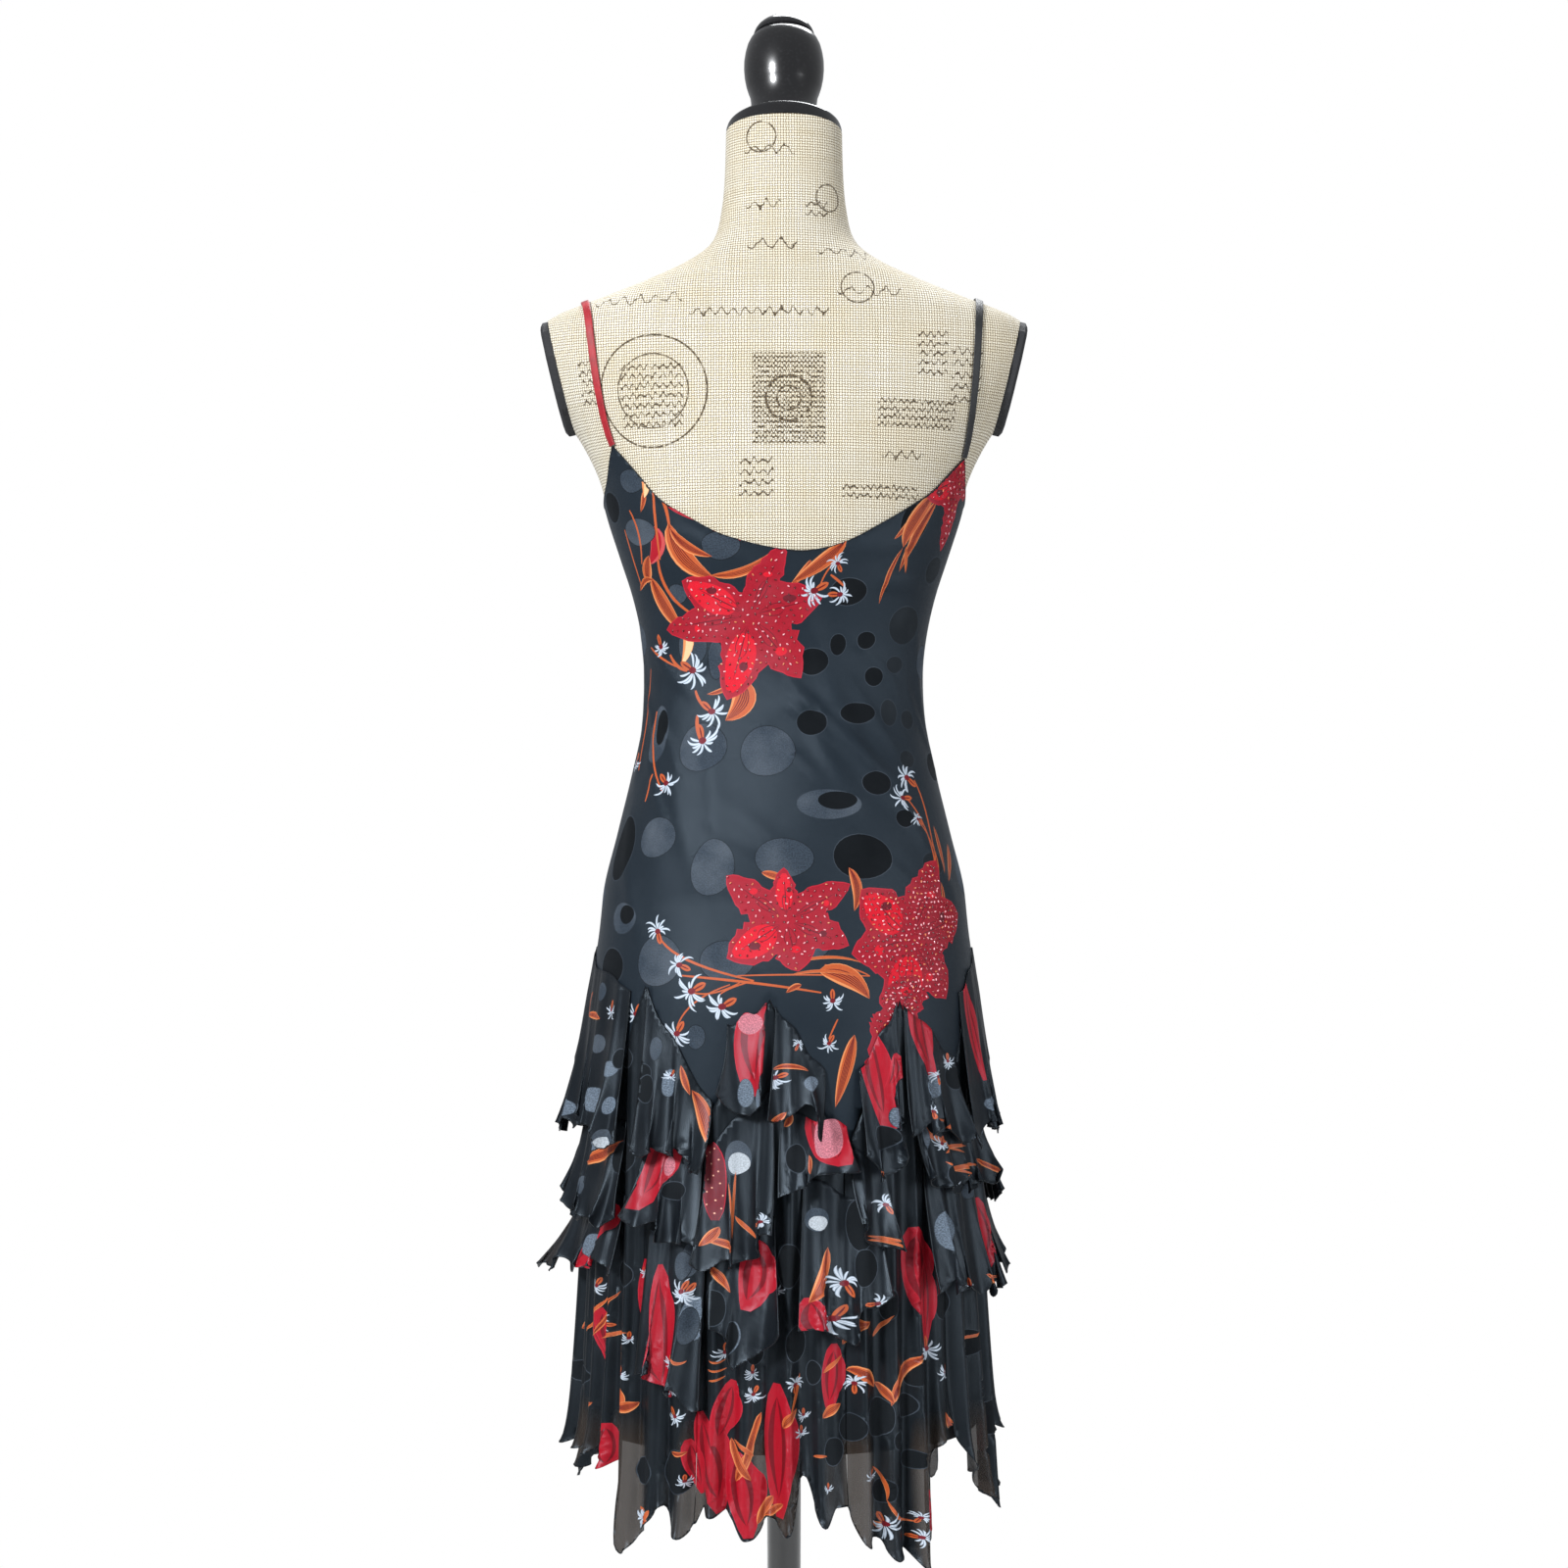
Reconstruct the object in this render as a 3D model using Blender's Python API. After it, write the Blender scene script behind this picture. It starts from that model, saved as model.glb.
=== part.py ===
"""A slip dress on a limbless dress form, seen from the back in its usual picture.

The dress is a black bias-cut slip with a scooped back, two narrow straps, a body that ends in a
zigzag seam, ten pleated godets set into that seam, three tiers of flounces over them and a
lining that shows at the hem. The form is a linen-covered torso with two arm plates, a neck cap,
a turned finial, a pole and a round base. Metres, +Z up. The back of the dress faces -Y, and the
origin is the middle of the base, on the floor.

Everything is placed by a bearing and a height. The bearing is in degrees seen from above: 0 at
the middle of the back, 90 at the wearer's right side (+X), 180 at the middle of the front.
"""

import math

import bmesh
import bpy
import numpy as np

# Driving dimensions

SQUARENESS = 2.2          # exponent of the horizontal sections, 2 would be an ellipse
CLOTH = 0.0012            # thickness of every cloth wall
SEAM_GAP = 0.0003         # between two pieces that meet
BODY_EASE = 0.0010        # between the form and the dress
FRONT_EASE = 0.0030       # the same over the curved front
SEAT_HEIGHT = 0.930       # below this the dress hangs free of the form
HALF_TURN = 180.0

# The form: height, half width, depth of the back, depth of the front
FORM_ROWS = (
    (0.8350, 0.1500, 0.1080, 0.1060),
    (0.8800, 0.1545, 0.1150, 0.1130),
    (0.9300, 0.1545, 0.1170, 0.1170),
    (0.9830, 0.1420, 0.1110, 0.1160),
    (1.0300, 0.1305, 0.0980, 0.1110),
    (1.0750, 0.1210, 0.0850, 0.1040),
    (1.1190, 0.1183, 0.0780, 0.0980),
    (1.1530, 0.1215, 0.0800, 0.1000),
    (1.1870, 0.1290, 0.0870, 0.1060),
    (1.2210, 0.1400, 0.0950, 0.1130),
    (1.2550, 0.1510, 0.0990, 0.1160),
    (1.2890, 0.1600, 0.1000, 0.1120),
    (1.3230, 0.1770, 0.0985, 0.1030),
    (1.3600, 0.2030, 0.0960, 0.0920),
    (1.3900, 0.2180, 0.0920, 0.0840),
    (1.4120, 0.2180, 0.0880, 0.0780),
    (1.4280, 0.2000, 0.0840, 0.0730),
    (1.4420, 0.1640, 0.0790, 0.0700),
    (1.4590, 0.1210, 0.0720, 0.0680),
    (1.4760, 0.0846, 0.0630, 0.0670),
    (1.4930, 0.0630, 0.0540, 0.0660),
    (1.5200, 0.0545, 0.0450, 0.0640),
    (1.5600, 0.0510, 0.0390, 0.0630),
    (1.6400, 0.0500, 0.0360, 0.0640),
)
BUST_HEIGHT = 1.238
BUST_SPACING = 0.080      # from the middle of the front to each side
BUST_RISE = 0.020
BUST_SPREAD = 0.048
NECK_CUT = (0.0, 0.0135, 1.5840)      # the middle of the slanted top of the neck
NECK_TILT = math.radians(15.0)        # the top of the neck slants down to the front
ARM_CUT_X = 0.1990                    # the flat arm openings, at ARM_CUT_Z
ARM_CUT_Z = 1.4080
ARM_TILT = math.radians(13.0)
ARM_PLATE = 0.0080                    # thickness of the arm plates

# The skirt where it hangs free: height, half width, depth of the back, depth of the front
SKIRT_ROWS = (
    (0.3400, 0.1745, 0.1460, 0.1450),
    (0.4500, 0.1720, 0.1430, 0.1420),
    (0.6000, 0.1680, 0.1380, 0.1370),
    (0.7500, 0.1660, 0.1350, 0.1340),
    (0.8400, 0.1650, 0.1320, 0.1310),
    (0.8700, 0.1625, 0.1290, 0.1280),
    (0.9000, 0.1585, 0.1235, 0.1230),
    (SEAT_HEIGHT, 0.1555, 0.1180, 0.1200),
)

# The top edge of the dress: bearing, height. Peaks carry the straps.
TOP_EDGE_ROWS = (
    (-180.0, 1.2620), (-163.0, 1.2660), (-148.5, 1.2780), (-135.0, 1.2970), (-123.0, 1.3180),
    (-108.0, 1.2850), (-90.0, 1.2650), (-70.0, 1.2800), (-55.0, 1.3110),
    (-48.0, 1.2860), (-41.5, 1.2660), (-31.5, 1.2490), (-19.0, 1.2320), (4.0, 1.2198),
    (19.5, 1.2263), (34.0, 1.2460), (43.0, 1.2600), (51.5, 1.2735), (63.5, 1.3020),
    (75.0, 1.2800), (90.0, 1.2660), (108.0, 1.2850), (123.0, 1.3180), (135.0, 1.2970),
    (148.5, 1.2780), (163.0, 1.2660), (180.0, 1.2620),
)

# The zigzag seam of the back: apex bearing, apex height, then the point to its right.
# The front repeats it, turned half round.
ZIGZAG_ROWS = (
    (-76.5, 0.8700, -58.5, 0.7350),
    (-42.5, 0.8590, -24.0, 0.7380),
    (-4.0, 0.8500, 17.0, 0.7230),
    (34.0, 0.8480, 50.0, 0.7300),
    (66.5, 0.8680, 84.0, 0.7350),
)
SIDE_SEAM = 84.0          # the side seams run down to a point of the zigzag

# The hem of the godets over the back: bearing, height. The front repeats it.
HEM_ROWS = (
    (-96.0, 0.4550), (-88.0, 0.4720), (-76.0, 0.4660), (-50.0, 0.4600), (-46.5, 0.4060),
    (-42.0, 0.3990), (-34.5, 0.4340), (-29.5, 0.4210), (-23.5, 0.4190), (-20.5, 0.4430),
    (-8.5, 0.4160), (-3.5, 0.4295), (1.5, 0.4320), (5.0, 0.4610), (10.5, 0.4270),
    (14.0, 0.4410), (20.5, 0.4190), (29.6, 0.4000), (40.2, 0.4045), (43.5, 0.4780),
    (51.5, 0.4860), (57.0, 0.4540), (67.5, 0.4260), (77.0, 0.4216), (84.0, 0.4550),
)
PLEATS_PER_GODET = 4
COLUMNS_PER_PLEAT = 4
# How far the pleats stand out: height, depth
PLEAT_ROWS = ((0.3400, 0.0090), (0.4500, 0.0080), (0.6000, 0.0045), (0.7400, 0.0022),
              (0.8800, 0.0012))

SIDE_TRIM = 0.07          # degrees, half of the gap between two pieces side by side
SEAM_DROP = 0.0010        # leaves 0.3 mm to the body along the steep zigzag
GODET_ROWS = 4            # rows of faces down a godet
BODY_COLUMN_STEP = 7.0    # degrees between the body's columns, about
STRAP_PEAK_HEIGHT = 1.300 # rows of the top edge above this are the peaks under the straps
BODY_ROWS_ABOVE = 3       # rows of faces of the body under its top edge
BODY_ROWS_BELOW = 2       # and below the seat
BACK_FULL_FROM = 1.190    # the top edge of the back lies above this all the way
FRONT_FULL_FROM = 1.256

LINING_TOP = 0.8200
LINING_HEM = 0.4800
LINING_COLUMNS = 44
LINING_GAP = 0.0010

# The flounces of the back, each hung from its upper edge. Columns: name, left and right
# bearing, height of the upper edge at its left and right end, height of the lower edge at its
# left end, middle and right end, how far its lower corners swing out, and its waves.
FLOUNCE_ROWS = (
    ("upper_1", -94.5, -48.0, 0.8850, 0.8560, 0.7240, 0.7420, 0.7280, 0.014, 0.004, 5),
    ("upper_2", -41.5, -20.0, 0.8560, 0.7640, 0.7230, 0.7280, 0.7080, 0.008, 0.010, 3),
    ("upper_3", -16.0, -5.0, 0.8290, 0.8450, 0.7750, 0.7560, 0.7700, 0.008, 0.001, 1),
    ("upper_4", -2.5, 11.5, 0.8460, 0.7900, 0.7560, 0.7620, 0.7420, 0.001, 0.007, 1),
    ("upper_5", 21.0, 33.0, 0.7900, 0.8450, 0.7220, 0.6980, 0.7450, 0.006, 0.002, 2),
    ("upper_6", 35.0, 57.0, 0.8450, 0.7900, 0.7440, 0.7400, 0.7270, 0.003, 0.006, 3),
    ("upper_7", 59.5, 80.5, 0.8500, 0.8820, 0.7350, 0.7400, 0.7300, 0.004, 0.004, 2),
    ("middle_1", -94.0, -48.5, 0.7480, 0.7480, 0.6700, 0.6620, 0.6650, 0.006, 0.004, 5),
    ("middle_2", -40.5, -23.0, 0.7440, 0.7300, 0.6740, 0.6560, 0.6500, 0.009, 0.004, 2),
    ("middle_3", -22.0, -3.0, 0.7300, 0.7780, 0.6380, 0.6370, 0.6600, 0.006, 0.006, 2),
    ("middle_4", -1.0, 17.5, 0.7600, 0.7480, 0.6930, 0.7030, 0.7180, 0.004, 0.008, 1),
    ("middle_5", 18.5, 28.5, 0.7280, 0.7180, 0.6700, 0.6540, 0.6500, 0.004, 0.009, 1),
    ("middle_6", 37.5, 74.0, 0.7580, 0.7520, 0.7000, 0.6900, 0.6950, 0.005, 0.003, 5),
    ("lower_1", -95.0, -48.5, 0.6860, 0.6860, 0.6050, 0.6180, 0.6280, 0.030, 0.003, 4),
    ("lower_2", -38.5, -21.5, 0.6720, 0.6600, 0.5460, 0.5350, 0.5240, 0.005, 0.003, 2),
    ("lower_3", -19.5, -2.5, 0.6560, 0.6760, 0.5880, 0.5530, 0.5880, 0.008, 0.006, 1),
    ("lower_4", 5.0, 27.5, 0.7080, 0.6780, 0.5880, 0.5780, 0.6150, 0.006, 0.009, 2),
    ("lower_5", 41.5, 72.0, 0.7120, 0.7100, 0.6150, 0.6050, 0.6000, 0.004, 0.003, 4),
)
FLOUNCE_GAP = 0.0016      # of a flounce's inner side, outside the inner side of the godets
FLOUNCE_LIFT = 0.0056     # how much more a flounce stands off at its lower edge
FLOUNCE_WAVE = 0.0085     # depth of the waves along its lower edge
FLOUNCE_CORNER = 0.4      # share of a flounce's width over which a corner swings out
FRONT_REACH = 0.25        # of the corners of the front's flounces, as a share of the back's
FLOUNCE_MARGIN = 0.6      # degrees kept free between a flounce's end and its next column
FLOUNCE_ROWS_OF_FACES = {"upper": 3, "middle": 3, "lower": 3}

STRAP_WIDTH = 0.0070
STRAP_OFF_FORM = 0.0012
STRAP_STEPS = 32
STRAP_OFF_EDGE = 0.0008   # between a strap's end and the top edge
STRAP_CENTRE_Z = 1.3000   # the strap's path is swept about this height
FORM_REACH = 0.30         # no part of the form is further than this from its axis there
HALVINGS = 40             # of that reach, to find the form's surface
# The straps: name, bearing of their back end and of their front end, sideways place on top
STRAP_ROWS = (
    ("strap_left", -55.0, -123.0, -0.1740),
    ("strap_right", 63.5, 123.0, 0.1680),
)

CAP_RADIUS = 0.0505
CAP_ROWS = ((0.0, 0.0), (0.0485, 0.0), (CAP_RADIUS, 0.0020), (CAP_RADIUS, 0.0120),
            (0.0485, 0.0145), (0.0300, 0.0165), (0.0, 0.0170))
# The finial's turned outline: radius, height over the cap
FINIAL_ROWS = ((0.0, 0.0), (0.0310, 0.0), (0.0310, 0.0070), (0.0288, 0.0200), (0.0298, 0.0290),
               (0.0330, 0.0385), (0.0350, 0.0500), (0.0352, 0.0590), (0.0340, 0.0700),
               (0.0312, 0.0800), (0.0258, 0.0850), (0.0258, 0.0868), (0.0266, 0.0885),
               (0.0256, 0.0920), (0.0214, 0.0971), (0.0143, 0.1018), (0.0, 0.1040))
FINIAL_OFFSET = 0.0173    # the finial's underside over the cap's
POLE_RADIUS = 0.0145
FLANGE_RADIUS = 0.0550
FLANGE_HEIGHT = 0.0100
BASE_ROWS = ((0.0, 0.0), (0.2150, 0.0), (0.2180, 0.0040), (0.2150, 0.0120), (0.2050, 0.0150),
             (0.1980, 0.0220), (0.0420, 0.0290), (0.0340, 0.0420), (0.0280, 0.0450),
             (0.0, 0.0450))
TURNED_SIDES = 32
FORM_COLUMNS = 36


# The horizontal sections

def smooth_value(rows, column, place):
    """Read one column of a table at a place between its rows, on a smooth curve."""
    places = [row[0] for row in rows]
    values = [row[column] for row in rows]
    if place <= places[0]:
        return values[0]
    if place >= places[-1]:
        return values[-1]
    index = int(np.searchsorted(places, place, side="right")) - 1
    slopes = []
    for at in (index, index + 1):
        before = max(at - 1, 0)
        after = min(at + 1, len(rows) - 1)
        slopes.append((values[after] - values[before]) / (places[after] - places[before]))
    width = places[index + 1] - places[index]
    t = (place - places[index]) / width
    return ((2 * t ** 3 - 3 * t ** 2 + 1) * values[index]
            + (t ** 3 - 2 * t ** 2 + t) * width * slopes[0]
            + (3 * t ** 2 - 2 * t ** 3) * values[index + 1]
            + (t ** 3 - t ** 2) * width * slopes[1])


def straight_value(rows, place):
    """Read a two-column table between its rows, on straight lines."""
    return float(np.interp(place, [row[0] for row in rows], [row[1] for row in rows]))


def smooth_step(t):
    t = min(max(t, 0.0), 1.0)
    return t * t * (3.0 - 2.0 * t)


def form_section(height):
    return tuple(smooth_value(FORM_ROWS, column, height) for column in (1, 2, 3))


def dress_section(height):
    """The inside of the dress: the form plus its ease, or the free skirt below the seat."""
    if height >= SEAT_HEIGHT:
        half_width, back, front = form_section(height)
        return half_width + BODY_EASE, back + BODY_EASE, front + FRONT_EASE
    return tuple(smooth_value(SKIRT_ROWS, column, height) for column in (1, 2, 3))


def ring_point(section, bearing, height, out=0.0):
    """A point on a horizontal section at a bearing, moved outward by a distance."""
    half_width, back, front = section
    sine = math.sin(math.radians(bearing))
    cosine = math.cos(math.radians(bearing))
    reach = (abs(sine) ** SQUARENESS + abs(cosine) ** SQUARENESS) ** (-1.0 / SQUARENESS)
    depth = back if cosine > 0 else front
    x = half_width * reach * sine
    y = -depth * reach * cosine
    normal = np.array((math.copysign(abs(sine) ** (SQUARENESS - 1.0) / half_width, sine),
                       -math.copysign(abs(cosine) ** (SQUARENESS - 1.0) / depth, cosine)))
    normal /= np.linalg.norm(normal)
    if y > 0:
        y += bust(x, height)
    return np.array((x + out * normal[0], y + out * normal[1], height))


def bust(x, height):
    sideways = (abs(x) - BUST_SPACING) / BUST_SPREAD
    upward = (height - BUST_HEIGHT) / BUST_SPREAD
    return BUST_RISE * math.exp(-sideways ** 2 - upward ** 2)


def dress_point(bearing, height, out=0.0):
    return ring_point(dress_section(height), bearing, height, out)


def outward(bearing, height):
    """The horizontal direction out of the plain dress."""
    return dress_point(bearing, height, 1.0) - dress_point(bearing, height)


def in_half_turn(bearing):
    """Bring a bearing into the half turn of the back, which the front repeats."""
    return (bearing - SIDE_SEAM + HALF_TURN) % HALF_TURN + SIDE_SEAM - HALF_TURN


# The zigzag seam, the pleats and the hem

def zigzag_keys():
    """Every corner of the seam over the half turn, left to right: bearing, height."""
    keys = [(SIDE_SEAM - HALF_TURN, ZIGZAG_ROWS[-1][3])]
    for apex, apex_height, point, point_height in ZIGZAG_ROWS:
        keys.append((apex, apex_height))
        keys.append((point, point_height))
    return keys


def seam_height(bearing):
    return straight_value(zigzag_keys(), in_half_turn(bearing))


def top_edge_height(bearing):
    wrapped = (bearing + HALF_TURN) % (2 * HALF_TURN) - HALF_TURN
    return straight_value(TOP_EDGE_ROWS, wrapped)


def hem_height(bearing):
    return straight_value(HEM_ROWS, in_half_turn(bearing))


def godet_spans():
    """The left and right bearing of each godet over the half turn."""
    points = [SIDE_SEAM - HALF_TURN] + [row[2] for row in ZIGZAG_ROWS]
    return list(zip(points[:-1], points[1:]))


def pleat_out(bearing, height):
    """How far the pleats stand out of the plain skirt."""
    place = in_half_turn(bearing)
    for left, right in godet_spans():
        if left <= place <= right:
            share = (place - left) / (right - left)
            wave = 0.5 - 0.5 * math.cos(2.0 * math.pi * PLEATS_PER_GODET * share)
            return smooth_value(PLEAT_ROWS, 1, height) * wave
    return 0.0


def godet_bearings(left, right):
    return list(np.linspace(left, right, PLEATS_PER_GODET * COLUMNS_PER_PLEAT + 1))


def skirt_bearings():
    """The bearings of the godets' columns all round, which the flounces share."""
    bearings = []
    for turn in (-HALF_TURN, 0.0, HALF_TURN):
        for left, right in godet_spans():
            bearings += [bearing + turn for bearing in godet_bearings(left, right)[:-1]]
    return sorted(bearings)


# Meshes

def new_object(name, mesh_bm, material, smooth=True):
    mesh = bpy.data.meshes.new(name)
    bmesh.ops.triangulate(mesh_bm, faces=mesh_bm.faces[:])
    mesh_bm.to_mesh(mesh)
    mesh_bm.free()
    mesh.materials.append(material)
    if smooth:
        mesh.shade_smooth()
        mesh.set_sharp_from_angle(angle=math.radians(50.0))
    made = bpy.data.objects.new(name, mesh)
    bpy.context.scene.collection.objects.link(made)
    return made


def grid_normals(points, closed):
    """Outward normals of a grid of points, columns along the first axis, rows downward."""
    if closed:
        across = np.roll(points, -1, axis=0) - np.roll(points, 1, axis=0)
    else:
        across = np.gradient(points, axis=0)
    down = np.gradient(points, axis=1)
    normals = np.cross(down, across)
    return normals / np.linalg.norm(normals, axis=2, keepdims=True)


def cloth_wall(name, inner, material, closed=False, side_normals=None):
    """A closed wall of cloth whose inner side runs through a grid of points. The outward
    directions at its first and last column can be given, so that neighbours stay apart."""
    normals = grid_normals(inner, closed)
    if side_normals is not None:
        normals[0], normals[-1] = side_normals
    outer = inner + CLOTH * normals
    columns, rows = inner.shape[:2]
    mesh_bm = bmesh.new()
    inside = [[mesh_bm.verts.new(inner[i, j]) for j in range(rows)] for i in range(columns)]
    outside = [[mesh_bm.verts.new(outer[i, j]) for j in range(rows)] for i in range(columns)]
    spans = columns if closed else columns - 1
    for i in range(spans):
        k = (i + 1) % columns
        for j in range(rows - 1):
            mesh_bm.faces.new((outside[i][j], outside[i][j + 1], outside[k][j + 1],
                               outside[k][j]))
            mesh_bm.faces.new((inside[i][j], inside[k][j], inside[k][j + 1],
                               inside[i][j + 1]))
        mesh_bm.faces.new((inside[i][0], outside[i][0], outside[k][0], inside[k][0]))
        mesh_bm.faces.new((inside[i][-1], inside[k][-1], outside[k][-1], outside[i][-1]))
    if not closed:
        for j in range(rows - 1):
            mesh_bm.faces.new((inside[0][j], inside[0][j + 1], outside[0][j + 1],
                               outside[0][j]))
            mesh_bm.faces.new((inside[-1][j], outside[-1][j], outside[-1][j + 1],
                               inside[-1][j + 1]))
    return new_object(name, mesh_bm, material)


def turned(name, rows, material, sides=TURNED_SIDES, tilt=0.0, place=(0.0, 0.0, 0.0)):
    """A solid turned about an upright axis from radius and height rows, tilted, then placed."""
    mesh_bm = bmesh.new()
    rings = []
    for radius, height in rows:
        if radius == 0.0:
            rings.append([mesh_bm.verts.new((0.0, 0.0, height))])
            continue
        ring = []
        for step in range(sides):
            angle = 2.0 * math.pi * step / sides
            ring.append(mesh_bm.verts.new((radius * math.cos(angle), radius * math.sin(angle),
                                           height)))
        rings.append(ring)
    for low, high in zip(rings[:-1], rings[1:]):
        for step in range(sides):
            after = (step + 1) % sides
            if len(low) == 1:
                mesh_bm.faces.new((low[0], high[after], high[step]))
            elif len(high) == 1:
                mesh_bm.faces.new((low[step], low[after], high[0]))
            else:
                mesh_bm.faces.new((low[step], low[after], high[after], high[step]))
    made = new_object(name, mesh_bm, material)
    made.rotation_euler = (-tilt, 0.0, 0.0)
    made.location = place
    return made


# The dress form

def cut_flat(mesh_bm, point, normal):
    """Cut the shoulders or the neck along a plane, close the cut and give back its outline."""
    faces = [face for face in mesh_bm.faces
             if min(vert.co.z for vert in face.verts) > BUST_HEIGHT]
    edges = {edge for face in faces for edge in face.edges}
    verts = {vert for face in faces for vert in face.verts}
    geometry = list(verts) + list(edges) + faces
    cut = bmesh.ops.bisect_plane(mesh_bm, geom=geometry, plane_co=point, plane_no=normal,
                                 clear_outer=True, dist=0.00001)
    edges = [item for item in cut["geom_cut"] if isinstance(item, bmesh.types.BMEdge)]
    filled = bmesh.ops.edgeloop_fill(mesh_bm, edges=edges)
    return [vert.co.copy() for vert in filled["faces"][0].verts]


def build_torso(material):
    """The linen torso, and the outlines of its two arm openings."""
    mesh_bm = bmesh.new()
    rings = []
    for row in FORM_ROWS:
        height = row[0]
        ring = []
        for step in range(FORM_COLUMNS):
            bearing = 360.0 * step / FORM_COLUMNS
            ring.append(mesh_bm.verts.new(ring_point(form_section(height), bearing, height)))
        rings.append(ring)
    for low, high in zip(rings[:-1], rings[1:]):
        for step in range(FORM_COLUMNS):
            after = (step + 1) % FORM_COLUMNS
            mesh_bm.faces.new((low[step], low[after], high[after], high[step]))
    mesh_bm.faces.new(rings[0][::-1])
    mesh_bm.faces.new(rings[-1])
    cut_flat(mesh_bm, NECK_CUT, (0.0, math.sin(NECK_TILT), math.cos(NECK_TILT)))
    outlines = []
    for side in (-1.0, 1.0):
        outlines.append(cut_flat(mesh_bm, (side * ARM_CUT_X, 0.0, ARM_CUT_Z), arm_normal(side)))
    bmesh.ops.recalc_face_normals(mesh_bm, faces=mesh_bm.faces[:])
    new_object("torso", mesh_bm, material)
    return outlines


def arm_normal(side):
    return np.array((side * math.cos(ARM_TILT), 0.0, -math.sin(ARM_TILT)))


def build_arm_plate(name, outline, side, material):
    """A flat plate on an arm opening, with its outer rim rounded over."""
    points = np.array([tuple(point) for point in outline])
    middle = points.mean(axis=0)
    normal = arm_normal(side)
    # Each layer: how far out it lies and how much of the outline's size it keeps
    layers = ((SEAM_GAP, 1.0), (0.7 * ARM_PLATE, 1.0), (ARM_PLATE, 0.93))
    mesh_bm = bmesh.new()
    rings = []
    for out, share in layers:
        ring = [mesh_bm.verts.new(middle + share * (point - middle) + out * normal)
                for point in points]
        rings.append(ring)
    count = len(points)
    for low, high in zip(rings[:-1], rings[1:]):
        for step in range(count):
            after = (step + 1) % count
            mesh_bm.faces.new((low[step], low[after], high[after], high[step]))
    mesh_bm.faces.new(rings[0])
    mesh_bm.faces.new(rings[-1])
    bmesh.ops.recalc_face_normals(mesh_bm, faces=mesh_bm.faces[:])
    new_object(name, mesh_bm, material)


def build_form(materials):
    outlines = build_torso(materials["linen"])
    for name, outline, side in zip(("arm_plate_left", "arm_plate_right"), outlines, (-1.0, 1.0)):
        build_arm_plate(name, outline, side, materials["trim"])
    up = np.array((0.0, math.sin(NECK_TILT), math.cos(NECK_TILT)))
    cap_place = np.array(NECK_CUT) + SEAM_GAP * up
    turned("neck_cap", CAP_ROWS, materials["wood"], tilt=NECK_TILT, place=cap_place)
    turned("finial", FINIAL_ROWS, materials["wood"], sides=16, tilt=NECK_TILT,
           place=cap_place + FINIAL_OFFSET * up)
    pole_foot = BASE_ROWS[-1][1] + SEAM_GAP
    pole_top = FORM_ROWS[0][0] - SEAM_GAP
    pole_rows = ((0.0, pole_foot), (POLE_RADIUS, pole_foot),
                 (POLE_RADIUS, pole_top - FLANGE_HEIGHT),
                 (FLANGE_RADIUS, pole_top - FLANGE_HEIGHT), (FLANGE_RADIUS, pole_top),
                 (0.0, pole_top))
    turned("pole", pole_rows, materials["wood"], sides=24)
    turned("base", BASE_ROWS, materials["wood"], sides=36)


# The dress

def body_bearings(left, right):
    """Columns for half of the body: every corner of its edges, with even steps between."""
    corners = {left, right}
    for turn in (-HALF_TURN, 0.0, HALF_TURN):
        for bearing, height in zigzag_keys():
            corners.add(bearing + turn)
    for turn in (-2 * HALF_TURN, 0.0, 2 * HALF_TURN):
        for bearing, height in TOP_EDGE_ROWS:
            if height > STRAP_PEAK_HEIGHT:
                corners.add(bearing + turn)
    kept = sorted(corner for corner in corners if left <= corner <= right)
    bearings = []
    for start, end in zip(kept[:-1], kept[1:]):
        steps = max(1, round((end - start) / BODY_COLUMN_STEP))
        bearings += list(np.linspace(start, end, steps + 1))[:-1]
    return bearings + [right]


def body_column(bearing, full_from):
    """The heights of one column of the body. Between full_from and the seat they are the
    form's own, so that the two faceted surfaces run side by side."""
    top = top_edge_height(bearing)
    low = seam_height(bearing)
    shared = [row[0] for row in FORM_ROWS if SEAT_HEIGHT <= row[0] <= full_from][::-1]
    above = list(np.linspace(top, shared[0], BODY_ROWS_ABOVE + 1))[:-1]
    below = list(np.linspace(shared[-1], low, BODY_ROWS_BELOW + 1))[1:]
    return above + shared + below


def build_body(name, left, right, full_from, material):
    """Half of the body, from the top edge down to the zigzag seam."""
    bearings = body_bearings(left, right)
    bearings[0] += SIDE_TRIM
    bearings[-1] -= SIDE_TRIM
    grid = [[dress_point(bearing, height) for height in body_column(bearing, full_from)]
            for bearing in bearings]
    cloth_wall(name, np.array(grid), material)


def build_godet(name, left, right, turn, material):
    """One pleated godet, from the zigzag seam down to the hem."""
    bearings = godet_bearings(left + turn, right + turn)
    bearings[0] += SIDE_TRIM
    bearings[-1] -= SIDE_TRIM
    grid = []
    sides = []
    for bearing in bearings:
        heights = np.linspace(seam_height(bearing) - SEAM_DROP, hem_height(bearing),
                              GODET_ROWS + 1)
        grid.append([dress_point(bearing, height, pleat_out(bearing, height))
                     for height in heights])
        sides.append([outward(bearing, height) for height in heights])
    cloth_wall(name, np.array(grid), material, side_normals=(sides[0], sides[-1]))


def build_lining(material):
    grid = []
    for step in range(LINING_COLUMNS):
        bearing = 360.0 * step / LINING_COLUMNS
        grid.append([dress_point(bearing, height, -LINING_GAP - CLOTH)
                     for height in np.linspace(LINING_TOP, LINING_HEM, 3)])
    cloth_wall("lining", np.array(grid), material, closed=True)


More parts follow.
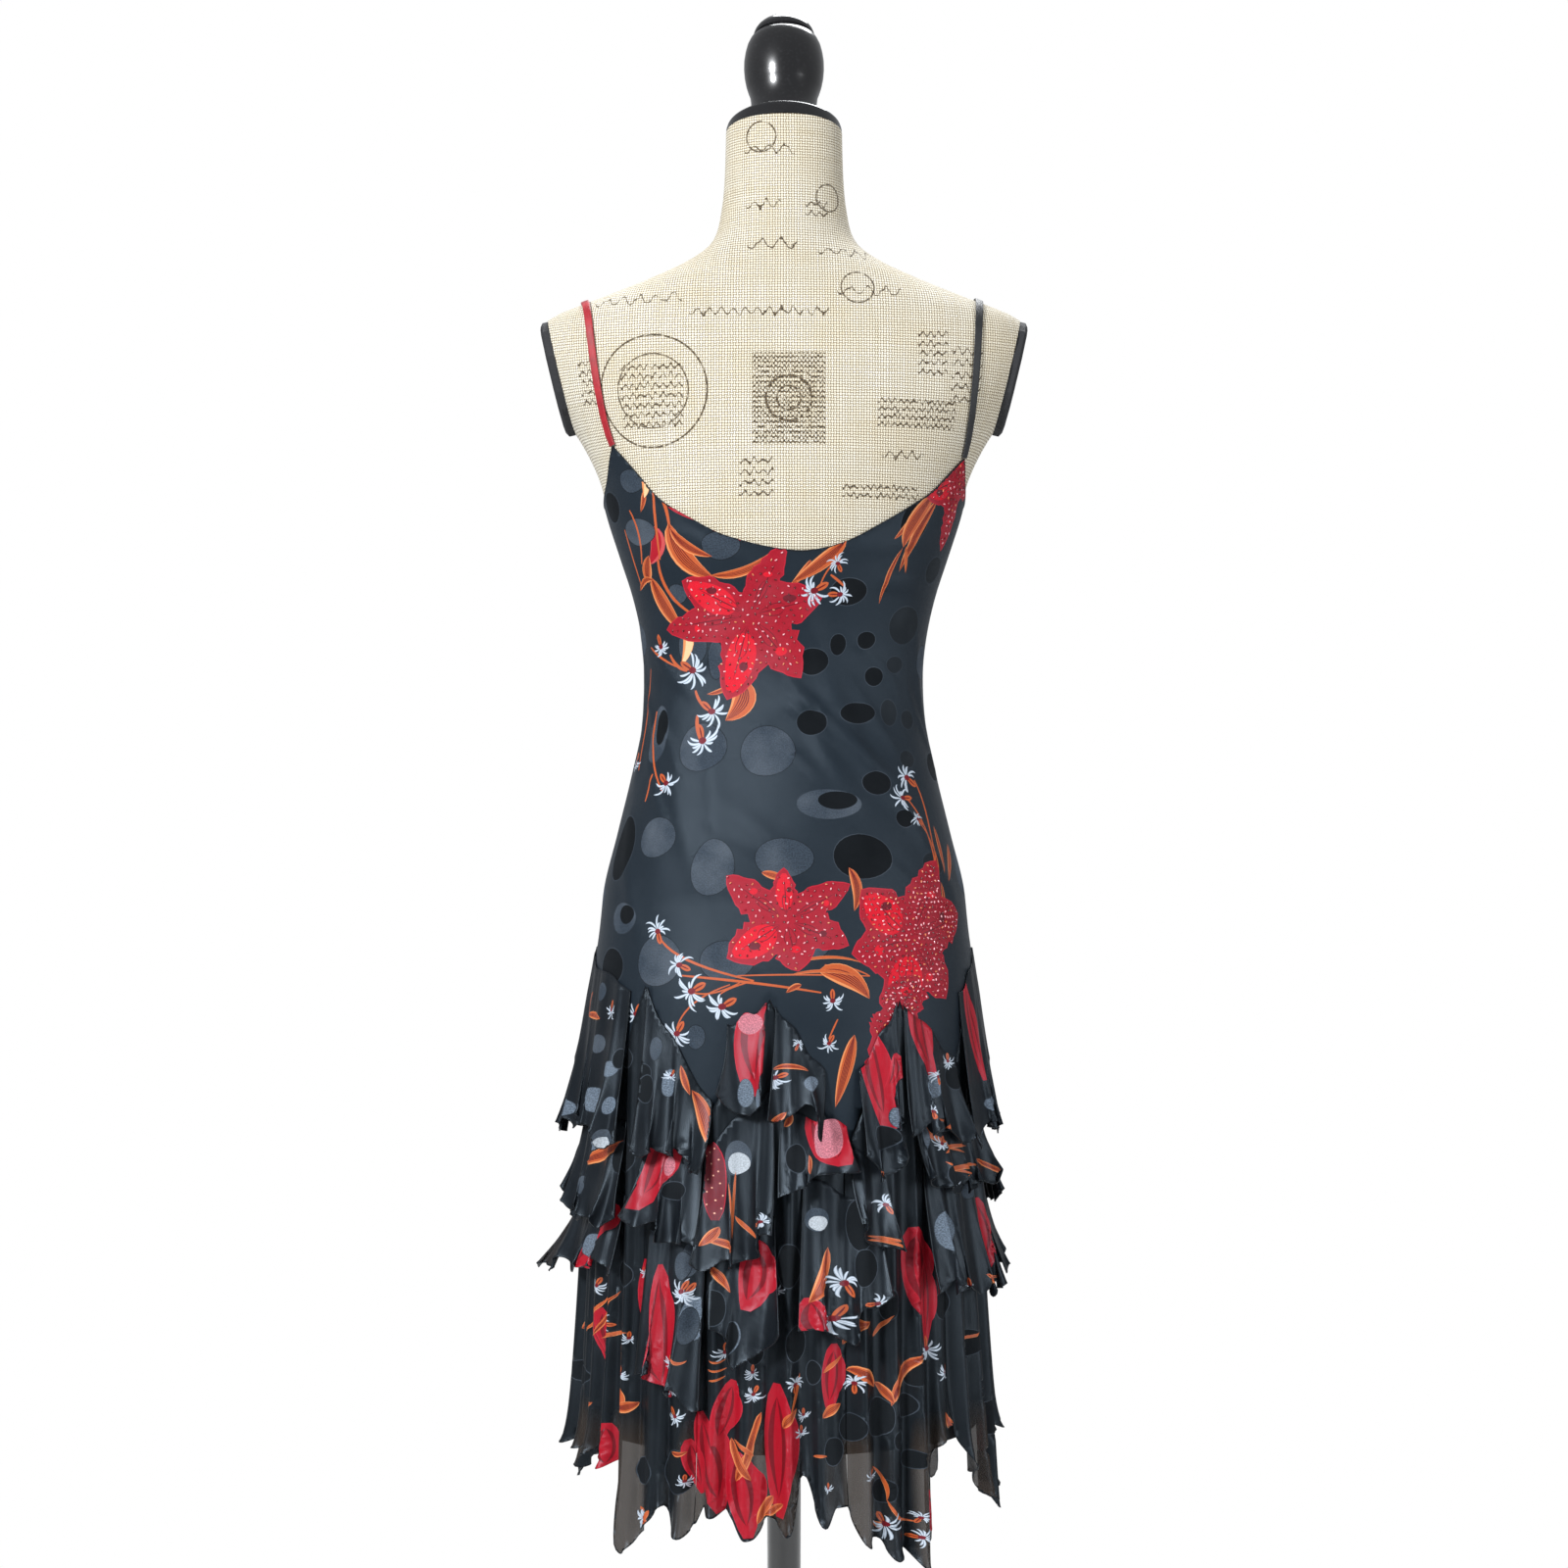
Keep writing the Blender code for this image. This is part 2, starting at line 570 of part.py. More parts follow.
def flounce_heights(row, share):
    """The heights of a flounce's upper and lower edge, a share of the way across it."""
    name, left, right, top_left, top_right, low_left, low_middle, low_right = row[:8]
    top = top_left + (top_right - top_left) * share
    low = straight_value(((0.0, low_left), (0.5, low_middle), (1.0, low_right)), share)
    return top, low


def flounce_point(row, bearing, turn, share, down):
    """A point of a flounce: a share across it, and down it from 0 at the top to 1."""
    out_left, out_right, waves = row[8:]
    reach = FRONT_REACH if turn else 1.0
    top, low = flounce_heights(row, share)
    height = top + (low - top) * down
    corner = reach * (out_left * max(0.0, 1.0 - share / FLOUNCE_CORNER)
                      + out_right * max(0.0, 1.0 - (1.0 - share) / FLOUNCE_CORNER))
    wave = FLOUNCE_WAVE * (0.5 - 0.5 * math.cos(2.0 * math.pi * waves * share))
    out = (FLOUNCE_GAP + FLOUNCE_LIFT * smooth_step(down) + (corner + wave) * down ** 2
           + pleat_out(bearing, height))
    return dress_point(bearing + turn, height, out)


def build_flounce(name, row, turn, material):
    left, right = row[1:3]
    bearings = [left] + [bearing for bearing in skirt_bearings()
                         if left + FLOUNCE_MARGIN < bearing < right - FLOUNCE_MARGIN] + [right]
    rows = FLOUNCE_ROWS_OF_FACES[name.split("_")[1]]
    grid = []
    for bearing in bearings:
        share = (bearing - left) / (right - left)
        grid.append([flounce_point(row, bearing, turn, share, j / rows)
                     for j in range(rows + 1)])
    cloth_wall(name, np.array(grid), material)


# The straps

def form_measure(point):
    """Below 1 inside the form, above 1 outside it, straight between its table's rows."""
    x, y, z = point
    half_width, back, front = [float(np.interp(z, [row[0] for row in FORM_ROWS],
                                               [row[column] for row in FORM_ROWS]))
                               for column in (1, 2, 3)]
    depth = back if y < 0 else front
    return abs(x / half_width) ** SQUARENESS + abs(y / depth) ** SQUARENESS


def on_form(x, turn):
    """The form's surface at a sideways place, looking from STRAP_CENTRE_Z along an angle."""
    direction = np.array((0.0, math.cos(turn), math.sin(turn)))
    start = np.array((x, 0.0, STRAP_CENTRE_Z))
    near = 0.0
    far = FORM_REACH
    for _ in range(HALVINGS):
        middle = 0.5 * (near + far)
        if form_measure(start + middle * direction) < 1.0:
            near = middle
        else:
            far = middle
    return start + near * direction


def form_normal(point):
    probe = 0.0005
    slope = np.array([form_measure(point + probe * axis) - form_measure(point - probe * axis)
                      for axis in np.eye(3)])
    return slope / np.linalg.norm(slope)


def build_strap(name, back_bearing, front_bearing, top_x, material):
    """A flat strap from the back peak of the top edge, over the shoulder, to the front peak."""
    ends = []
    for bearing in (back_bearing, front_bearing):
        height = top_edge_height(bearing) + STRAP_OFF_EDGE
        ends.append(ring_point(form_section(height), bearing, height))
    turns = [math.atan2(end[2] - STRAP_CENTRE_Z, end[1]) for end in ends]
    if turns[0] < 0:
        turns[0] += 2.0 * math.pi
    path = []
    for step in range(STRAP_STEPS + 1):
        share = step / STRAP_STEPS
        turn = turns[0] + (turns[1] - turns[0]) * share
        x = straight_value(((0.0, ends[0][0]), (0.5, top_x), (1.0, ends[1][0])), share)
        path.append(on_form(x, turn))
    path = np.array(path)
    along = np.gradient(path, axis=0)
    grid = []
    for point, direction in zip(path, along):
        normal = form_normal(point)
        side = np.cross(direction, normal)
        side /= np.linalg.norm(side)
        flat = np.cross(side, direction)
        flat /= np.linalg.norm(flat)
        if flat @ normal < 0:
            flat = -flat
        grid.append((point, side, flat))
    mesh_bm = bmesh.new()
    rings = []
    half = 0.5 * STRAP_WIDTH
    for point, side, flat in grid:
        low = point + STRAP_OFF_FORM * flat
        high = low + CLOTH * flat
        rings.append([mesh_bm.verts.new(low - half * side), mesh_bm.verts.new(low + half * side),
                      mesh_bm.verts.new(high + half * side),
                      mesh_bm.verts.new(high - half * side)])
    for first, second in zip(rings[:-1], rings[1:]):
        for step in range(4):
            after = (step + 1) % 4
            mesh_bm.faces.new((first[step], first[after], second[after], second[step]))
    mesh_bm.faces.new(rings[0])
    mesh_bm.faces.new(rings[-1])
    bmesh.ops.recalc_face_normals(mesh_bm, faces=mesh_bm.faces[:])
    new_object(name, mesh_bm, material)


# Materials: name, colour, roughness, metallic
MATERIAL_ROWS = (
    ("linen", (0.52, 0.42, 0.28), 0.9, 0.0),
    ("trim", (0.012, 0.012, 0.014), 0.7, 0.0),
    ("wood", (0.010, 0.010, 0.012), 0.25, 0.0),
    ("satin", (0.022, 0.030, 0.036), 0.5, 0.0),
    ("chiffon", (0.030, 0.034, 0.040), 0.6, 0.0),
    ("lining", (0.010, 0.010, 0.012), 0.6, 0.0),
    ("red", (0.45, 0.02, 0.04), 0.5, 0.0),
)


def build_materials():
    materials = {}
    for name, colour, roughness, metallic in MATERIAL_ROWS:
        material = bpy.data.materials.new(name)
        material.use_nodes = True
        shader = material.node_tree.nodes["Principled BSDF"]
        shader.inputs["Base Color"].default_value = (*colour, 1.0)
        shader.inputs["Roughness"].default_value = roughness
        shader.inputs["Metallic"].default_value = metallic
        materials[name] = material
    return materials


def build_dress(materials):
    build_body("back_body", SIDE_SEAM - HALF_TURN, SIDE_SEAM, BACK_FULL_FROM,
               materials["satin"])
    build_body("front_body", SIDE_SEAM, SIDE_SEAM + HALF_TURN, FRONT_FULL_FROM,
               materials["satin"])
    for (name, back, front, top_x), finish in zip(STRAP_ROWS, ("red", "satin")):
        build_strap(name, back, front, top_x, materials[finish])
    build_lining(materials["lining"])
    for turn, side in ((0.0, "back"), (HALF_TURN, "front")):
        for number, (left, right) in enumerate(godet_spans(), start=1):
            build_godet(f"{side}_godet_{number}", left, right, turn, materials["chiffon"])
        for row in FLOUNCE_ROWS:
            build_flounce(f"{side}_{row[0]}_flounce", row, turn, materials["chiffon"])


def main():
    for old in list(bpy.data.objects):
        bpy.data.objects.remove(old, do_unlink=True)
    materials = build_materials()
    build_form(materials)
    build_dress(materials)


main()
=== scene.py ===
# %% [markdown]
# # A slip dress on a dress form
# The object is a black bias-cut slip with a printed pattern, worn by a limbless dress form. The
# frame comes first: it holds the solids of the part in metres, and the looks are built over them.

# %% Load the frame
import math
import bmesh
import bpy
import numpy as np
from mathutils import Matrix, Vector
from mathutils.geometry import delaunay_2d_cdt


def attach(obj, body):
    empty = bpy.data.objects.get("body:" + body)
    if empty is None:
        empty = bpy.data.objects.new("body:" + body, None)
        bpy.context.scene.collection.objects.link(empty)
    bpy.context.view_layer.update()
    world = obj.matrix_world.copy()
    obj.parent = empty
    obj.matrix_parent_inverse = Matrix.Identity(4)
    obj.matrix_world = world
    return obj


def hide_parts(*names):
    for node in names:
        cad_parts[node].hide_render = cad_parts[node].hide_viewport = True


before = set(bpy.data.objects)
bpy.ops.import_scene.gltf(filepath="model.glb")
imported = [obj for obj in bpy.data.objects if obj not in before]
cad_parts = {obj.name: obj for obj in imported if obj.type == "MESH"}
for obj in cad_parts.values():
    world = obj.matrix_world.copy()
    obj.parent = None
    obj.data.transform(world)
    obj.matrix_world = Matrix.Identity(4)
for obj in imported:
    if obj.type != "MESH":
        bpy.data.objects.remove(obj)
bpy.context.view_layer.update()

# %% [markdown]
# ## The shape of the body
# A dress form is a stack of rounded sections. Each row gives a height, a half width and the depth
# of the back and of the front, and everything between two rows is read on a smooth curve. The
# cloth lies at a bearing and a height: bearing 0 is the middle of the back, 90 is at +X.

# %% The sections
SQUARENESS = 2.2
BODY_EASE = 0.0010
FRONT_EASE = 0.0030
SEAT_HEIGHT = 0.930
FORM_ROWS = (
    (0.8350, 0.1500, 0.1080, 0.1060), (0.8800, 0.1545, 0.1150, 0.1130),
    (0.9300, 0.1545, 0.1170, 0.1170), (0.9830, 0.1420, 0.1110, 0.1160),
    (1.0300, 0.1305, 0.0980, 0.1110), (1.0750, 0.1210, 0.0850, 0.1040),
    (1.1190, 0.1183, 0.0780, 0.0980), (1.1530, 0.1215, 0.0800, 0.1000),
    (1.1870, 0.1290, 0.0870, 0.1060), (1.2210, 0.1400, 0.0950, 0.1130),
    (1.2550, 0.1510, 0.0990, 0.1160), (1.2890, 0.1600, 0.1000, 0.1120),
    (1.3230, 0.1770, 0.0985, 0.1030), (1.3600, 0.2030, 0.0960, 0.0920),
    (1.3900, 0.2180, 0.0920, 0.0840), (1.4120, 0.2180, 0.0880, 0.0780),
    (1.4280, 0.2000, 0.0840, 0.0730), (1.4420, 0.1640, 0.0790, 0.0700),
    (1.4590, 0.1210, 0.0720, 0.0680), (1.4760, 0.0846, 0.0630, 0.0670),
    (1.4930, 0.0630, 0.0540, 0.0660), (1.5200, 0.0545, 0.0450, 0.0640),
    (1.5600, 0.0510, 0.0390, 0.0630), (1.6400, 0.0500, 0.0360, 0.0640),
)
SKIRT_ROWS = (
    (0.3400, 0.1745, 0.1460, 0.1450), (0.4500, 0.1720, 0.1430, 0.1420),
    (0.6000, 0.1680, 0.1380, 0.1370), (0.7500, 0.1660, 0.1350, 0.1340),
    (0.8400, 0.1650, 0.1320, 0.1310), (0.8700, 0.1625, 0.1290, 0.1280),
    (0.9000, 0.1585, 0.1235, 0.1230), (SEAT_HEIGHT, 0.1555, 0.1180, 0.1200),
)
BUST_HEIGHT, BUST_SPACING, BUST_RISE, BUST_SPREAD = 1.238, 0.080, 0.020, 0.048


def read(rows, column, place):
    """Read a column of a table at any places, on a smooth curve through its rows."""
    at = np.array([row[0] for row in rows])
    value = np.array([row[column] for row in rows])
    order = np.arange(len(at))
    before = np.maximum(order - 1, 0)
    after = np.minimum(order + 1, len(at) - 1)
    slope = (value[after] - value[before]) / (at[after] - at[before])
    place = np.clip(np.asarray(place, dtype=float), at[0], at[-1])
    i = np.clip(np.searchsorted(at, place, side="right") - 1, 0, len(at) - 2)
    width = at[i + 1] - at[i]
    t = (place - at[i]) / width
    return ((2 * t ** 3 - 3 * t ** 2 + 1) * value[i] + (t ** 3 - 2 * t ** 2 + t) * width * slope[i]
            + (3 * t ** 2 - 2 * t ** 3) * value[i + 1] + (t ** 3 - t ** 2) * width * slope[i + 1])


def straight(rows, place):
    return np.interp(place, [row[0] for row in rows], [row[1] for row in rows])


def form_section(height):
    return [read(FORM_ROWS, column, height) for column in (1, 2, 3)]


def dress_section(height):
    eases = (BODY_EASE, BODY_EASE, FRONT_EASE)
    return [np.where(height >= SEAT_HEIGHT, read(FORM_ROWS, column, height) + ease,
                     read(SKIRT_ROWS, column, height))
            for column, ease in zip((1, 2, 3), eases)]


def ring(section, bearing, height, out=0.0):
    """Points on horizontal sections, moved outward by a distance."""
    half_width, back, front = section
    sine, cosine = np.sin(np.radians(bearing)), np.cos(np.radians(bearing))
    reach = (np.abs(sine) ** SQUARENESS + np.abs(cosine) ** SQUARENESS) ** (-1 / SQUARENESS)
    depth = np.where(cosine > 0, back, front)
    x, y = half_width * reach * sine, -depth * reach * cosine
    normal_x = np.sign(sine) * np.abs(sine) ** (SQUARENESS - 1) / half_width
    normal_y = -np.sign(cosine) * np.abs(cosine) ** (SQUARENESS - 1) / depth
    length = np.hypot(normal_x, normal_y)
    bust = BUST_RISE * np.exp(-((np.abs(x) - BUST_SPACING) / BUST_SPREAD) ** 2
                              - ((height - BUST_HEIGHT) / BUST_SPREAD) ** 2)
    y = y + np.where(y > 0, bust, 0.0)
    return np.stack((x + out * normal_x / length, y + out * normal_y / length,
                     height + 0.0 * x), axis=-1)


print("waist", round(float(form_section(1.119)[0]) * 2000), "mm wide")

# %% [markdown]
# ## Edges of the dress
# The dress has a scooped top edge with four peaks, a zigzag seam below the hips and an uneven hem.
# They are short tables too, and the front of the skirt repeats the back.

# %% Edges, seam and pleats
HALF_TURN = 180.0
SIDE_SEAM = 84.0
TOP_EDGE_ROWS = (
    (-180.0, 1.2620), (-163.0, 1.2660), (-148.5, 1.2780), (-135.0, 1.2970), (-123.0, 1.3180),
    (-108.0, 1.2850), (-90.0, 1.2650), (-70.0, 1.2800), (-55.0, 1.3110),
    (-48.0, 1.2860), (-41.5, 1.2660), (-31.5, 1.2490), (-19.0, 1.2320), (4.0, 1.2198),
    (19.5, 1.2263), (34.0, 1.2460), (43.0, 1.2600), (51.5, 1.2735), (63.5, 1.3020),
    (75.0, 1.2800), (90.0, 1.2660), (108.0, 1.2850), (123.0, 1.3180), (135.0, 1.2970),
    (148.5, 1.2780), (163.0, 1.2660), (180.0, 1.2620),
)
ZIGZAG_ROWS = (
    (-76.5, 0.8700, -58.5, 0.7350), (-42.5, 0.8590, -24.0, 0.7380),
    (-4.0, 0.8500, 17.0, 0.7230), (34.0, 0.8480, 50.0, 0.7300),
    (66.5, 0.8680, 84.0, 0.7350),
)
HEM_ROWS = (
    (-96.0, 0.4550), (-88.0, 0.4720), (-76.0, 0.4660), (-50.0, 0.4600), (-46.5, 0.4060),
    (-42.0, 0.3990), (-34.5, 0.4340), (-29.5, 0.4210), (-23.5, 0.4190), (-20.5, 0.4430),
    (-8.5, 0.4160), (-3.5, 0.4295), (1.5, 0.4320), (5.0, 0.4610), (10.5, 0.4270),
    (14.0, 0.4410), (20.5, 0.4190), (29.6, 0.4000), (40.2, 0.4045), (43.5, 0.4780),
    (51.5, 0.4860), (57.0, 0.4540), (67.5, 0.4260), (77.0, 0.4216), (84.0, 0.4550),
)
PLEATS_PER_GODET = 4
PLEAT_ROWS = ((0.3400, 0.0170), (0.4500, 0.0140), (0.6000, 0.0085), (0.7400, 0.0040),
              (0.8800, 0.0010))
CREASE_SHARE = 0.30       # a finer fold beside each pleat, as a share of its depth


def in_half_turn(bearing):
    return (np.asarray(bearing) - SIDE_SEAM + HALF_TURN) % HALF_TURN + SIDE_SEAM - HALF_TURN


def zigzag_keys():
    keys = [(SIDE_SEAM - HALF_TURN, ZIGZAG_ROWS[-1][3])]
    for apex, apex_height, point, point_height in ZIGZAG_ROWS:
        keys += [(apex, apex_height), (point, point_height)]
    return keys


POINTS = np.array([SIDE_SEAM - HALF_TURN] + [row[2] for row in ZIGZAG_ROWS])


def pleat_wave(bearing, height):
    """The pleats as a wave from 0 to 1, and a finer fold beside each. No two are alike."""
    place = in_half_turn(bearing)
    which = np.clip(np.searchsorted(POINTS, place, side="right") - 1, 0, len(POINTS) - 2)
    share = (place - POINTS[which]) / (POINTS[which + 1] - POINTS[which])
    sway = 0.8 * np.sin(9.0 * height + 1.7 * which) * np.sin(math.pi * share)
    turn = 2.0 * math.pi * PLEATS_PER_GODET * share
    uneven = 0.76 + 0.26 * np.sin(0.37 * place + 1.0) + 0.18 * np.sin(0.91 * place)
    wave = uneven * (0.5 - 0.5 * np.cos(turn + sway)) ** 1.2
    fine = (0.5 - 0.5 * np.cos(2.6 * turn)) * np.sin(math.pi * share)
    return wave, fine * (0.5 + 0.5 * np.sin(0.7 * place))


def pleat_out(bearing, height):
    wave, fine = pleat_wave(bearing, height)
    return read(PLEAT_ROWS, 1, height) * (wave + CREASE_SHARE * fine)


print("hem from", min(row[1] for row in HEM_ROWS), "to", max(row[1] for row in HEM_ROWS), "m high")

# %% [markdown]
# ## Camera, light and floor
# The camera looks level at the back of the dress. The light is plain and soft: a large lamp on the
# left, a weaker one on the right, one from above and behind, and a dim room all round. The camera
# alone sees that room as white, so that black cloth stays black in front of a white wall.

# %% Camera, lamps and floor
LAMP_COLOUR = (0.96, 0.98, 1.0)
ROOM_COLOUR, ROOM_POWER = (0.95, 0.97, 1.0, 1.0), 0.34
FLOOR_SIZE = 2.2


def area_lamp(name, place, aim, size, power):
    lamp = bpy.data.lights.new(name, "AREA")
    lamp.shape = "DISK"
    lamp.size = size
    lamp.energy = power
    lamp.color = LAMP_COLOUR
    made = bpy.data.objects.new(name, lamp)
    bpy.context.scene.collection.objects.link(made)
    made.location = place
    made.rotation_euler = (Vector(aim) - Vector(place)).to_track_quat("-Z", "Y").to_euler()


CAMERA_BACK, CAMERA_HEIGHT = 2.2, 1.0256
HALF_VIEW = 0.68          # metres from the middle of the picture to its side, at the part
camera_data = bpy.data.cameras.new("camera")
camera_data.angle = 2.0 * math.atan(HALF_VIEW / CAMERA_BACK)
camera = bpy.data.objects.new("camera", camera_data)
bpy.context.scene.collection.objects.link(camera)
camera.location = (0.0, -CAMERA_BACK, CAMERA_HEIGHT)
camera.rotation_euler = (math.radians(90.0), 0.0, 0.0)
bpy.context.scene.camera = camera
area_lamp("key_lamp", (-1.8, -2.5, 2.5), (0, 0, 1.0), 0.9, 138.0)
area_lamp("fill_lamp", (2.4, -2.0, 1.2), (0, 0, 0.9), 1.6, 36.0)
area_lamp("top_lamp", (0.3, 1.2, 3.2), (0, 0, 1.1), 1.4, 60.0)
world = bpy.data.worlds.new("room")
world.use_nodes = True
room = world.node_tree
room.nodes["Background"].inputs["Color"].default_value = ROOM_COLOUR
room.nodes["Background"].inputs["Strength"].default_value = ROOM_POWER
backdrop = room.nodes.new("ShaderNodeBackground")
mix = room.nodes.new("ShaderNodeMixShader")
room.links.new(room.nodes.new("ShaderNodeLightPath").outputs["Is Camera Ray"], mix.inputs[0])
room.links.new(room.nodes["Background"].outputs[0], mix.inputs[1])
room.links.new(backdrop.outputs[0], mix.inputs[2])
room.links.new(mix.outputs[0], room.nodes["World Output"].inputs[0])
backdrop.inputs["Color"].default_value = (1.0, 1.0, 1.0, 1.0)
bpy.context.scene.world = world
bpy.context.scene.view_settings.view_transform = "Standard"
bpy.ops.mesh.primitive_plane_add(size=FLOOR_SIZE, location=(0.0, 0.0, 0.0))
floor = bpy.context.object
floor.name = "floor"
print("camera", [round(x, 3) for x in camera.location], "with", len(bpy.data.lights), "lamps")

# %% [markdown]
# ## Building materials from nodes
# Small helpers keep the node code short. One adds a node with its inputs, others do arithmetic,
# noise and relief, and one opens a reusable group with named sockets.

# %% Node helpers
def feed(tree, node, **inputs):
    """Give a node its inputs, each a value or another node's output. _ stands for a space."""
    for key, value in inputs.items():
        socket = node.inputs[int(key[1:]) if key[1:].isdigit() else key.replace("_", " ")]
        if isinstance(value, bpy.types.NodeSocket):
            tree.links.new(value, socket)
        else:
            socket.default_value = value
    return node


def add(tree, kind, settings=None, **inputs):
    made = tree.nodes.new("ShaderNode" + kind)
    for key, value in (settings or {}).items():
        setattr(made, key, value)
    return feed(tree, made, **inputs)


def calc(tree, operation, a, b=0.0, c=0.0):
    return add(tree, "Math", {"operation": operation}, i0=a, i1=b, i2=c).outputs[0]


def vector(tree, operation, a, b):
    return add(tree, "VectorMath", {"operation": operation}, i0=a, i1=b).outputs[0]


def noise(tree, place, scale, detail=2.0, **inputs):
    return add(tree, "TexNoise", Vector=place, Scale=scale, Detail=detail, **inputs).outputs["Fac"]


def relief(tree, strength, distance, height):
    return add(tree, "Bump", Strength=strength, Distance=distance, Height=height).outputs[0]


def blend(tree, share, a, b):
    return add(tree, "Mix", {"data_type": "RGBA"}, i0=share, i6=a, i7=b).outputs[2]


def spread(tree, value, low, high, to_low=0.0, to_high=1.0):
    """Stretch a range of values to another, and hold them inside it."""
    return add(tree, "MapRange", {"clamp": True}, i0=value, i1=low, i2=high, i3=to_low,
               i4=to_high).outputs[0]


def new_group(name, inputs, outputs):
    group = bpy.data.node_groups.new(name, "ShaderNodeTree")
    for socket_name, kind, value in inputs:
        socket = group.interface.new_socket(socket_name, in_out="INPUT", socket_type=kind)
        if value is not None:
            socket.default_value = value
    for socket_name, kind in outputs:
        group.interface.new_socket(socket_name, in_out="OUTPUT", socket_type=kind)
    return group, group.nodes.new("NodeGroupInput").outputs, group.nodes.new("NodeGroupOutput")


def use(tree, group, **inputs):
    return add(tree, "Group", {"node_tree": group}, **inputs).outputs


def new_material(name):
    material = bpy.data.materials.new(name)
    material.use_nodes = True
    tree = material.node_tree
    return material, tree, tree.nodes["Principled BSDF"]


def linear(colour, alpha=1.0):
    """A colour from 0 to 255, as a screen shows it, in Blender's linear values."""
    share = np.array(colour, dtype=float) / 255.0
    value = np.where(share <= 0.04045, share / 12.92, ((share + 0.055) / 1.055) ** 2.4)
    return (*[float(v) for v in value], alpha)


FLOAT, VECTOR = "NodeSocketFloat", "NodeSocketVector"
floor_material, tree, shader = new_material("pale_floor")
soft = noise(tree, add(tree, "TexCoord").outputs["Object"], 3.0)
feed(tree, shader, Base_Color=blend(tree, soft, (0.86, 0.86, 0.85, 1), (0.90, 0.90, 0.89, 1)),
     Roughness=0.9)
floor.data.materials.append(floor_material)
print("floor finished")

# %% [markdown]
# ## A plain weave
# Jute, satin and chiffon are all woven, so they share one group: two sets of threads that pass
# over and under each other in a checkerboard. Its pattern is measured in metres on the cloth, and
# each material gives it a thread count.

# %% The weave group
UNDER = 0.45              # height of a thread that passes under another, which is at 1


def build_weave():
    group, given, end = new_group(
        "plain weave", (("Place", VECTOR, None), ("Threads", FLOAT, 500.0), ("Wobble", FLOAT, 0.2)),
        (("Height", FLOAT), ("Thread", FLOAT)))
    wobble = add(group, "TexNoise", Vector=given["Place"], Scale=55.0, Detail=2.0).outputs["Color"]
    shift, scaled = [
        add(group, "VectorMath", {"operation": "SCALE"}, i0=what, Scale=size).outputs[0]
        for what, size in ((wobble, given["Wobble"]), (given["Place"], given["Threads"]))]
    moved = vector(group, "ADD", scaled, shift)
    parts = add(group, "SeparateXYZ", Vector=moved).outputs
    waves = [calc(group, "SINE", calc(group, "MULTIPLY", part, math.pi)) for part in parts[:2]]
    over = spread(group, calc(group, "MULTIPLY", *waves), -0.12, 0.12)
    warp, weft = [calc(group, "ABSOLUTE", wave) for wave in waves]
    high_warp = calc(group, "MULTIPLY", warp, spread(group, over, 0.0, 1.0, UNDER, 1.0))
    high_weft = calc(group, "MULTIPLY", weft, spread(group, over, 0.0, 1.0, 1.0, UNDER))
    slub = [noise(group, vector(group, "MULTIPLY", moved, long), 0.9, 3.0)
            for long in ((1.0, 0.05, 1.0), (0.05, 1.0, 1.0))]
    tone = add(group, "Mix", {"data_type": "FLOAT"}, i0=over, i2=slub[1], i3=slub[0]).outputs[0]
    feed(group, end, Height=calc(group, "MAXIMUM", high_warp, high_weft), Thread=tone)
    return group


weave_group = build_weave()
print(len(weave_group.nodes), "nodes in the weave")

# %% [markdown]
# ## Ink marks on the jute
# The jute cover is printed with faded marks. Plain broken rings and rows of wavy strokes stand for
# them: a ring is where the distance from a centre is close to a radius, and a stroke is where the
# height is close to a wave. Noise breaks both up, as dry ink on coarse thread.

# %% The ink groups
INK_FADE = 0.001          # metres over which a row of strokes fades at its ends


def build_ring():
    group, given, end = new_group(
        "ink ring", (("Place", VECTOR, None), ("Centre", VECTOR, (0, 0, 0)),
                     ("Radius", FLOAT, 0.02), ("Line", FLOAT, 0.0008)), (("Mask", FLOAT),))
    away = add(group, "VectorMath", {"operation": "DISTANCE"}, i0=given["Place"],
               i1=given["Centre"]).outputs["Value"]
    off = calc(group, "ABSOLUTE", calc(group, "SUBTRACT", away, given["Radius"]))
    past = calc(group, "SUBTRACT", off, given["Line"])
    feed(group, end, Mask=spread(group, past, 0.0004, -0.0002))
    return group


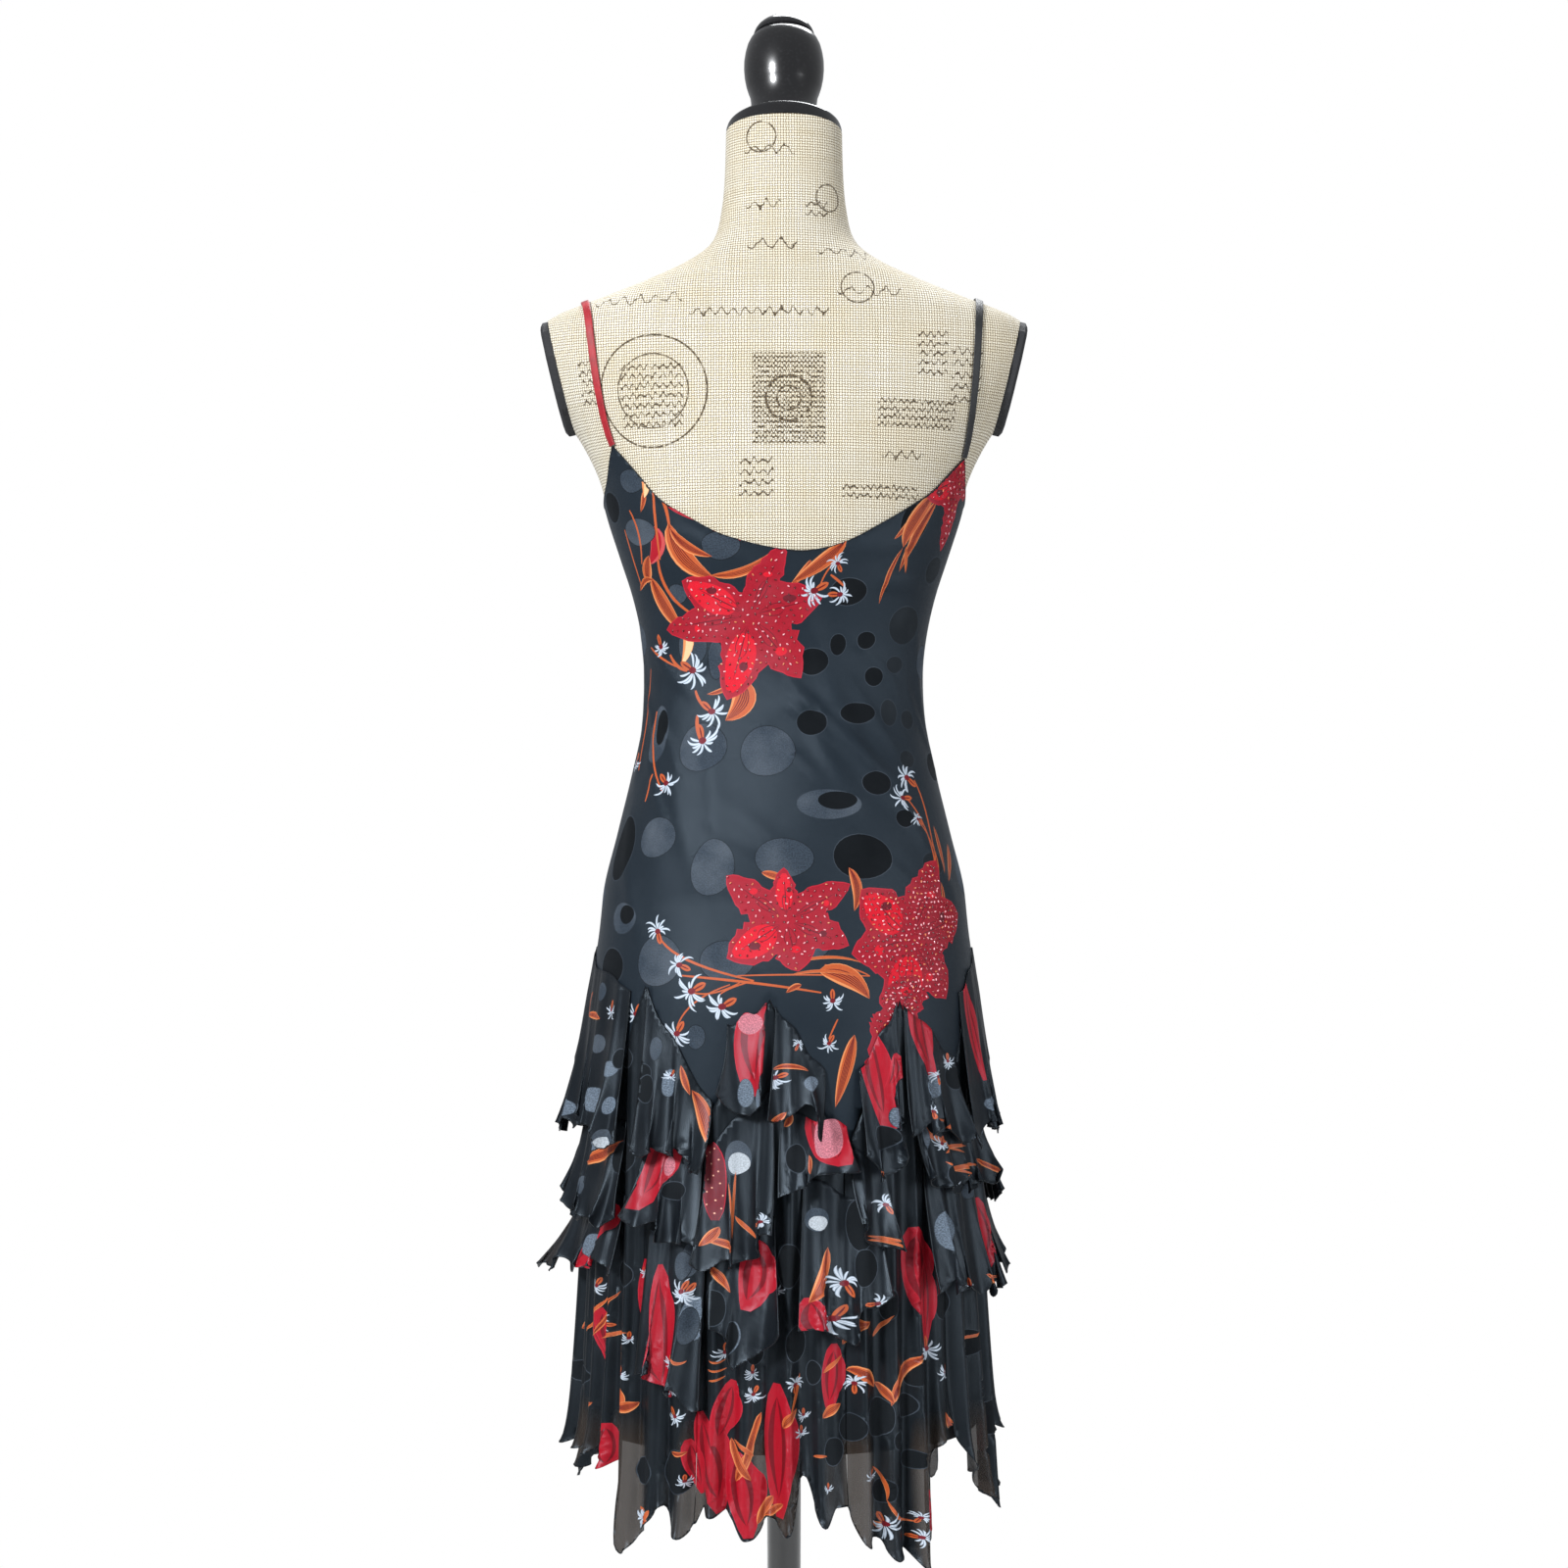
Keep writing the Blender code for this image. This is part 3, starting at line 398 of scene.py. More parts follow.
def build_strokes():
    group, given, end = new_group(
        "wavy strokes", (("Place", VECTOR, None), ("Corner", VECTOR, (0, 0, 0)),
                         ("Width", FLOAT, 0.05), ("Height", FLOAT, 0.02), ("Pitch", FLOAT, 0.007)),
        (("Mask", FLOAT),))
    local = vector(group, "SUBTRACT", given["Place"], given["Corner"])
    x, y, _ = add(group, "SeparateXYZ", Vector=local).outputs
    quick = calc(group, "SINE", calc(group, "DIVIDE", calc(group, "MULTIPLY", x, 7.5),
                                     given["Pitch"]))
    swell = spread(group, noise(group, local, 120.0, 1.0), 0.35, 0.7, 0.08, 0.42)
    tall = calc(group, "MULTIPLY", given["Pitch"], swell)
    line = calc(group, "ADD", y, calc(group, "MULTIPLY", quick, tall))
    phase = calc(group, "FRACT", calc(group, "DIVIDE", line, given["Pitch"]))
    off = calc(group, "MULTIPLY", calc(group, "ABSOLUTE", calc(group, "SUBTRACT", phase, 0.5)),
               given["Pitch"])
    inside = [calc(group, "MULTIPLY", spread(group, at, 0.0, INK_FADE),
                   spread(group, calc(group, "SUBTRACT", size, at), 0.0, INK_FADE))
              for at, size in ((x, given["Width"]), (y, given["Height"]))]
    feed(group, end, Mask=calc(group, "MULTIPLY", spread(group, off, 0.0012, 0.0006),
                               calc(group, "MULTIPLY", *inside)))
    return group


ring_group = build_ring()
stroke_group = build_strokes()
# Rings: metres right of the middle of the back, height, radius, half width of the line.
# Rows of strokes: left end, bottom height, width, height, pitch of the rows.
INK_RINGS = ((-0.111, 1.354, 0.047, 0.0007), (-0.111, 1.354, 0.031, 0.0005),
             (0.004, 1.346, 0.019, 0.0010), (0.004, 1.346, 0.010, 0.0008),
             (-0.020, 1.578, 0.013, 0.0006), (0.040, 1.526, 0.012, 0.0006),
             (0.062, 1.442, 0.014, 0.0006))
INK_STROKES = ((-0.027, 1.307, 0.062, 0.078, 0.0042), (-0.036, 1.560, 0.046, 0.016, 0.0160),
               (-0.034, 1.512, 0.032, 0.013, 0.0130), (0.018, 1.506, 0.022, 0.018, 0.0090),
               (-0.032, 1.472, 0.044, 0.020, 0.0200), (0.028, 1.468, 0.058, 0.016, 0.0160),
               (-0.165, 1.424, 0.080, 0.018, 0.0180), (-0.080, 1.414, 0.118, 0.012, 0.0120),
               (0.044, 1.430, 0.056, 0.018, 0.0180), (-0.140, 1.322, 0.056, 0.056, 0.0080),
               (0.112, 1.366, 0.028, 0.040, 0.0080), (0.078, 1.322, 0.072, 0.026, 0.0065),
               (0.082, 1.294, 0.040, 0.012, 0.0120), (-0.038, 1.262, 0.030, 0.036, 0.0090),
               (0.142, 1.344, 0.030, 0.050, 0.0100), (-0.180, 1.344, 0.020, 0.040, 0.0080),
               (0.048, 1.262, 0.070, 0.014, 0.0070))
print(len(INK_RINGS), "rings and", len(INK_STROKES), "rows of strokes")

# %% [markdown]
# ## The jute cover
# The torso is a padded form under coarse natural cloth. The solid is a faceted stand-in, so a fine
# cover is lofted through the same sections and cut flat at the neck and the arms. Its UV map is in
# metres along the cloth, measured from the middle of the back and of the front, so the threads keep
# their pitch and the two panels meet at side seams.

# %% Jute material
JUTE_THREADS = 430.0      # in a metre
DULL_THREAD, PALE_THREAD, WARM_THREAD = (222, 214, 190), (252, 249, 236), (228, 212, 174)
# The gap colour is painted shade: it darkens the weave where it is low, between the threads and
# where one dips under another.
JUTE_GAP_SHADE, INK = (112, 90, 56), (30, 28, 27)


def build_jute():
    material, tree, shader = new_material("jute")
    place = add(tree, "UVMap", {"uv_map": "cloth"}).outputs[0]
    weave = use(tree, weave_group, Place=place, Threads=JUTE_THREADS, Wobble=0.40)
    thread = blend(tree, spread(tree, weave["Thread"], 0.25, 0.75), linear(DULL_THREAD),
                   linear(PALE_THREAD))
    patch = spread(tree, noise(tree, place, 18.0), 0.35, 0.65, 0.0, 0.30)
    warm = blend(tree, patch, thread, linear(WARM_THREAD))
    marks = [use(tree, ring_group, Place=place, Centre=(x, height, 0.0), Radius=radius, Line=line)
             for x, height, radius, line in INK_RINGS]
    marks += [use(tree, stroke_group, Place=place, Corner=(x, height, 0.0), Width=width,
                  Height=tall, Pitch=pitch) for x, height, width, tall, pitch in INK_STROKES]
    mask = 0.0
    for mark in marks:
        mask = calc(tree, "MAXIMUM", mask, mark["Mask"])
    dry = spread(tree, noise(tree, place, 260.0, 3.0), 0.33, 0.47, 0.0, 0.98)
    inked = blend(tree, calc(tree, "MULTIPLY", mask, dry), warm, linear(INK))
    # Painted shade: the lower the weave, the closer the colour comes to the gap shade.
    low = spread(tree, weave["Height"], 0.84, 0.46, 0.0, 0.90)
    feed(tree, shader, Base_Color=blend(tree, low, inked, linear(JUTE_GAP_SHADE)), Roughness=0.92,
         Sheen_Weight=0.15, Normal=relief(tree, 0.8, 0.0006, weave["Height"]))
    return material


jute = build_jute()
print("jute of", len(jute.node_tree.nodes), "nodes")

# %% Torso cover
NECK_CUT = (0.0, 0.0135, 1.5840)
NECK_TILT = math.radians(15.0)
ARM_CUT_X, ARM_CUT_Z, ARM_TILT = 0.1990, 1.4080, math.radians(13.0)
TORSO_COLUMNS = 144
TORSO_STEP = 0.006
SMOOTH_ANGLE, SOFT_ANGLE = 40.0, 60.0     # below which an edge is shaded smooth


def on_root(name, mesh):
    """An object of a mesh, in the scene and on the part's only body."""
    made = bpy.data.objects.new(name, mesh)
    bpy.context.scene.collection.objects.link(made)
    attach(made, "root")
    return made


def finish_mesh(name, mesh_bm, material, angle=SMOOTH_ANGLE):
    bmesh.ops.recalc_face_normals(mesh_bm, faces=mesh_bm.faces[:])
    mesh = bpy.data.meshes.new(name)
    mesh_bm.to_mesh(mesh)
    mesh_bm.free()
    mesh.materials.append(material)
    mesh.shade_smooth()
    mesh.set_sharp_from_angle(angle=math.radians(angle))
    made = on_root(name, mesh)
    return made


def loft(mesh_bm, points, uv_at):
    """Faces between closed rings of points. uv_at gives a corner's place on the cloth."""
    layers = mesh_bm.loops.layers.uv
    uv_layer = layers.get("cloth") or layers.new("cloth")
    rings = [[mesh_bm.verts.new(point) for point in row] for row in points]
    count = len(rings[0])
    for j in range(len(rings) - 1):
        for i in range(count):
            k = (i + 1) % count
            face = mesh_bm.faces.new((rings[j][i], rings[j][k], rings[j + 1][k], rings[j + 1][i]))
            for loop, row, column in zip(face.loops, (j, j, j + 1, j + 1), (i, i + 1, i + 1, i)):
                loop[uv_layer].uv = uv_at(row, column, i)
    return rings


def close_ends(mesh_bm, rings):
    mesh_bm.faces.new(rings[0][::-1])
    mesh_bm.faces.new(rings[-1])


def build_torso():
    low, high = FORM_ROWS[0][0], FORM_ROWS[-1][0]
    heights = np.linspace(low, high, round((high - low) / TORSO_STEP) + 1)
    bearings = np.arange(TORSO_COLUMNS) * 360.0 / TORSO_COLUMNS
    points = ring(form_section(heights[:, None]), bearings[None, :], heights[:, None])
    steps = np.linalg.norm(np.roll(points, -1, axis=1) - points, axis=2)
    along = np.concatenate((np.zeros((len(heights), 1)), np.cumsum(steps, axis=1)), axis=1)
    quarter = TORSO_COLUMNS // 4

    def uv_at(row, column, i):
        middle = 0 if i < quarter else 2 * quarter if i < 3 * quarter else -1
        return along[row, column] - along[row, middle], heights[row]
    mesh_bm = bmesh.new()
    close_ends(mesh_bm, loft(mesh_bm, points, uv_at))
    cut_flat(mesh_bm, NECK_CUT, (0.0, math.sin(NECK_TILT), math.cos(NECK_TILT)))
    for side in (-1.0, 1.0):
        cut_flat(mesh_bm, (side * ARM_CUT_X, 0.0, ARM_CUT_Z),
                 (side * math.cos(ARM_TILT), 0.0, -math.sin(ARM_TILT)))
    return finish_mesh("jute_torso", mesh_bm, jute)


def cut_flat(mesh_bm, point, normal):
    """Cut the form above the bust along a plane and close the cut."""
    faces = [face for face in mesh_bm.faces if min(v.co.z for v in face.verts) > BUST_HEIGHT]
    edges = {edge for face in faces for edge in face.edges}
    verts = {vert for face in faces for vert in face.verts}
    cut = bmesh.ops.bisect_plane(mesh_bm, geom=list(verts) + list(edges) + faces, plane_co=point,
                                 plane_no=normal, clear_outer=True, dist=0.00001)
    edges = [item for item in cut["geom_cut"] if isinstance(item, bmesh.types.BMEdge)]
    bmesh.ops.edgeloop_fill(mesh_bm, edges=edges)


torso = build_torso()
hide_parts("torso")
print("torso cover with", len(torso.data.polygons), "faces")

# %% [markdown]
# ## Turned and painted parts
# The cap, finial, pole and base are turned wood under black lacquer. Each is modelled as on a
# lathe: a circle is filled, then extruded and scaled from one row of its outline to the next.
# The lacquer is smooth, with slight waves and dust in its gloss.

# %% Lacquer material
def build_lacquer():
    material, tree, shader = new_material("black_lacquer")
    place = add(tree, "TexCoord").outputs["Object"]
    wave = noise(tree, place, 26.0, 3.0)
    dust = spread(tree, noise(tree, place, 420.0, 4.0), 0.55, 0.80, 0.0, 0.5)
    feed(tree, shader, Roughness=spread(tree, wave, 0.3, 0.7, 0.16, 0.30), Coat_Weight=0.6,
         Base_Color=blend(tree, dust, (0.006, 0.006, 0.007, 1), (0.03, 0.03, 0.033, 1)),
         Coat_Roughness=0.08, Normal=relief(tree, 0.15, 0.0015, wave))
    return material


def build_trim():
    """The black cloth tape and card of the arm plates."""
    material, tree, shader = new_material("black_trim")
    place = add(tree, "TexCoord").outputs["Object"]
    weave = use(tree, weave_group, Place=place, Threads=1500.0, Wobble=0.3)
    black = blend(tree, weave["Thread"], (0.008, 0.008, 0.010, 1), (0.030, 0.031, 0.035, 1))
    feed(tree, shader, Base_Color=black, Roughness=0.78,
         Normal=relief(tree, 0.4, 0.0003, weave["Height"]))
    return material


lacquer = build_lacquer()
trim = build_trim()
for side in ("left", "right"):
    for holder in bpy.data.objects["arm_plate_" + side].material_slots:
        holder.material = trim
print("lacquer and trim ready")

# %% Turned parts
CAP_ROWS = ((0.0484, 0.0), (0.0505, 0.0020), (0.0505, 0.0110), (0.0498, 0.0132), (0.0480, 0.0146),
            (0.0420, 0.0156), (0.0300, 0.0165), (0.0080, 0.0170))
FINIAL_ROWS = ((0.0310, 0.0), (0.0310, 0.0070), (0.0298, 0.0110), (0.0290, 0.0160),
               (0.0288, 0.0215), (0.0298, 0.0290), (0.0316, 0.0340), (0.0332, 0.0395),
               (0.0346, 0.0470), (0.0352, 0.0545), (0.0351, 0.0620), (0.0340, 0.0700),
               (0.0324, 0.0765), (0.0302, 0.0815), (0.0276, 0.0846), (0.0256, 0.0853),
               (0.0256, 0.0866), (0.0266, 0.0872), (0.0267, 0.0892), (0.0256, 0.0920),
               (0.0238, 0.0948), (0.0212, 0.0974), (0.0178, 0.1000), (0.0140, 0.1019),
               (0.0095, 0.1033), (0.0040, 0.1040))
FINIAL_OFFSET, CAP_GAP = 0.0173, 0.0003
POLE_ROWS = ((0.0145, 0.0453), (0.0145, 0.8170), (0.0170, 0.8235), (0.0240, 0.8247),
             (0.0535, 0.8250), (0.0550, 0.8265), (0.0550, 0.8330), (0.0535, 0.8347))
BASE_ROWS = ((0.2150, 0.0), (0.2172, 0.0012), (0.2180, 0.0040), (0.2172, 0.0080), (0.2150, 0.0120),
             (0.2100, 0.0138), (0.2050, 0.0150), (0.2010, 0.0175), (0.1980, 0.0220),
             (0.1900, 0.0232), (0.0520, 0.0288), (0.0420, 0.0300), (0.0360, 0.0340),
             (0.0340, 0.0400), (0.0300, 0.0440), (0.0200, 0.0450))
TURNED_SIDES = 72


def turned(name, rows, tilt=0.0, place=(0.0, 0.0, 0.0)):
    """A turned piece: a filled circle, extruded and scaled row by row."""
    bpy.ops.object.select_all(action="DESELECT")
    radius, height = rows[0]
    bpy.ops.mesh.primitive_circle_add(vertices=TURNED_SIDES, radius=radius, fill_type="NGON",
                                      location=(0.0, 0.0, height))
    made = bpy.context.object
    made.name = name
    bpy.ops.object.transform_apply(location=True, rotation=False, scale=False)
    bpy.ops.object.mode_set(mode="EDIT")
    for next_radius, next_height in rows[1:]:
        bpy.ops.mesh.extrude_region_move(
            TRANSFORM_OT_translate={"value": (0.0, 0.0, next_height - height)})
        share = next_radius / radius
        bpy.ops.transform.resize(value=(share, share, 1.0), center_override=(0.0, 0.0, next_height))
        radius, height = next_radius, next_height
    bpy.ops.mesh.select_all(action="SELECT")
    bpy.ops.mesh.normals_make_consistent(inside=False)
    bpy.ops.object.mode_set(mode="OBJECT")
    made.rotation_euler = (-tilt, 0.0, 0.0)
    made.location = place
    bpy.ops.object.transform_apply(location=True, rotation=True, scale=False)
    bpy.ops.object.shade_smooth_by_angle(angle=math.radians(SMOOTH_ANGLE))
    made.data.materials.append(lacquer)
    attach(made, "root")
    return made


up = np.array((0.0, math.sin(NECK_TILT), math.cos(NECK_TILT)))
cap_place = np.array(NECK_CUT) + CAP_GAP * up
cap = turned("turned_cap", CAP_ROWS, NECK_TILT, cap_place)
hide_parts("neck_cap")
finial = turned("turned_finial", FINIAL_ROWS, NECK_TILT, cap_place + FINIAL_OFFSET * up)
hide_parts("finial")
pole = turned("turned_pole", POLE_ROWS)
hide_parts("pole")
base = turned("turned_base", BASE_ROWS)
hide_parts("base")
print("turned", cap.name, finial.name, pole.name, base.name)

# %% [markdown]
# ## The print
# The cloth is printed and partly burnt out, which leaves oval dots of pile. Every motif is built
# from a few shapes that any maker could draw: an oval, a blade that follows a curve, and groups of
# them for a leaf, a curled flower and a lily. A motif is a list of outlines in metres, each with
# the name of its paint, and later outlines lie over earlier ones.

# %% Paints
# Colour on a screen, then how much it is pile, how much it is heathered and how sheer it is
PAINTS = {
    "satin": ((27, 35, 43), 0.0, 0.0, 0.0),
    "chiffon": ((14, 18, 22), 0.0, 0.05, 1.0),
    "flounce": ((15, 19, 24), 0.0, 0.05, 1.0),
    # Painted sheen: the light pile paints below are pile painted as it looks where lit; velvet is
    # it in shade.
    "grey_pile_sheen": ((58, 69, 82), 0.1, 1.0, 0.0),
    "pale": ((116, 131, 148), 0.1, 1.0, 0.0),
    "white_dot": ((196, 204, 212), 0.1, 0.6, 0.0),
    "velvet": ((5, 5, 6), 1.0, 0.0, 0.0),
    "rim": ((54, 62, 72), 0.3, 0.6, 0.0),
    "grey_rim": ((13, 15, 18), 0.5, 0.1, 0.0),
    "dull": ((22, 26, 30), 0.5, 0.1, 0.0),
    "lily": ((168, 14, 36), 0.1, 0.25, 0.0),
    "lily_edge": ((186, 26, 46), 0.0, 0.1, 0.0),
    "lily_line": ((112, 8, 26), 0.0, 0.3, 0.1),
    "lily_bright": ((222, 14, 38), 0.4, 0.25, 0.0),
    "red": ((170, 14, 34), 0.0, 0.05, 0.15),
    # Painted shade: a darker red for the shade in folds across the red print.
    "red_fold_shade": ((116, 6, 20), 0.0, 0.05, 0.15),
    "deep": ((122, 10, 24), 0.2, 0.5, 0.10),
    "bead": ((236, 176, 150), 0.0, 0.0, 0.0),
    "leaf": ((196, 92, 44), 0.0, 0.2, 0.05),
    "leaf_light": ((228, 144, 88), 0.0, 0.1, 0.0),
    "cream": ((240, 200, 150), 0.0, 0.1, 0.0),
    "bud": ((206, 78, 78), 0.0, 0.2, 0.0),
    "vein": ((104, 20, 16), 0.0, 0.0, 0.0),
    "white": ((206, 216, 228), 0.0, 0.1, 0.0),
    "white_low": ((150, 164, 180), 0.0, 0.1, 0.0),
    "heart": ((112, 18, 28), 0.0, 0.0, 0.0),
    "pink": ((222, 132, 146), 0.3, 0.8, 0.0),
    "hem": ((9, 10, 12), 0.0, 0.0, 0.0),
    "binding": ((18, 20, 24), 0.0, 0.0, 0.0),
}
print(len(PAINTS), "paints")

# %% Small motifs
MM = 0.001                # metres in a millimetre
LILY_SEED, FLOWER_SEED, SKIRT_SEED, FLOUNCE_SEED = 10, 40, 70, 300    # of the first of each


def oval(paint, rx, ry, x=0.0, y=0.0, sides=26):
    turn = np.arange(sides) * 2.0 * math.pi / sides
    wobble = 1.0 + 0.025 * np.sin(2.0 * turn + 60.0 * rx) + 0.02 * np.sin(3.0 * turn + 90.0 * ry)
    return paint, np.stack((x + rx * wobble * np.cos(turn), y + ry * wobble * np.sin(turn)), -1)


def dot(kind, rx, ry):
    """An oval of pile with a thin paler rim, some of them half dull and half bright."""
    # The light ovals are pile painted light where it catches the light, a painted sheen over a
    # grainy heather, and velvet is the same pile in shade. Half and split dots carry a lit part and
    # a darker part, painted the same way.
    if kind == "half":
        return [oval("rim", rx + 0.0004, ry + 0.0004), oval("grey_pile_sheen", rx, ry),
                oval("velvet", 0.62 * rx, 0.62 * ry, 0.28 * rx, 0.26 * ry)]
    if kind == "split":
        return [oval("grey_pile_sheen", rx, ry), oval("white_dot", 0.8 * rx, 0.62 * ry, 0.1 * rx, -0.3 * ry)]
    rim = {"grey_pile_sheen": "grey_rim", "velvet": "rim", "dull": "rim", "pink": "lily_edge"}
    width = 0.0006 if kind in ("grey_pile_sheen", "velvet") else 0.0004
    return [oval(rim.get(kind, "grey_pile_sheen"), rx + width, ry + width), oval(kind, rx, ry)]


def blade(paint, start, bend, end, width, steps=11, blunt=0.0, side=0.0):
    """A pointed shape along a curve. blunt keeps its ends wide, side moves it off the curve."""
    start, bend, end = (np.asarray(point, dtype=float) for point in (start, bend, end))
    t = np.linspace(0.0, 1.0, steps)[:, None]
    middle = (1 - t) ** 2 * start + 2 * t * (1 - t) * bend + t ** 2 * end
    along = 2 * (1 - t) * (bend - start) + 2 * t * (end - bend)
    along = along / np.maximum(np.linalg.norm(along, axis=1, keepdims=True), 1e-9)
    across = np.stack((-along[:, 1], along[:, 0]), -1)
    wide = 0.5 * width * (blunt + (1.0 - blunt) * np.sin(math.pi * t ** 0.85) ** 0.75)
    middle = middle + side * wide * across
    upper = (middle + wide * across)[(0 if blunt else 1):(steps if blunt else steps - 1)]
    lower = (middle - wide * across)[::-1]
    return paint, np.concatenate((lower, upper))


NARROW_LEAF, WIDE_LEAF = 0.004, 0.008


def leaf(points, width):
    """A long leaf: its blade on a lighter edge, and fine dark veins, more of them on a wide one."""
    start, bend, end = points
    shapes = [blade("leaf_light", start, bend, end, width),
              blade("leaf", start, bend, end, 0.84 * width, side=0.1)]
    offsets = (-0.62, -0.3, 0.0, 0.3, 0.62) if width > WIDE_LEAF else (-0.5, 0.0, 0.5)
    for off in offsets if width > NARROW_LEAF else ():
        shapes.append(blade("vein", start, bend + off * 0.62 * width * turned_left(start, end), end,
                            0.035 * width + 0.0003, steps=10))
    return shapes


def turned_left(start, end):
    along = np.asarray(end, dtype=float) - np.asarray(start, dtype=float)
    return np.array((-along[1], along[0])) / max(np.linalg.norm(along), 1e-9)


FLOWER_PETALS = 11
FLOWER_FAN = 0.40         # radians from one petal to the next


def flower(radius, angle, seed):
    """A small flower from the side: curled narrow petals fan out of an orange calyx."""
    rng = np.random.default_rng(seed)
    stem = math.radians(angle)
    foot = np.array((math.cos(stem), math.sin(stem)))
    shapes = [blade("leaf", foot * 1.05 * radius, foot * 0.6 * radius, (0, 0), 0.42 * radius),
              blade("vein", foot * 0.9 * radius, foot * 0.5 * radius, (0, 0), 0.10 * radius)]
    half = FLOWER_PETALS // 2
    for k in rng.permutation(FLOWER_PETALS):
        turn = stem + math.pi + (k - half) * FLOWER_FAN + rng.uniform(-0.16, 0.16)
        long = radius * rng.uniform(0.55, 1.15)
        ahead = np.array((math.cos(turn), math.sin(turn)))
        curl = (0.42 if k > half else -0.42) * rng.uniform(0.3, 1.4) * long
        sideways = np.array((-ahead[1], ahead[0])) * curl
        start, bend, tip = 0.12 * long * ahead, 0.85 * long * ahead, long * 0.95 * ahead + sideways
        for paint, wide in (("white_low", 0.165), ("white", 0.095)):
            shapes.append(blade(paint, start, bend, tip, wide * radius, steps=8, blunt=0.1))
    shapes.append(oval("heart", 0.25 * radius, 0.20 * radius, *(0.06 * radius * foot), sides=10))
    return shapes


print("a flower has", len(flower(0.015, 0.0, 1)), "outlines")

# %% Lilies
PETAL_FULL, PETAL_LONG = 1.22, 1.13   # so that neighbours overlap near the heart
PETAL_PEAK = 0.355        # the highest value of the outline's curve
PETAL_STEPS = 18
RAGGED = 0.09


def petal(tip, width, grow, paint, seed=0):
    """A broad petal: a narrow foot, a pointed tip and a slightly ragged edge."""
    rng = np.random.default_rng(seed)
    tip = PETAL_LONG * np.asarray(tip, dtype=float)
    long = np.linalg.norm(tip)
    left = turned_left((0, 0), tip)
    t = np.linspace(0.0, 1.0, PETAL_STEPS)
    wide = 0.5 * PETAL_FULL * width * t ** 0.7 * (1.0 - t) ** 0.8 / PETAL_PEAK
    upper, lower = [wide * (1.0 + RAGGED * rng.normal(0, 1, len(t)))
                    + grow * np.sin(math.pi * t) ** 0.3 for _ in range(2)]
    far = 1.0 + grow / max(long, 1e-9)
    middle = (-0.15 + (far + 0.15) * t)[:, None] * tip + (0.12 * long * t * (1 - t))[:, None] * left
    return paint, np.concatenate(((middle - lower[:, None] * left)[:-1],
                                  (middle + upper[:, None] * left)[:0:-1]))


def lily(petals, seed):
    """A large lily from its petals' tips and widths: red petals on a paler edge, a bright blade on
    some of them, and thin dark lines and small ovals on all."""
    rng = np.random.default_rng(seed)
    middle = 0.30 * np.mean([np.hypot(x, y) for x, y, _ in petals])
    edges, fills = [[petal(row[:2], row[2], grow, paint, seed + k) for k, row in enumerate(petals)]
                    for grow, paint in ((0.0007, "lily_edge"), (-0.0001, "lily"))]
    shapes = edges + [oval("lily", 1.25 * middle, 1.1 * middle)] + fills
    for x, y, width in petals[1::4]:
        tip = np.array((x, y))
        bend = 0.6 * tip + 0.1 * width * turned_left((0, 0), tip)
        shapes.append(blade("lily_bright", 0.24 * tip, bend, 1.02 * tip, 0.78 * width, blunt=0.25))
    for k, (x, y, width) in enumerate(petals):
        tip = np.array((x, y))
        left = turned_left((0, 0), tip)
        for off in (-0.34, 0.0, 0.30):
            shapes.append(blade("lily_line", 0.12 * tip, 0.5 * tip + off * width * left,
                                (0.88 - abs(off)) * tip, 0.0007 if off else 0.0010))
        size = 0.13 * width
        place = 0.66 * tip + rng.uniform(-0.2, 0.2) * width * left
        shapes.append(oval("lily_line" if k % 2 else "lily_bright", size * rng.uniform(0.8, 1.5),
                           size * rng.uniform(0.7, 1.0), *place, sides=16))
    return shapes


def in_metres(petals):
    return [(MM * x, MM * y, MM * width) for x, y, width in petals]


def dots_of(rows):
    return [(bearing, height, dot(kind, MM * rx, MM * ry))
            for kind, bearing, height, rx, ry in rows]


def flowers_of(rows, seed):
    return [(bearing, height, flower(MM * radius, angle, seed + index))
            for index, (bearing, height, radius, angle) in enumerate(rows)]


print("a lily of one petal has", len(lily([(0.04, 0.0, 0.02)], 1)), "outlines")

# %% [markdown]
# ## Printed cloth
# A sheet is cut in its own flat plane first. Its grid of points and the outlines of the print are
# joined into one mesh there, so that the print is as sharp as its outlines and needs no picture.
# The flat mesh is then laid on the curved surface, given a thin wall with a rolled edge, and
# coloured corner by corner. Pile, heather and sheerness go into a second colour attribute.

# %% Flat meshes
CLOTH = 0.0007            # thickness of the satin
CHIFFON_CLOTH = 0.0005
CLOTH_OFF = 0.0003        # its inner side outside the surface that the solids share
ROLL = 0.0007             # how much thicker a rolled edge is
ROLL_WIDTH = 0.0014
ROLL_INWARD = 0.3         # the part of it on the inner side
EDGE_STEPS = (0.0, 0.0005, 0.0012, 0.0021)
EDGE_BAND = 0.0011        # width of the dark thread along a free edge
PROBE = 0.0003            # distance over which a surface's slope is read
LEAST_CUT = 0.31          # least area of a cut, as a share of the rectangle round it


def lay(place, flat):
    """Points of a surface and its outward directions at flat places."""
    u, v = flat[:, 0], flat[:, 1]
    across = place(u + PROBE, v) - place(u - PROBE, v)
    rise = place(u, v + PROBE) - place(u, v - PROBE)
    normal = np.cross(across, rise)
    normal /= np.maximum(np.linalg.norm(normal, axis=1, keepdims=True), 1e-12)
    return place(u, v), normal


def covered(points, outline):
    """Which points lie inside an outline, by counting the edges on their right."""
    x0, y0 = outline[:, 0], outline[:, 1]
    x1, y1 = np.roll(x0, -1), np.roll(y0, -1)
    x, y = points[:, :1], points[:, 1:]
    crosses = (y0 > y) != (y1 > y)
    at = x0 + (y - y0) * (x1 - x0) / np.where(y1 == y0, 1.0, y1 - y0)
    return (crosses & (at > x)).sum(axis=1) % 2 == 1


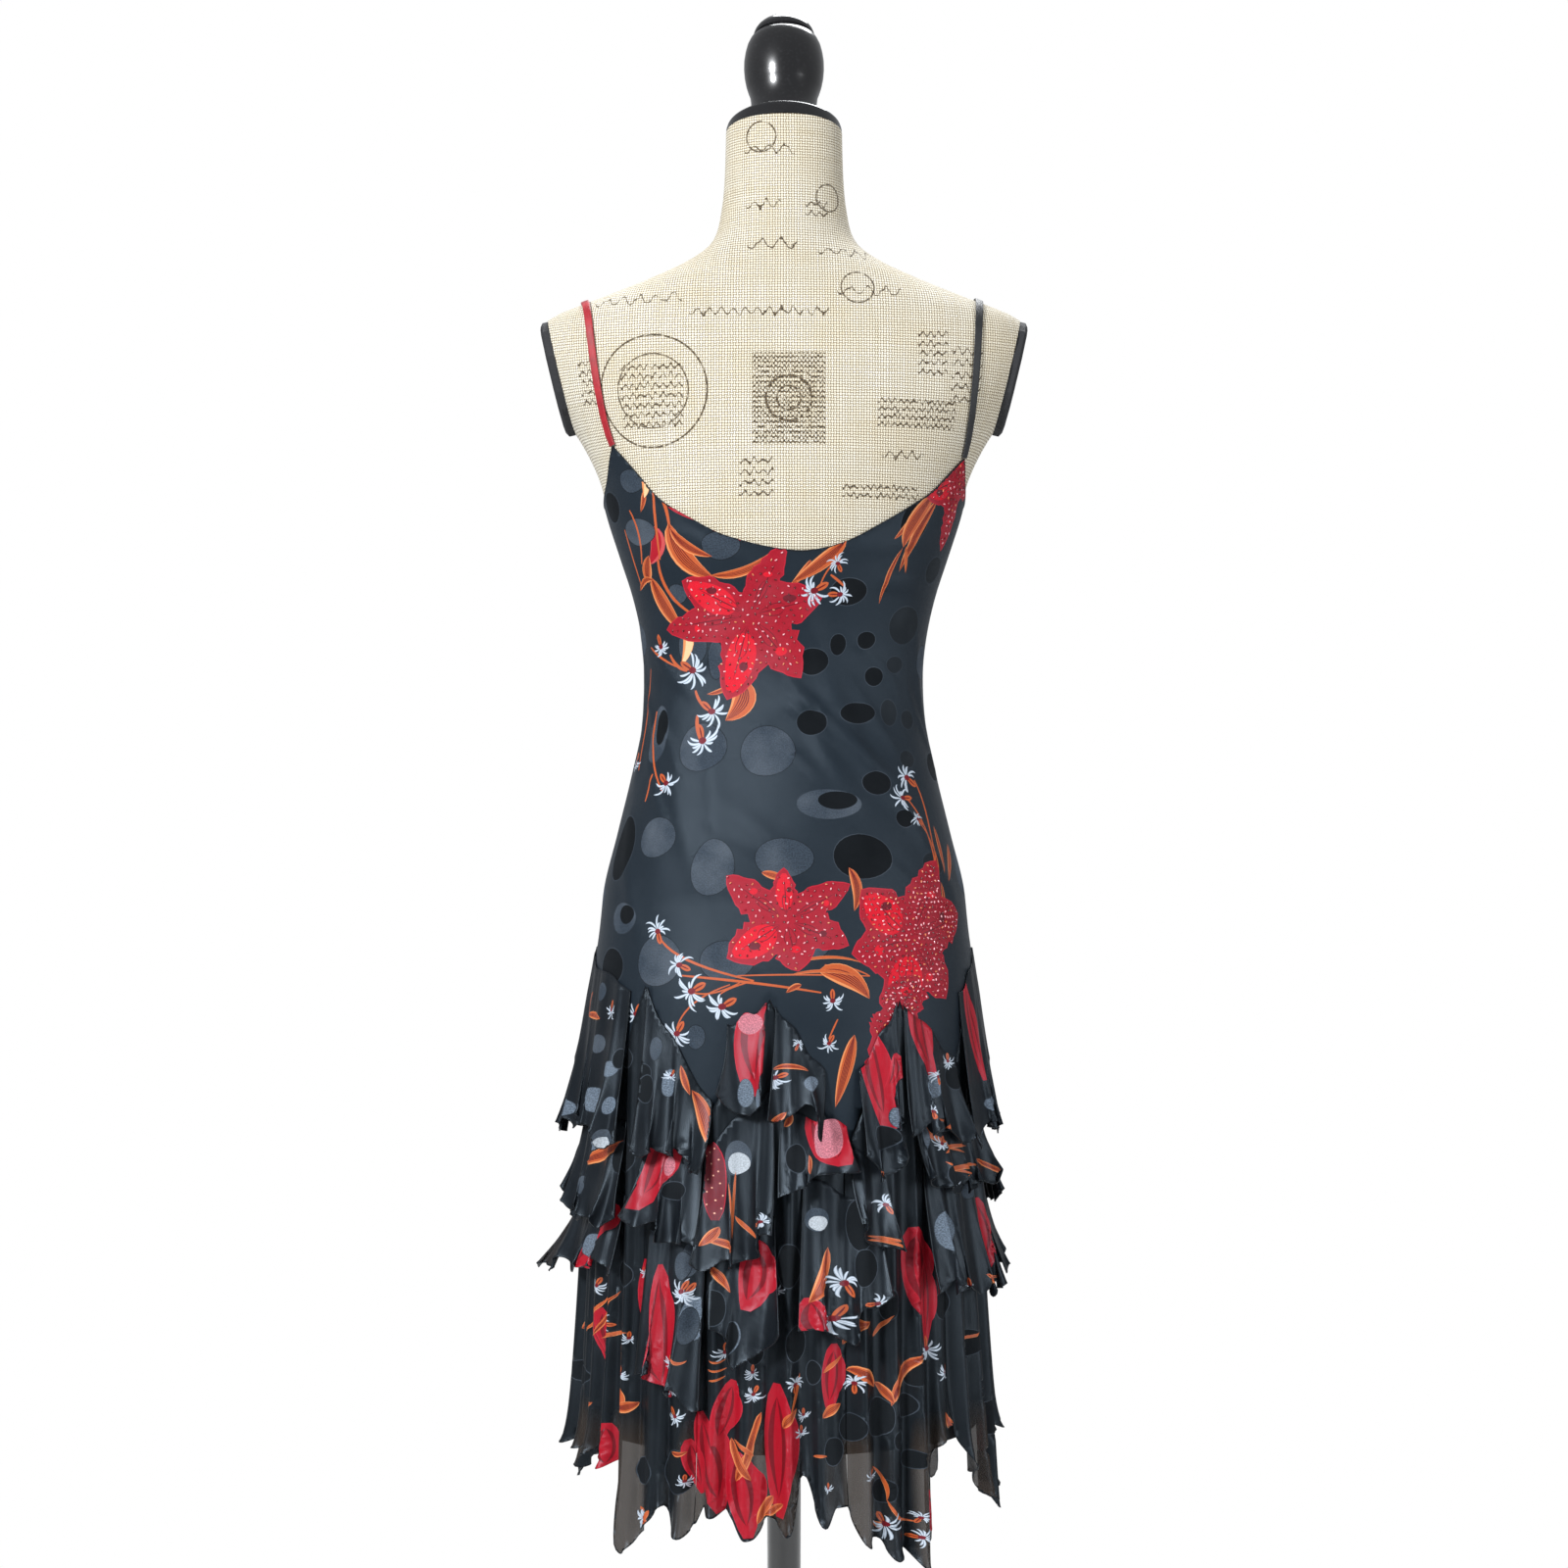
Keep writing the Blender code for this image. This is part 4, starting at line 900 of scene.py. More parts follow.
def join_flat(grid_u, grid_v, motifs):
    """One flat mesh of a grid and the outlines on it: points, triangles, top paint of each."""
    every = np.round(np.stack((grid_u.ravel(), grid_v.ravel()), -1), 6)
    single, order = np.unique(every, axis=0, return_inverse=True)
    order = order.reshape(grid_u.shape)
    border = [int(i) for i in (*order[:, -1], *order[-1, -2::-1], *order[-2::-1, 0],
                               *order[0, 1:-1])]
    border = [i for k, i in enumerate(border) if i != border[k - 1]]
    points = [Vector(pair) for pair in single]
    low = np.array((grid_u.min(), grid_v.min()))
    high = np.array((grid_u.max(), grid_v.max()))
    near = [(paint, outline) for paint, outline in motifs
            if (outline.max(axis=0) > low).all() and (outline.min(axis=0) < high).all()]
    edges = []
    for _, outline in near:
        ids = np.arange(len(points), len(points) + len(outline))
        edges += np.stack((ids, np.roll(ids, -1)), -1).tolist()
        points += [Vector(pair) for pair in outline]
    out = delaunay_2d_cdt(points, edges, [border], 1, 0.00002, True)
    flat = np.array([tuple(point) for point in out[0]])
    triangles = np.array([face for face, origin in zip(out[2], out[5]) if 0 in origin])
    middle = flat[triangles].mean(axis=1)
    top = np.full(len(triangles), -1)
    for index, (_, outline) in enumerate(near):
        close = np.flatnonzero(((middle > outline.min(axis=0))
                                & (middle < outline.max(axis=0))).all(axis=1))
        top[close[covered(middle[close], outline)]] = index
    return flat, triangles, [near[index][0] if index >= 0 else "ground" for index in top]


def border_of(triangles):
    """The edges that belong to one triangle only."""
    edges = np.concatenate((triangles[:, :2], triangles[:, 1:], triangles[:, [2, 0]]))
    size = triangles.max() + 1
    forward = edges[:, 0] * size + edges[:, 1]
    back = edges[:, 1] * size + edges[:, 0]
    return edges[~np.isin(forward, back)]


print("cloth", CLOTH * 1000, "and", CHIFFON_CLOTH * 1000, "mm thick")

# %% Laid sheets
def cloth_sheet(name, grid_u, grid_v, motifs, place, edge, sheer, ground, material,
                edge_paint="hem", cloth=CLOTH):
    """A sheet of printed cloth. edge gives the distance to its free edges, sheer how thin it is."""
    flat, triangles, paints = join_flat(grid_u, grid_v, motifs)
    surface, normal = lay(place, flat)
    away = edge(flat[:, 0], flat[:, 1])
    roll = ROLL * np.exp(-(away / ROLL_WIDTH) ** 2)
    inside = surface + (CLOTH_OFF - ROLL_INWARD * roll)[:, None] * normal
    outside = surface + (CLOTH_OFF + cloth + (1.0 - ROLL_INWARD) * roll)[:, None] * normal
    count = len(flat)
    rim = border_of(triangles)
    quads = np.stack((rim[:, 1], rim[:, 0], rim[:, 0] + count, rim[:, 1] + count), -1)
    corners = np.concatenate((triangles.ravel(), (triangles[:, ::-1] + count).ravel(),
                              quads.ravel()))
    lengths = np.concatenate((np.full(2 * len(triangles), 3), np.full(len(quads), 4)))
    mesh = bpy.data.meshes.new(name)
    points = np.concatenate((outside, inside))
    mesh.vertices.add(len(points))
    mesh.vertices.foreach_set("co", points.ravel())
    mesh.loops.add(len(corners))
    mesh.loops.foreach_set("vertex_index", corners)
    mesh.polygons.add(len(lengths))
    starts = np.concatenate(([0], np.cumsum(lengths)[:-1]))
    mesh.polygons.foreach_set("loop_start", starts)
    mesh.polygons.foreach_set("loop_total", lengths)
    mesh.update(calc_edges=True)
    middle = away[triangles].mean(axis=1)
    names = [edge_paint if near < EDGE_BAND and paint != "red"
             else (ground if paint == "ground" else paint) for paint, near in zip(paints, middle)]
    names = names + names + [edge_paint] * len(quads)
    colour = np.array([linear(PAINTS[paint][0]) for paint in names])
    finish = np.array([PAINTS[paint][1:] for paint in names])
    spot = np.concatenate((flat, flat))[corners]
    thin = np.repeat(finish[:, 2], lengths) * sheer(spot[:, 0], spot[:, 1])
    print_layer = mesh.color_attributes.new("print", "BYTE_COLOR", "CORNER")
    print_layer.data.foreach_set("color", np.repeat(colour, lengths, axis=0).ravel())
    finish_layer = mesh.color_attributes.new("finish", "FLOAT_COLOR", "CORNER")
    masks = np.column_stack((np.repeat(finish[:, :2], lengths, axis=0), thin, np.ones(len(thin))))
    finish_layer.data.foreach_set("color", masks.ravel())
    uv = mesh.uv_layers.new(name="cloth")
    uv.data.foreach_set("uv", spot.ravel())
    mesh.materials.append(material)
    mesh.shade_smooth()
    mesh.validate()
    made = on_root(name, mesh)
    return made


def as_cut(grid_u, grid_v, place):
    """The cut of a sheet: how wide and long it is along the cloth, and its area."""
    points = place(grid_u.ravel(), grid_v.ravel()).reshape(*grid_u.shape, 3)
    level = np.abs(np.diff(grid_v, axis=0)) < 1e-6
    across = np.linalg.norm(np.diff(points, axis=0), axis=2) * level
    width = across.sum(axis=0).max()
    length = np.linalg.norm(np.diff(points, axis=1), axis=2).sum(axis=1).max()
    first = np.cross(points[1:, :-1] - points[:-1, :-1], points[:-1, 1:] - points[:-1, :-1])
    last = np.cross(points[1:, :-1] - points[1:, 1:], points[:-1, 1:] - points[1:, 1:])
    area = 0.5 * (np.linalg.norm(first, axis=2).sum() + np.linalg.norm(last, axis=2).sum())
    round_it = width * length
    return (float(width), float(length)), float(min(max(area, LEAST_CUT * round_it), round_it))


print("free edges in", len(EDGE_STEPS), "steps")

# %% [markdown]
# ## The cloth's finishes
# One group turns the two attributes into colour, roughness and relief: a fine weave, grainy dots
# where the pile is burnt out in part, whose light colour in the print is partly a painted sheen,
# and deep dull pile. The satin of the body and the chiffon of the skirt use it with their own
# thread counts, and only the chiffon lets light through.

# %% Cloth materials
def build_printed():
    group, given, end = new_group(
        "printed cloth", (("Place", VECTOR, None), ("Threads", FLOAT, 2500.0),
                          ("Ground Roughness", FLOAT, 0.4)),
        (("Colour", "NodeSocketColor"), ("Roughness", FLOAT), ("Relief", FLOAT), ("Sheer", FLOAT)))
    colour = add(group, "Attribute", {"attribute_name": "print"}).outputs["Color"]
    masks = add(group, "Attribute", {"attribute_name": "finish"}).outputs["Vector"]
    pile, heather, sheer = add(group, "SeparateXYZ", Vector=masks).outputs
    weave = use(group, weave_group, Place=given["Place"], Threads=given["Threads"], Wobble=0.2)
    grain = noise(group, given["Place"], 900.0, 3.0, Roughness=0.7)
    cloud = noise(group, given["Place"], 28.0, 3.0)
    speck = calc(group, "MULTIPLY", heather, spread(group, grain, 0.40, 0.62, 0.70, 0.0))
    dark = blend(group, speck, colour, (0.010, 0.011, 0.013, 1.0))
    light = calc(group, "MULTIPLY", spread(group, cloud, 0.42, 0.70, 0.0, 0.22),
                 calc(group, "ADD", heather, 0.06))
    soft = blend(group, light, dark, (0.20, 0.23, 0.27, 1.0))
    threads = blend(group, spread(group, weave["Thread"], 0.3, 0.7, 0.0, 0.14), soft,
                    (0.0, 0.0, 0.0, 1.0))
    brown = spread(group, sheer, 0.30, 1.0, 0.0, 0.85)
    rough = calc(group, "ADD", given["Ground Roughness"],
                 calc(group, "ADD", calc(group, "MULTIPLY", pile, 0.48),
                      calc(group, "MULTIPLY", heather, 0.22)))
    fluff = calc(group, "MULTIPLY", calc(group, "ADD", calc(group, "MULTIPLY", pile, 1.6), heather),
                 grain)
    feed(group, end, Colour=blend(group, brown, threads, (0.040, 0.028, 0.020, 1.0)), Sheer=sheer,
         Roughness=calc(group, "MINIMUM", rough, 0.95),
         Relief=calc(group, "ADD", calc(group, "MULTIPLY", weave["Height"], 0.35), fluff))
    return group


printed_group = build_printed()


def build_cloth(name, threads, roughness, shine, sheen, see_through):
    material, tree, shader = new_material(name)
    place = add(tree, "UVMap", {"uv_map": "cloth"}).outputs[0]
    cloth = use(tree, printed_group, Place=place, Threads=threads, Ground_Roughness=roughness)
    feed(tree, shader, Base_Color=cloth["Colour"], Roughness=cloth["Roughness"],
         Normal=relief(tree, 0.5, 0.00025, cloth["Relief"]), Specular_IOR_Level=shine,
         Specular_Tint=(0.70, 0.85, 1.0, 1.0), Sheen_Weight=sheen, Sheen_Roughness=0.45,
         Sheen_Tint=(0.62, 0.70, 0.80, 1.0))
    if see_through:
        thin = calc(tree, "MULTIPLY", cloth["Sheer"], see_through)
        feed(tree, shader, Alpha=calc(tree, "SUBTRACT", 1.0, thin))
    return material


satin = build_cloth("printed_satin", threads=2600.0, roughness=0.38, shine=0.25, sheen=0.04,
                    see_through=0.0)
chiffon = build_cloth("printed_chiffon", threads=1700.0, roughness=0.34, shine=0.34, sheen=0.02,
                      see_through=0.25)
print(satin.name, chiffon.name)

# %% [markdown]
# ## The print of the body
# These tables say where each motif lies: a bearing in degrees and a height in metres, then sizes
# in millimetres. The front wears the same motifs, turned half round and mirrored.

# %% Dots of the body
BODY_DOTS = (
    ("grey_pile_sheen", -51.6, 1.2808, 13.6, 9.8), ("velvet", -69.2, 1.2616, 12.8, 13.0),
    ("grey_pile_sheen", -54.0, 1.2384, 17.2, 11.4), ("grey_pile_sheen", -21.4, 1.224, 15.9, 11.4),
    ("grey_pile_sheen", -41.8, 1.1856, 8.8, 8.1), ("grey_pile_sheen", -38.2, 1.1408, 13.1, 16.3),
    ("grey_pile_sheen", -27.4, 1.1296, 6.9, 16.3), ("half", -56.2, 1.0672, 10.8, 24.4),
    ("grey_pile_sheen", -32.0, 1.056, 20.7, 20.4), ("grey_pile_sheen", -6.2, 1.0528, 22.0, 21.2),
    ("velvet", -64.8, 0.9704, 16.4, 27.7), ("grey_pile_sheen", -45.4, 0.9808, 18.5, 17.1),
    ("grey_pile_sheen", -22.6, 0.9568, 17.7, 23.6), ("grey_pile_sheen", 0.0, 0.9648, 23.4, 16.3),
    ("half", -56.0, 0.9128, 15.6, 13.0), ("velvet", -60.6, 0.8712, 17.3, 16.3),
    ("grey_pile_sheen", -38.6, 0.8792, 20.5, 21.2), ("grey_pile_sheen", -16.8, 0.8808, 22.1, 16.3),
    ("grey_pile_sheen", 9.2, 0.8928, 11.3, 9.8), ("grey_pile_sheen", -25.2, 0.8184, 7.7, 9.8),
    ("velvet", 24.0, 1.1864, 15.3, 11.4), ("velvet", 21.4, 1.1424, 6.7, 9.0),
    ("velvet", 33.4, 1.1464, 8.1, 7.3), ("dull", 53.2, 1.16, 16.7, 16.3),
    ("velvet", 11.4, 1.128, 12.4, 11.4), ("velvet", 37.8, 1.116, 8.4, 8.1),
    ("dull", 49.0, 1.1264, 8.7, 7.3), ("velvet", 10.8, 1.0768, 12.3, 10.6),
    ("velvet", 29.6, 1.0848, 15.0, 9.0), ("dull", 44.8, 1.0856, 8.3, 11.4),
    ("dull", 56.4, 1.08, 8.0, 8.1), ("velvet", 34.4, 1.0264, 12.9, 9.8),
    ("half", 15.6, 1.0088, 26.4, 12.2), ("dull", 51.8, 1.0464, 8.5, 7.3),
    ("velvet", 44.0, 0.9968, 8.5, 7.3), ("velvet", 25.6, 0.9656, 24.9, 18.7),
    ("dull", 53.8, 0.9584, 11.9, 9.8), ("dull", 65.2, 1.208, 11.1, 11.4),
    ("velvet", 45.4, 1.2456, 13.4, 17.9), ("grey_pile_sheen", 74.0, 1.13, 12.0, 15.0),
    ("velvet", 76.0, 1.04, 14.0, 12.0), ("grey_pile_sheen", -80.0, 1.15, 12.0, 14.0),
    ("grey_pile_sheen", 78.0, 0.95, 15.0, 18.0), ("velvet", -84.0, 1.05, 12.0, 16.0),
    ("grey_pile_sheen", -84.0, 0.93, 16.0, 14.0),
)
print(len(BODY_DOTS), "dots")

# %% Leaves, stems, flowers and lilies of the body
# Start, bend and end, each a bearing and a height, then the width in millimetres
BODY_LEAVES = (
    (-38.8, 1.244, -39.8, 1.21, -25.2, 1.1975, 18.7),
    (-38.8, 1.24, -35.8, 1.2216, -24.8, 1.2152, 9.3),
    (-26.6, 1.2, -12.2, 1.1965, -2.6, 1.2208, 7.4),
    (-54.0, 1.2008, -52.4, 1.176, -41.2, 1.1536, 14.4),
    (-47.0, 1.2712, -46.6, 1.2648, -50.0, 1.2544, 5.1),
    (-56.8, 1.196, -56.4, 1.2064, -51.6, 1.2184, 11.0),
    (-65.4, 1.1904, -57.2, 1.2032, -53.4, 1.1976, 5.1),
    (-16.4, 1.112, -12.8, 1.0928, -23.2, 1.0784, 20.0),
    (-20.6, 1.1096, -25.6, 1.1016, -31.6, 1.1008, 4.2), (9.2, 1.212, 7.4, 1.2, 2.0, 1.1904, 6.0),
    (54.0, 1.266, 46.0, 1.236, 43.5, 1.204, 9.0), (49.0, 1.268, 43.0, 1.242, 38.0, 1.23, 6.0),
    (60.0, 0.99, 62.0, 0.97, 59.0, 0.95, 5.0), (20.8, 1.2288, 15.2, 1.2104, 2.8, 1.1936, 12.2),
    (52.2, 1.272, 42.4, 1.2448, 42.4, 1.224, 14.0), (42.4, 1.224, 37.8, 1.1976, 37.2, 1.1768, 4.1),
    (43.6, 1.2248, 45.4, 1.2152, 46.8, 1.2032, 3.3),
    (20.4, 0.9568, 24.2, 0.9408, 21.2, 0.9208, 9.0), (-7.0, 0.9528, -3.0, 0.9512, 1.6, 0.9456, 6.5),
    (9.8, 0.8728, 19.8, 0.8736, 24.6, 0.8496, 17.0), (0.0, 0.8776, 14.0, 0.8896, 23.2, 0.8784, 2.5),
    (1.6, 0.8696, 12.6, 0.8768, 22.0, 0.8672, 2.5), (20.0, 0.8208, 17.8, 0.796, 14.4, 0.762, 11.5),
    (5.0, 0.8616, 2.8, 0.8608, 0.6, 0.8552, 4.9), (69.6, 0.9744, 67.6, 0.96, 60.8, 0.9432, 6.5),
    (56.2, 0.9432, 57.6, 0.9184, 53.6, 0.8944, 4.9),
)
BODY_STEMS = (
    (-43.0, 1.276, -37.4, 1.2664, -39.0, 1.2376, 3.4),
    (-42.6, 1.2712, -44.0, 1.2464, -46.4, 1.2144, 2.5),
    (-47.4, 1.2144, -50.8, 1.1864, -36.6, 1.1688, 3.0),
    (-55.8, 1.2568, -51.8, 1.236, -57.6, 1.212, 2.1),
    (-62.8, 1.2416, -63.4, 1.2128, -63.0, 1.192, 1.7),
    (-50.6, 1.1352, -47.6, 1.1232, -41.0, 1.1208, 3.0),
    (-36.8, 1.104, -35.4, 1.0952, -32.2, 1.0888, 2.5),
    (-35.4, 1.0832, -35.8, 1.0728, -33.0, 1.0624, 3.4),
    (-38.8, 0.8984, -33.6, 0.88, -8.6, 0.8648, 2.1),
    (-30.0, 0.868, -8.6, 0.8648, 10.6, 0.8552, 2.1), (-13.4, 0.8688, 6.2, 0.8712, 25.0, 0.868, 1.4),
    (11.8, 0.8776, 20.4, 0.876, 25.0, 0.868, 1.4),
    (-28.4, 0.8568, -22.4, 0.848, -12.6, 0.8632, 1.4),
    (-31.2, 0.8248, -28.4, 0.8488, -15.4, 0.8616, 1.4),
    (-18.2, 0.8536, -16.2, 0.8592, -8.6, 0.8648, 1.4),
    (53.4, 1.0288, 60.0, 1.0032, 53.6, 0.9456, 1.8), (46.4, 1.0136, 56.4, 0.996, 54.2, 0.9456, 1.8),
    (50.0, 0.9936, 58.6, 0.9752, 55.2, 0.9456, 1.4),
    (-68.4, 1.124, -73.2, 1.0752, -68.0, 1.0368, 1.4),
    (-60.2, 1.0872, -63.0, 1.0536, -46.8, 1.0184, 2.1),
    (-54.8, 1.0336, -55.6, 1.0224, -56.2, 1.0104, 2.1),
    (16.6, 1.2, 19.8, 1.1952, 22.2, 1.1904, 2.1), (12.8, 1.1888, 15.2, 1.2088, 19.6, 1.2128, 1.4),
    (-66.0, 1.1424, -59.2, 1.1336, -47.2, 1.1248, 2.1),
    (15.2, 0.8336, 13.8, 0.8256, 12.6, 0.8176, 1.4),
)
# Bearing, height, radius in millimetres, direction of its stem
BODY_FLOWERS = (
    (-56.6, 1.1416, 11.0, 100), (-37.8, 1.1208, 14.6, 150), (-28.8, 1.0856, 13.4, 140),
    (-31.8, 1.0608, 15.0, 110), (-45.6, 1.0256, 12.0, 140), (10.8, 1.1864, 13.4, 30),
    (21.0, 1.184, 10.6, 180), (18.6, 1.2096, 8.1, -60), (49.0, 1.0312, 12.2, -40),
    (44.4, 1.0136, 10.6, 0), (49.8, 0.996, 7.3, -40), (-73.4, 1.0424, 9.8, 80),
    (-39.8, 0.904, 11.4, -70), (-31.4, 0.8768, 11.4, -20), (-27.0, 0.8552, 13.9, 30),
    (-17.8, 0.8432, 13.9, 30), (-31.2, 0.82, 12.2, 60), (-59.4, 0.8432, 10.6, 60),
    (13.8, 0.848, 9.8, 90), (-46.2, 0.8344, 9.8, 60), (12.6, 0.8136, 8.1, 60),
)
# Name, bearing, height, the petals' tips and widths in millimetres, spacing of the beads
BODY_LILIES = (
    ("neck", -13.0, 1.1664, ((-73, -9, 24), (-49, 26, 30), (26, 50, 20), (52, 13, 31),
                             (38, -46, 30), (-19, -62, 33)), 6.6),
    ("hip_middle", 0.8, 0.9136, ((-45, 32, 23), (-2, 38, 18), (47, 26, 20), (44, -18, 23),
                                 (8, -36, 30), (-42, -27, 30)), 6.2),
    ("hip_right", 39.8, 0.8976, ((36, 56, 32), (-37, 36, 36), (-46, -10, 33), (61, 16, 38),
                                 (29, -45, 32), (-18, -62, 40)), 4.9),
    ("hip_trail", 32.0, 0.8320, ((23, 31, 28), (-20, -63, 26), (11, -26, 24), (-15, -15, 26)), 5.0),
    ("shoulder", 62.6, 1.2832, ((4, 19, 18), (-27, -13, 24), (6, -52, 17), (34, -7, 20)), 5.4),
)
print(len(BODY_LEAVES), "leaves,", len(BODY_FLOWERS), "flowers and", len(BODY_LILIES), "lilies")

# %% [markdown]
# ## The body of the dress
# Two fitted panels hang from the straps. On the bias, satin drags into soft diagonal folds, so each
# crease is given as a soft ridge between two points. The print is worked out on a plane
# whose width stands for the bearing, and each motif is stretched there, so that it keeps its true
# size on the cloth.

# %% Body surface
BODY_SCALE = 0.0024       # metres of the flat plane for each degree
BODY_COLUMN, BODY_ROW = 2.4, 0.006    # degrees and metres between columns and rows
SEAM_GAP = 0.07           # degrees left open at each seam
ROW_SNAP = 0.35           # of a row, by which a level row gives way to an edge
CREASE_RISE = 0.0010      # metres of height for each unit of the last column
# Two ends as bearing and height, half width in millimetres and relative height of the ridge
CREASES = (
    (8.0, 1.17, 33.0, 1.035, 8.0, 2.6), (2.0, 1.11, 26.0, 1.01, 7.0, 2.0),
    (22.0, 1.125, 46.0, 1.055, 6.0, 1.8), (-30.0, 1.08, -20.0, 0.96, 8.0, 1.9),
    (-44.0, 1.04, -24.0, 0.93, 9.0, 2.0), (34.0, 1.196, 56.0, 1.192, 4.5, 2.0),
    (22.0, 1.222, 50.0, 1.228, 5.0, 1.4), (-60.0, 1.13, -36.0, 1.1, 6.0, 1.5),
    (-20.0, 1.01, 16.0, 0.93, 10.0, 1.8), (-66.0, 1.0, -48.0, 0.9, 8.0, 1.7),
    (44.0, 1.01, 64.0, 0.93, 8.0, 1.6), (-10.0, 1.085, 18.0, 1.095, 6.0, 1.2),
    (64.0, 1.15, 80.0, 1.04, 9.0, 1.8), (-84.0, 1.15, -70.0, 1.03, 9.0, 1.8),
    (14.0, 1.08, 52.0, 0.985, 7.0, 1.7), (-24.0, 1.15, -50.0, 1.09, 6.0, 1.4),
    (-7.5, 1.108, 24.0, 1.055, 3.6, 1.5), (-3.5, 1.124, 38.0, 1.036, 3.4, 1.6),
    (9.0, 1.098, 50.0, 1.014, 3.8, 1.5), (-14.0, 1.086, 12.0, 1.034, 3.6, 1.2),
    (26.0, 1.15, 50.0, 1.11, 3.2, 1.2), (-56.0, 1.08, -34.0, 1.02, 3.8, 1.4),
    (-62.0, 1.05, -40.0, 0.985, 4.0, 1.3), (-30.0, 1.0, 6.0, 0.95, 4.2, 1.1),
    (22.0, 0.985, 48.0, 0.93, 4.0, 1.2), (-74.0, 1.11, -58.0, 1.06, 3.6, 1.3),
    (58.0, 1.105, 74.0, 1.06, 3.6, 1.3), (-36.0, 1.236, -8.0, 1.206, 4.0, 1.0),
)


def crease_out(bearing, height):
    """How far the soft folds of the body stand out, each weaker towards its ends."""
    place = in_half_turn(bearing)
    x, y = place * BODY_SCALE, height
    out = 0.0 * x
    for start, start_height, end, end_height, width, rise in CREASES:
        foot = np.array((start * BODY_SCALE, start_height))
        along = np.array((end * BODY_SCALE, end_height)) - foot
        t = np.clip(((x - foot[0]) * along[0] + (y - foot[1]) * along[1]) / (along @ along), 0, 1)
        away = np.hypot(x - foot[0] - t * along[0], y - foot[1] - t * along[1])
        swell = 0.35 + 0.65 * np.sin(math.pi * np.clip(t * 0.9 + 0.05, 0, 1))
        out = out + CREASE_RISE * rise * swell * np.exp(-(away / (MM * width)) ** 2)
    return out


def dress_place(centre, scale, out):
    """A surface of the dress as a function of flat places."""
    def place(u, v):
        bearing = centre + u / scale
        return ring(dress_section(v), bearing, v, out(bearing, v))
    return place


def cloth_scale(bearing, height):
    """Metres of cloth for each degree at one place."""
    ends = ring(dress_section(np.full(2, height)), np.array((bearing - 0.5, bearing + 0.5)), height)
    return float(np.linalg.norm(ends[1] - ends[0]))


print(len(CREASES), "creases")

# %% Placing the print
def spot_on(bearing, height, centre, mirror=1.0):
    """The flat place of a spot of the body, and the flat size of a metre of cloth there."""
    return (np.array(((bearing - centre) * BODY_SCALE, height)),
            np.array((mirror * BODY_SCALE / cloth_scale(bearing, height), 1.0)))


def set_on(shapes, bearing, height, centre, mirror=1.0):
    """Put outlines in metres round a place of the dress, on the flat plane of a sheet."""
    foot, stretch = spot_on(bearing, height, centre, mirror)
    return [(paint, foot + outline * stretch) for paint, outline in shapes]


def curve_on(make, row, centre, mirror):
    """A blade or a leaf whose three points are given on the dress."""
    bearings = np.array(row[0:6:2])
    heights = np.array(row[1:6:2])
    real = cloth_scale(centre + mirror * bearings[1], heights[1])
    local = np.column_stack(((bearings - bearings[1]) * real, heights - heights[1]))
    return set_on(make(list(local), MM * row[6]), centre + mirror * bearings[1], heights[1],
                  centre, mirror)


def stem(points, width):
    return [blade("leaf", *points, width, blunt=0.6)]


NECK_REDS = ((-38.0, 1.2575, -33.5, 1.2520, -29.0, 1.2452, 3.6),
             (-27.0, 1.2430, -21.0, 1.2350, -14.0, 1.2275, 3.2),
             (-45.6, 1.2420, -42.4, 1.2256, -52.8, 1.2110, 14.4))
CALYXES = ((-44.4, 1.2888, -44.2, 1.2792, -47.0, 1.2656, 9.3),
           (-40.6, 1.1624, -37.2, 1.1440, -44.4, 1.1256, 10.2))


def red_bud(points, width):
    return [blade("bud", *points, width), blade("red", *points, 0.7 * width, side=-0.3)]


def calyx(points, width):
    return [blade("leaf_light", *points, width), blade("cream", *points, 0.7 * width, side=0.3)]


def body_print(centre, mirror):
    """All outlines of one panel, those that lie below the others first."""
    motifs = [shape for row in NECK_REDS for shape in curve_on(red_bud, row, centre, mirror)]
    for bearing, height, shapes in dots_of(BODY_DOTS):
        motifs += set_on(shapes, centre + mirror * bearing, height, centre)
    for rows, make in ((BODY_STEMS, stem), (BODY_LEAVES, leaf), (CALYXES, calyx)):
        for row in rows:
            motifs += curve_on(make, row, centre, mirror)
    lilies = [(bearing, height, lily(in_metres(petals), LILY_SEED + index))
              for index, (_, bearing, height, petals, _) in enumerate(BODY_LILIES)]
    for bearing, height, shapes in lilies + flowers_of(BODY_FLOWERS, FLOWER_SEED):
        motifs += set_on(shapes, centre + mirror * bearing, height, centre, mirror)
    return motifs


print(len(NECK_REDS), "buds and", len(CALYXES), "calyxes")

# %% Body panels
PEAKS = (-237.0, -123.0, -55.0, 63.5, 123.0)


def seam_height(bearing):
    return straight(zigzag_keys(), in_half_turn(bearing))


def top_height(bearing):
    """The top edge: a smooth curve between each two of its four peaks."""
    place = (np.asarray(bearing, dtype=float) - PEAKS[-1]) % 360.0 + PEAKS[0]
    rows = sorted({(b - 360.0 if b > PEAKS[-1] else b, h) for b, h in TOP_EDGE_ROWS}
                  | {(PEAKS[0], TOP_EDGE_ROWS[4][1])})
    height = 0.0 * place
    for first, last in zip(PEAKS[:-1], PEAKS[1:]):
        part = [row for row in rows if first <= row[0] <= last]
        height = np.where((place >= first) & (place <= last), read(part, 1, place), height)
    return height


def corners_between(left, right, step, keys):
    """Columns from left to right at about a step, with one on each key between them."""
    kept = sorted({left, right, *(key for key in keys if left < key < right)})
    columns = []
    for start, end in zip(kept[:-1], kept[1:]):
        columns += list(np.linspace(start, end, max(1, round((end - start) / step)) + 1))[:-1]
    return np.array(columns + [right])


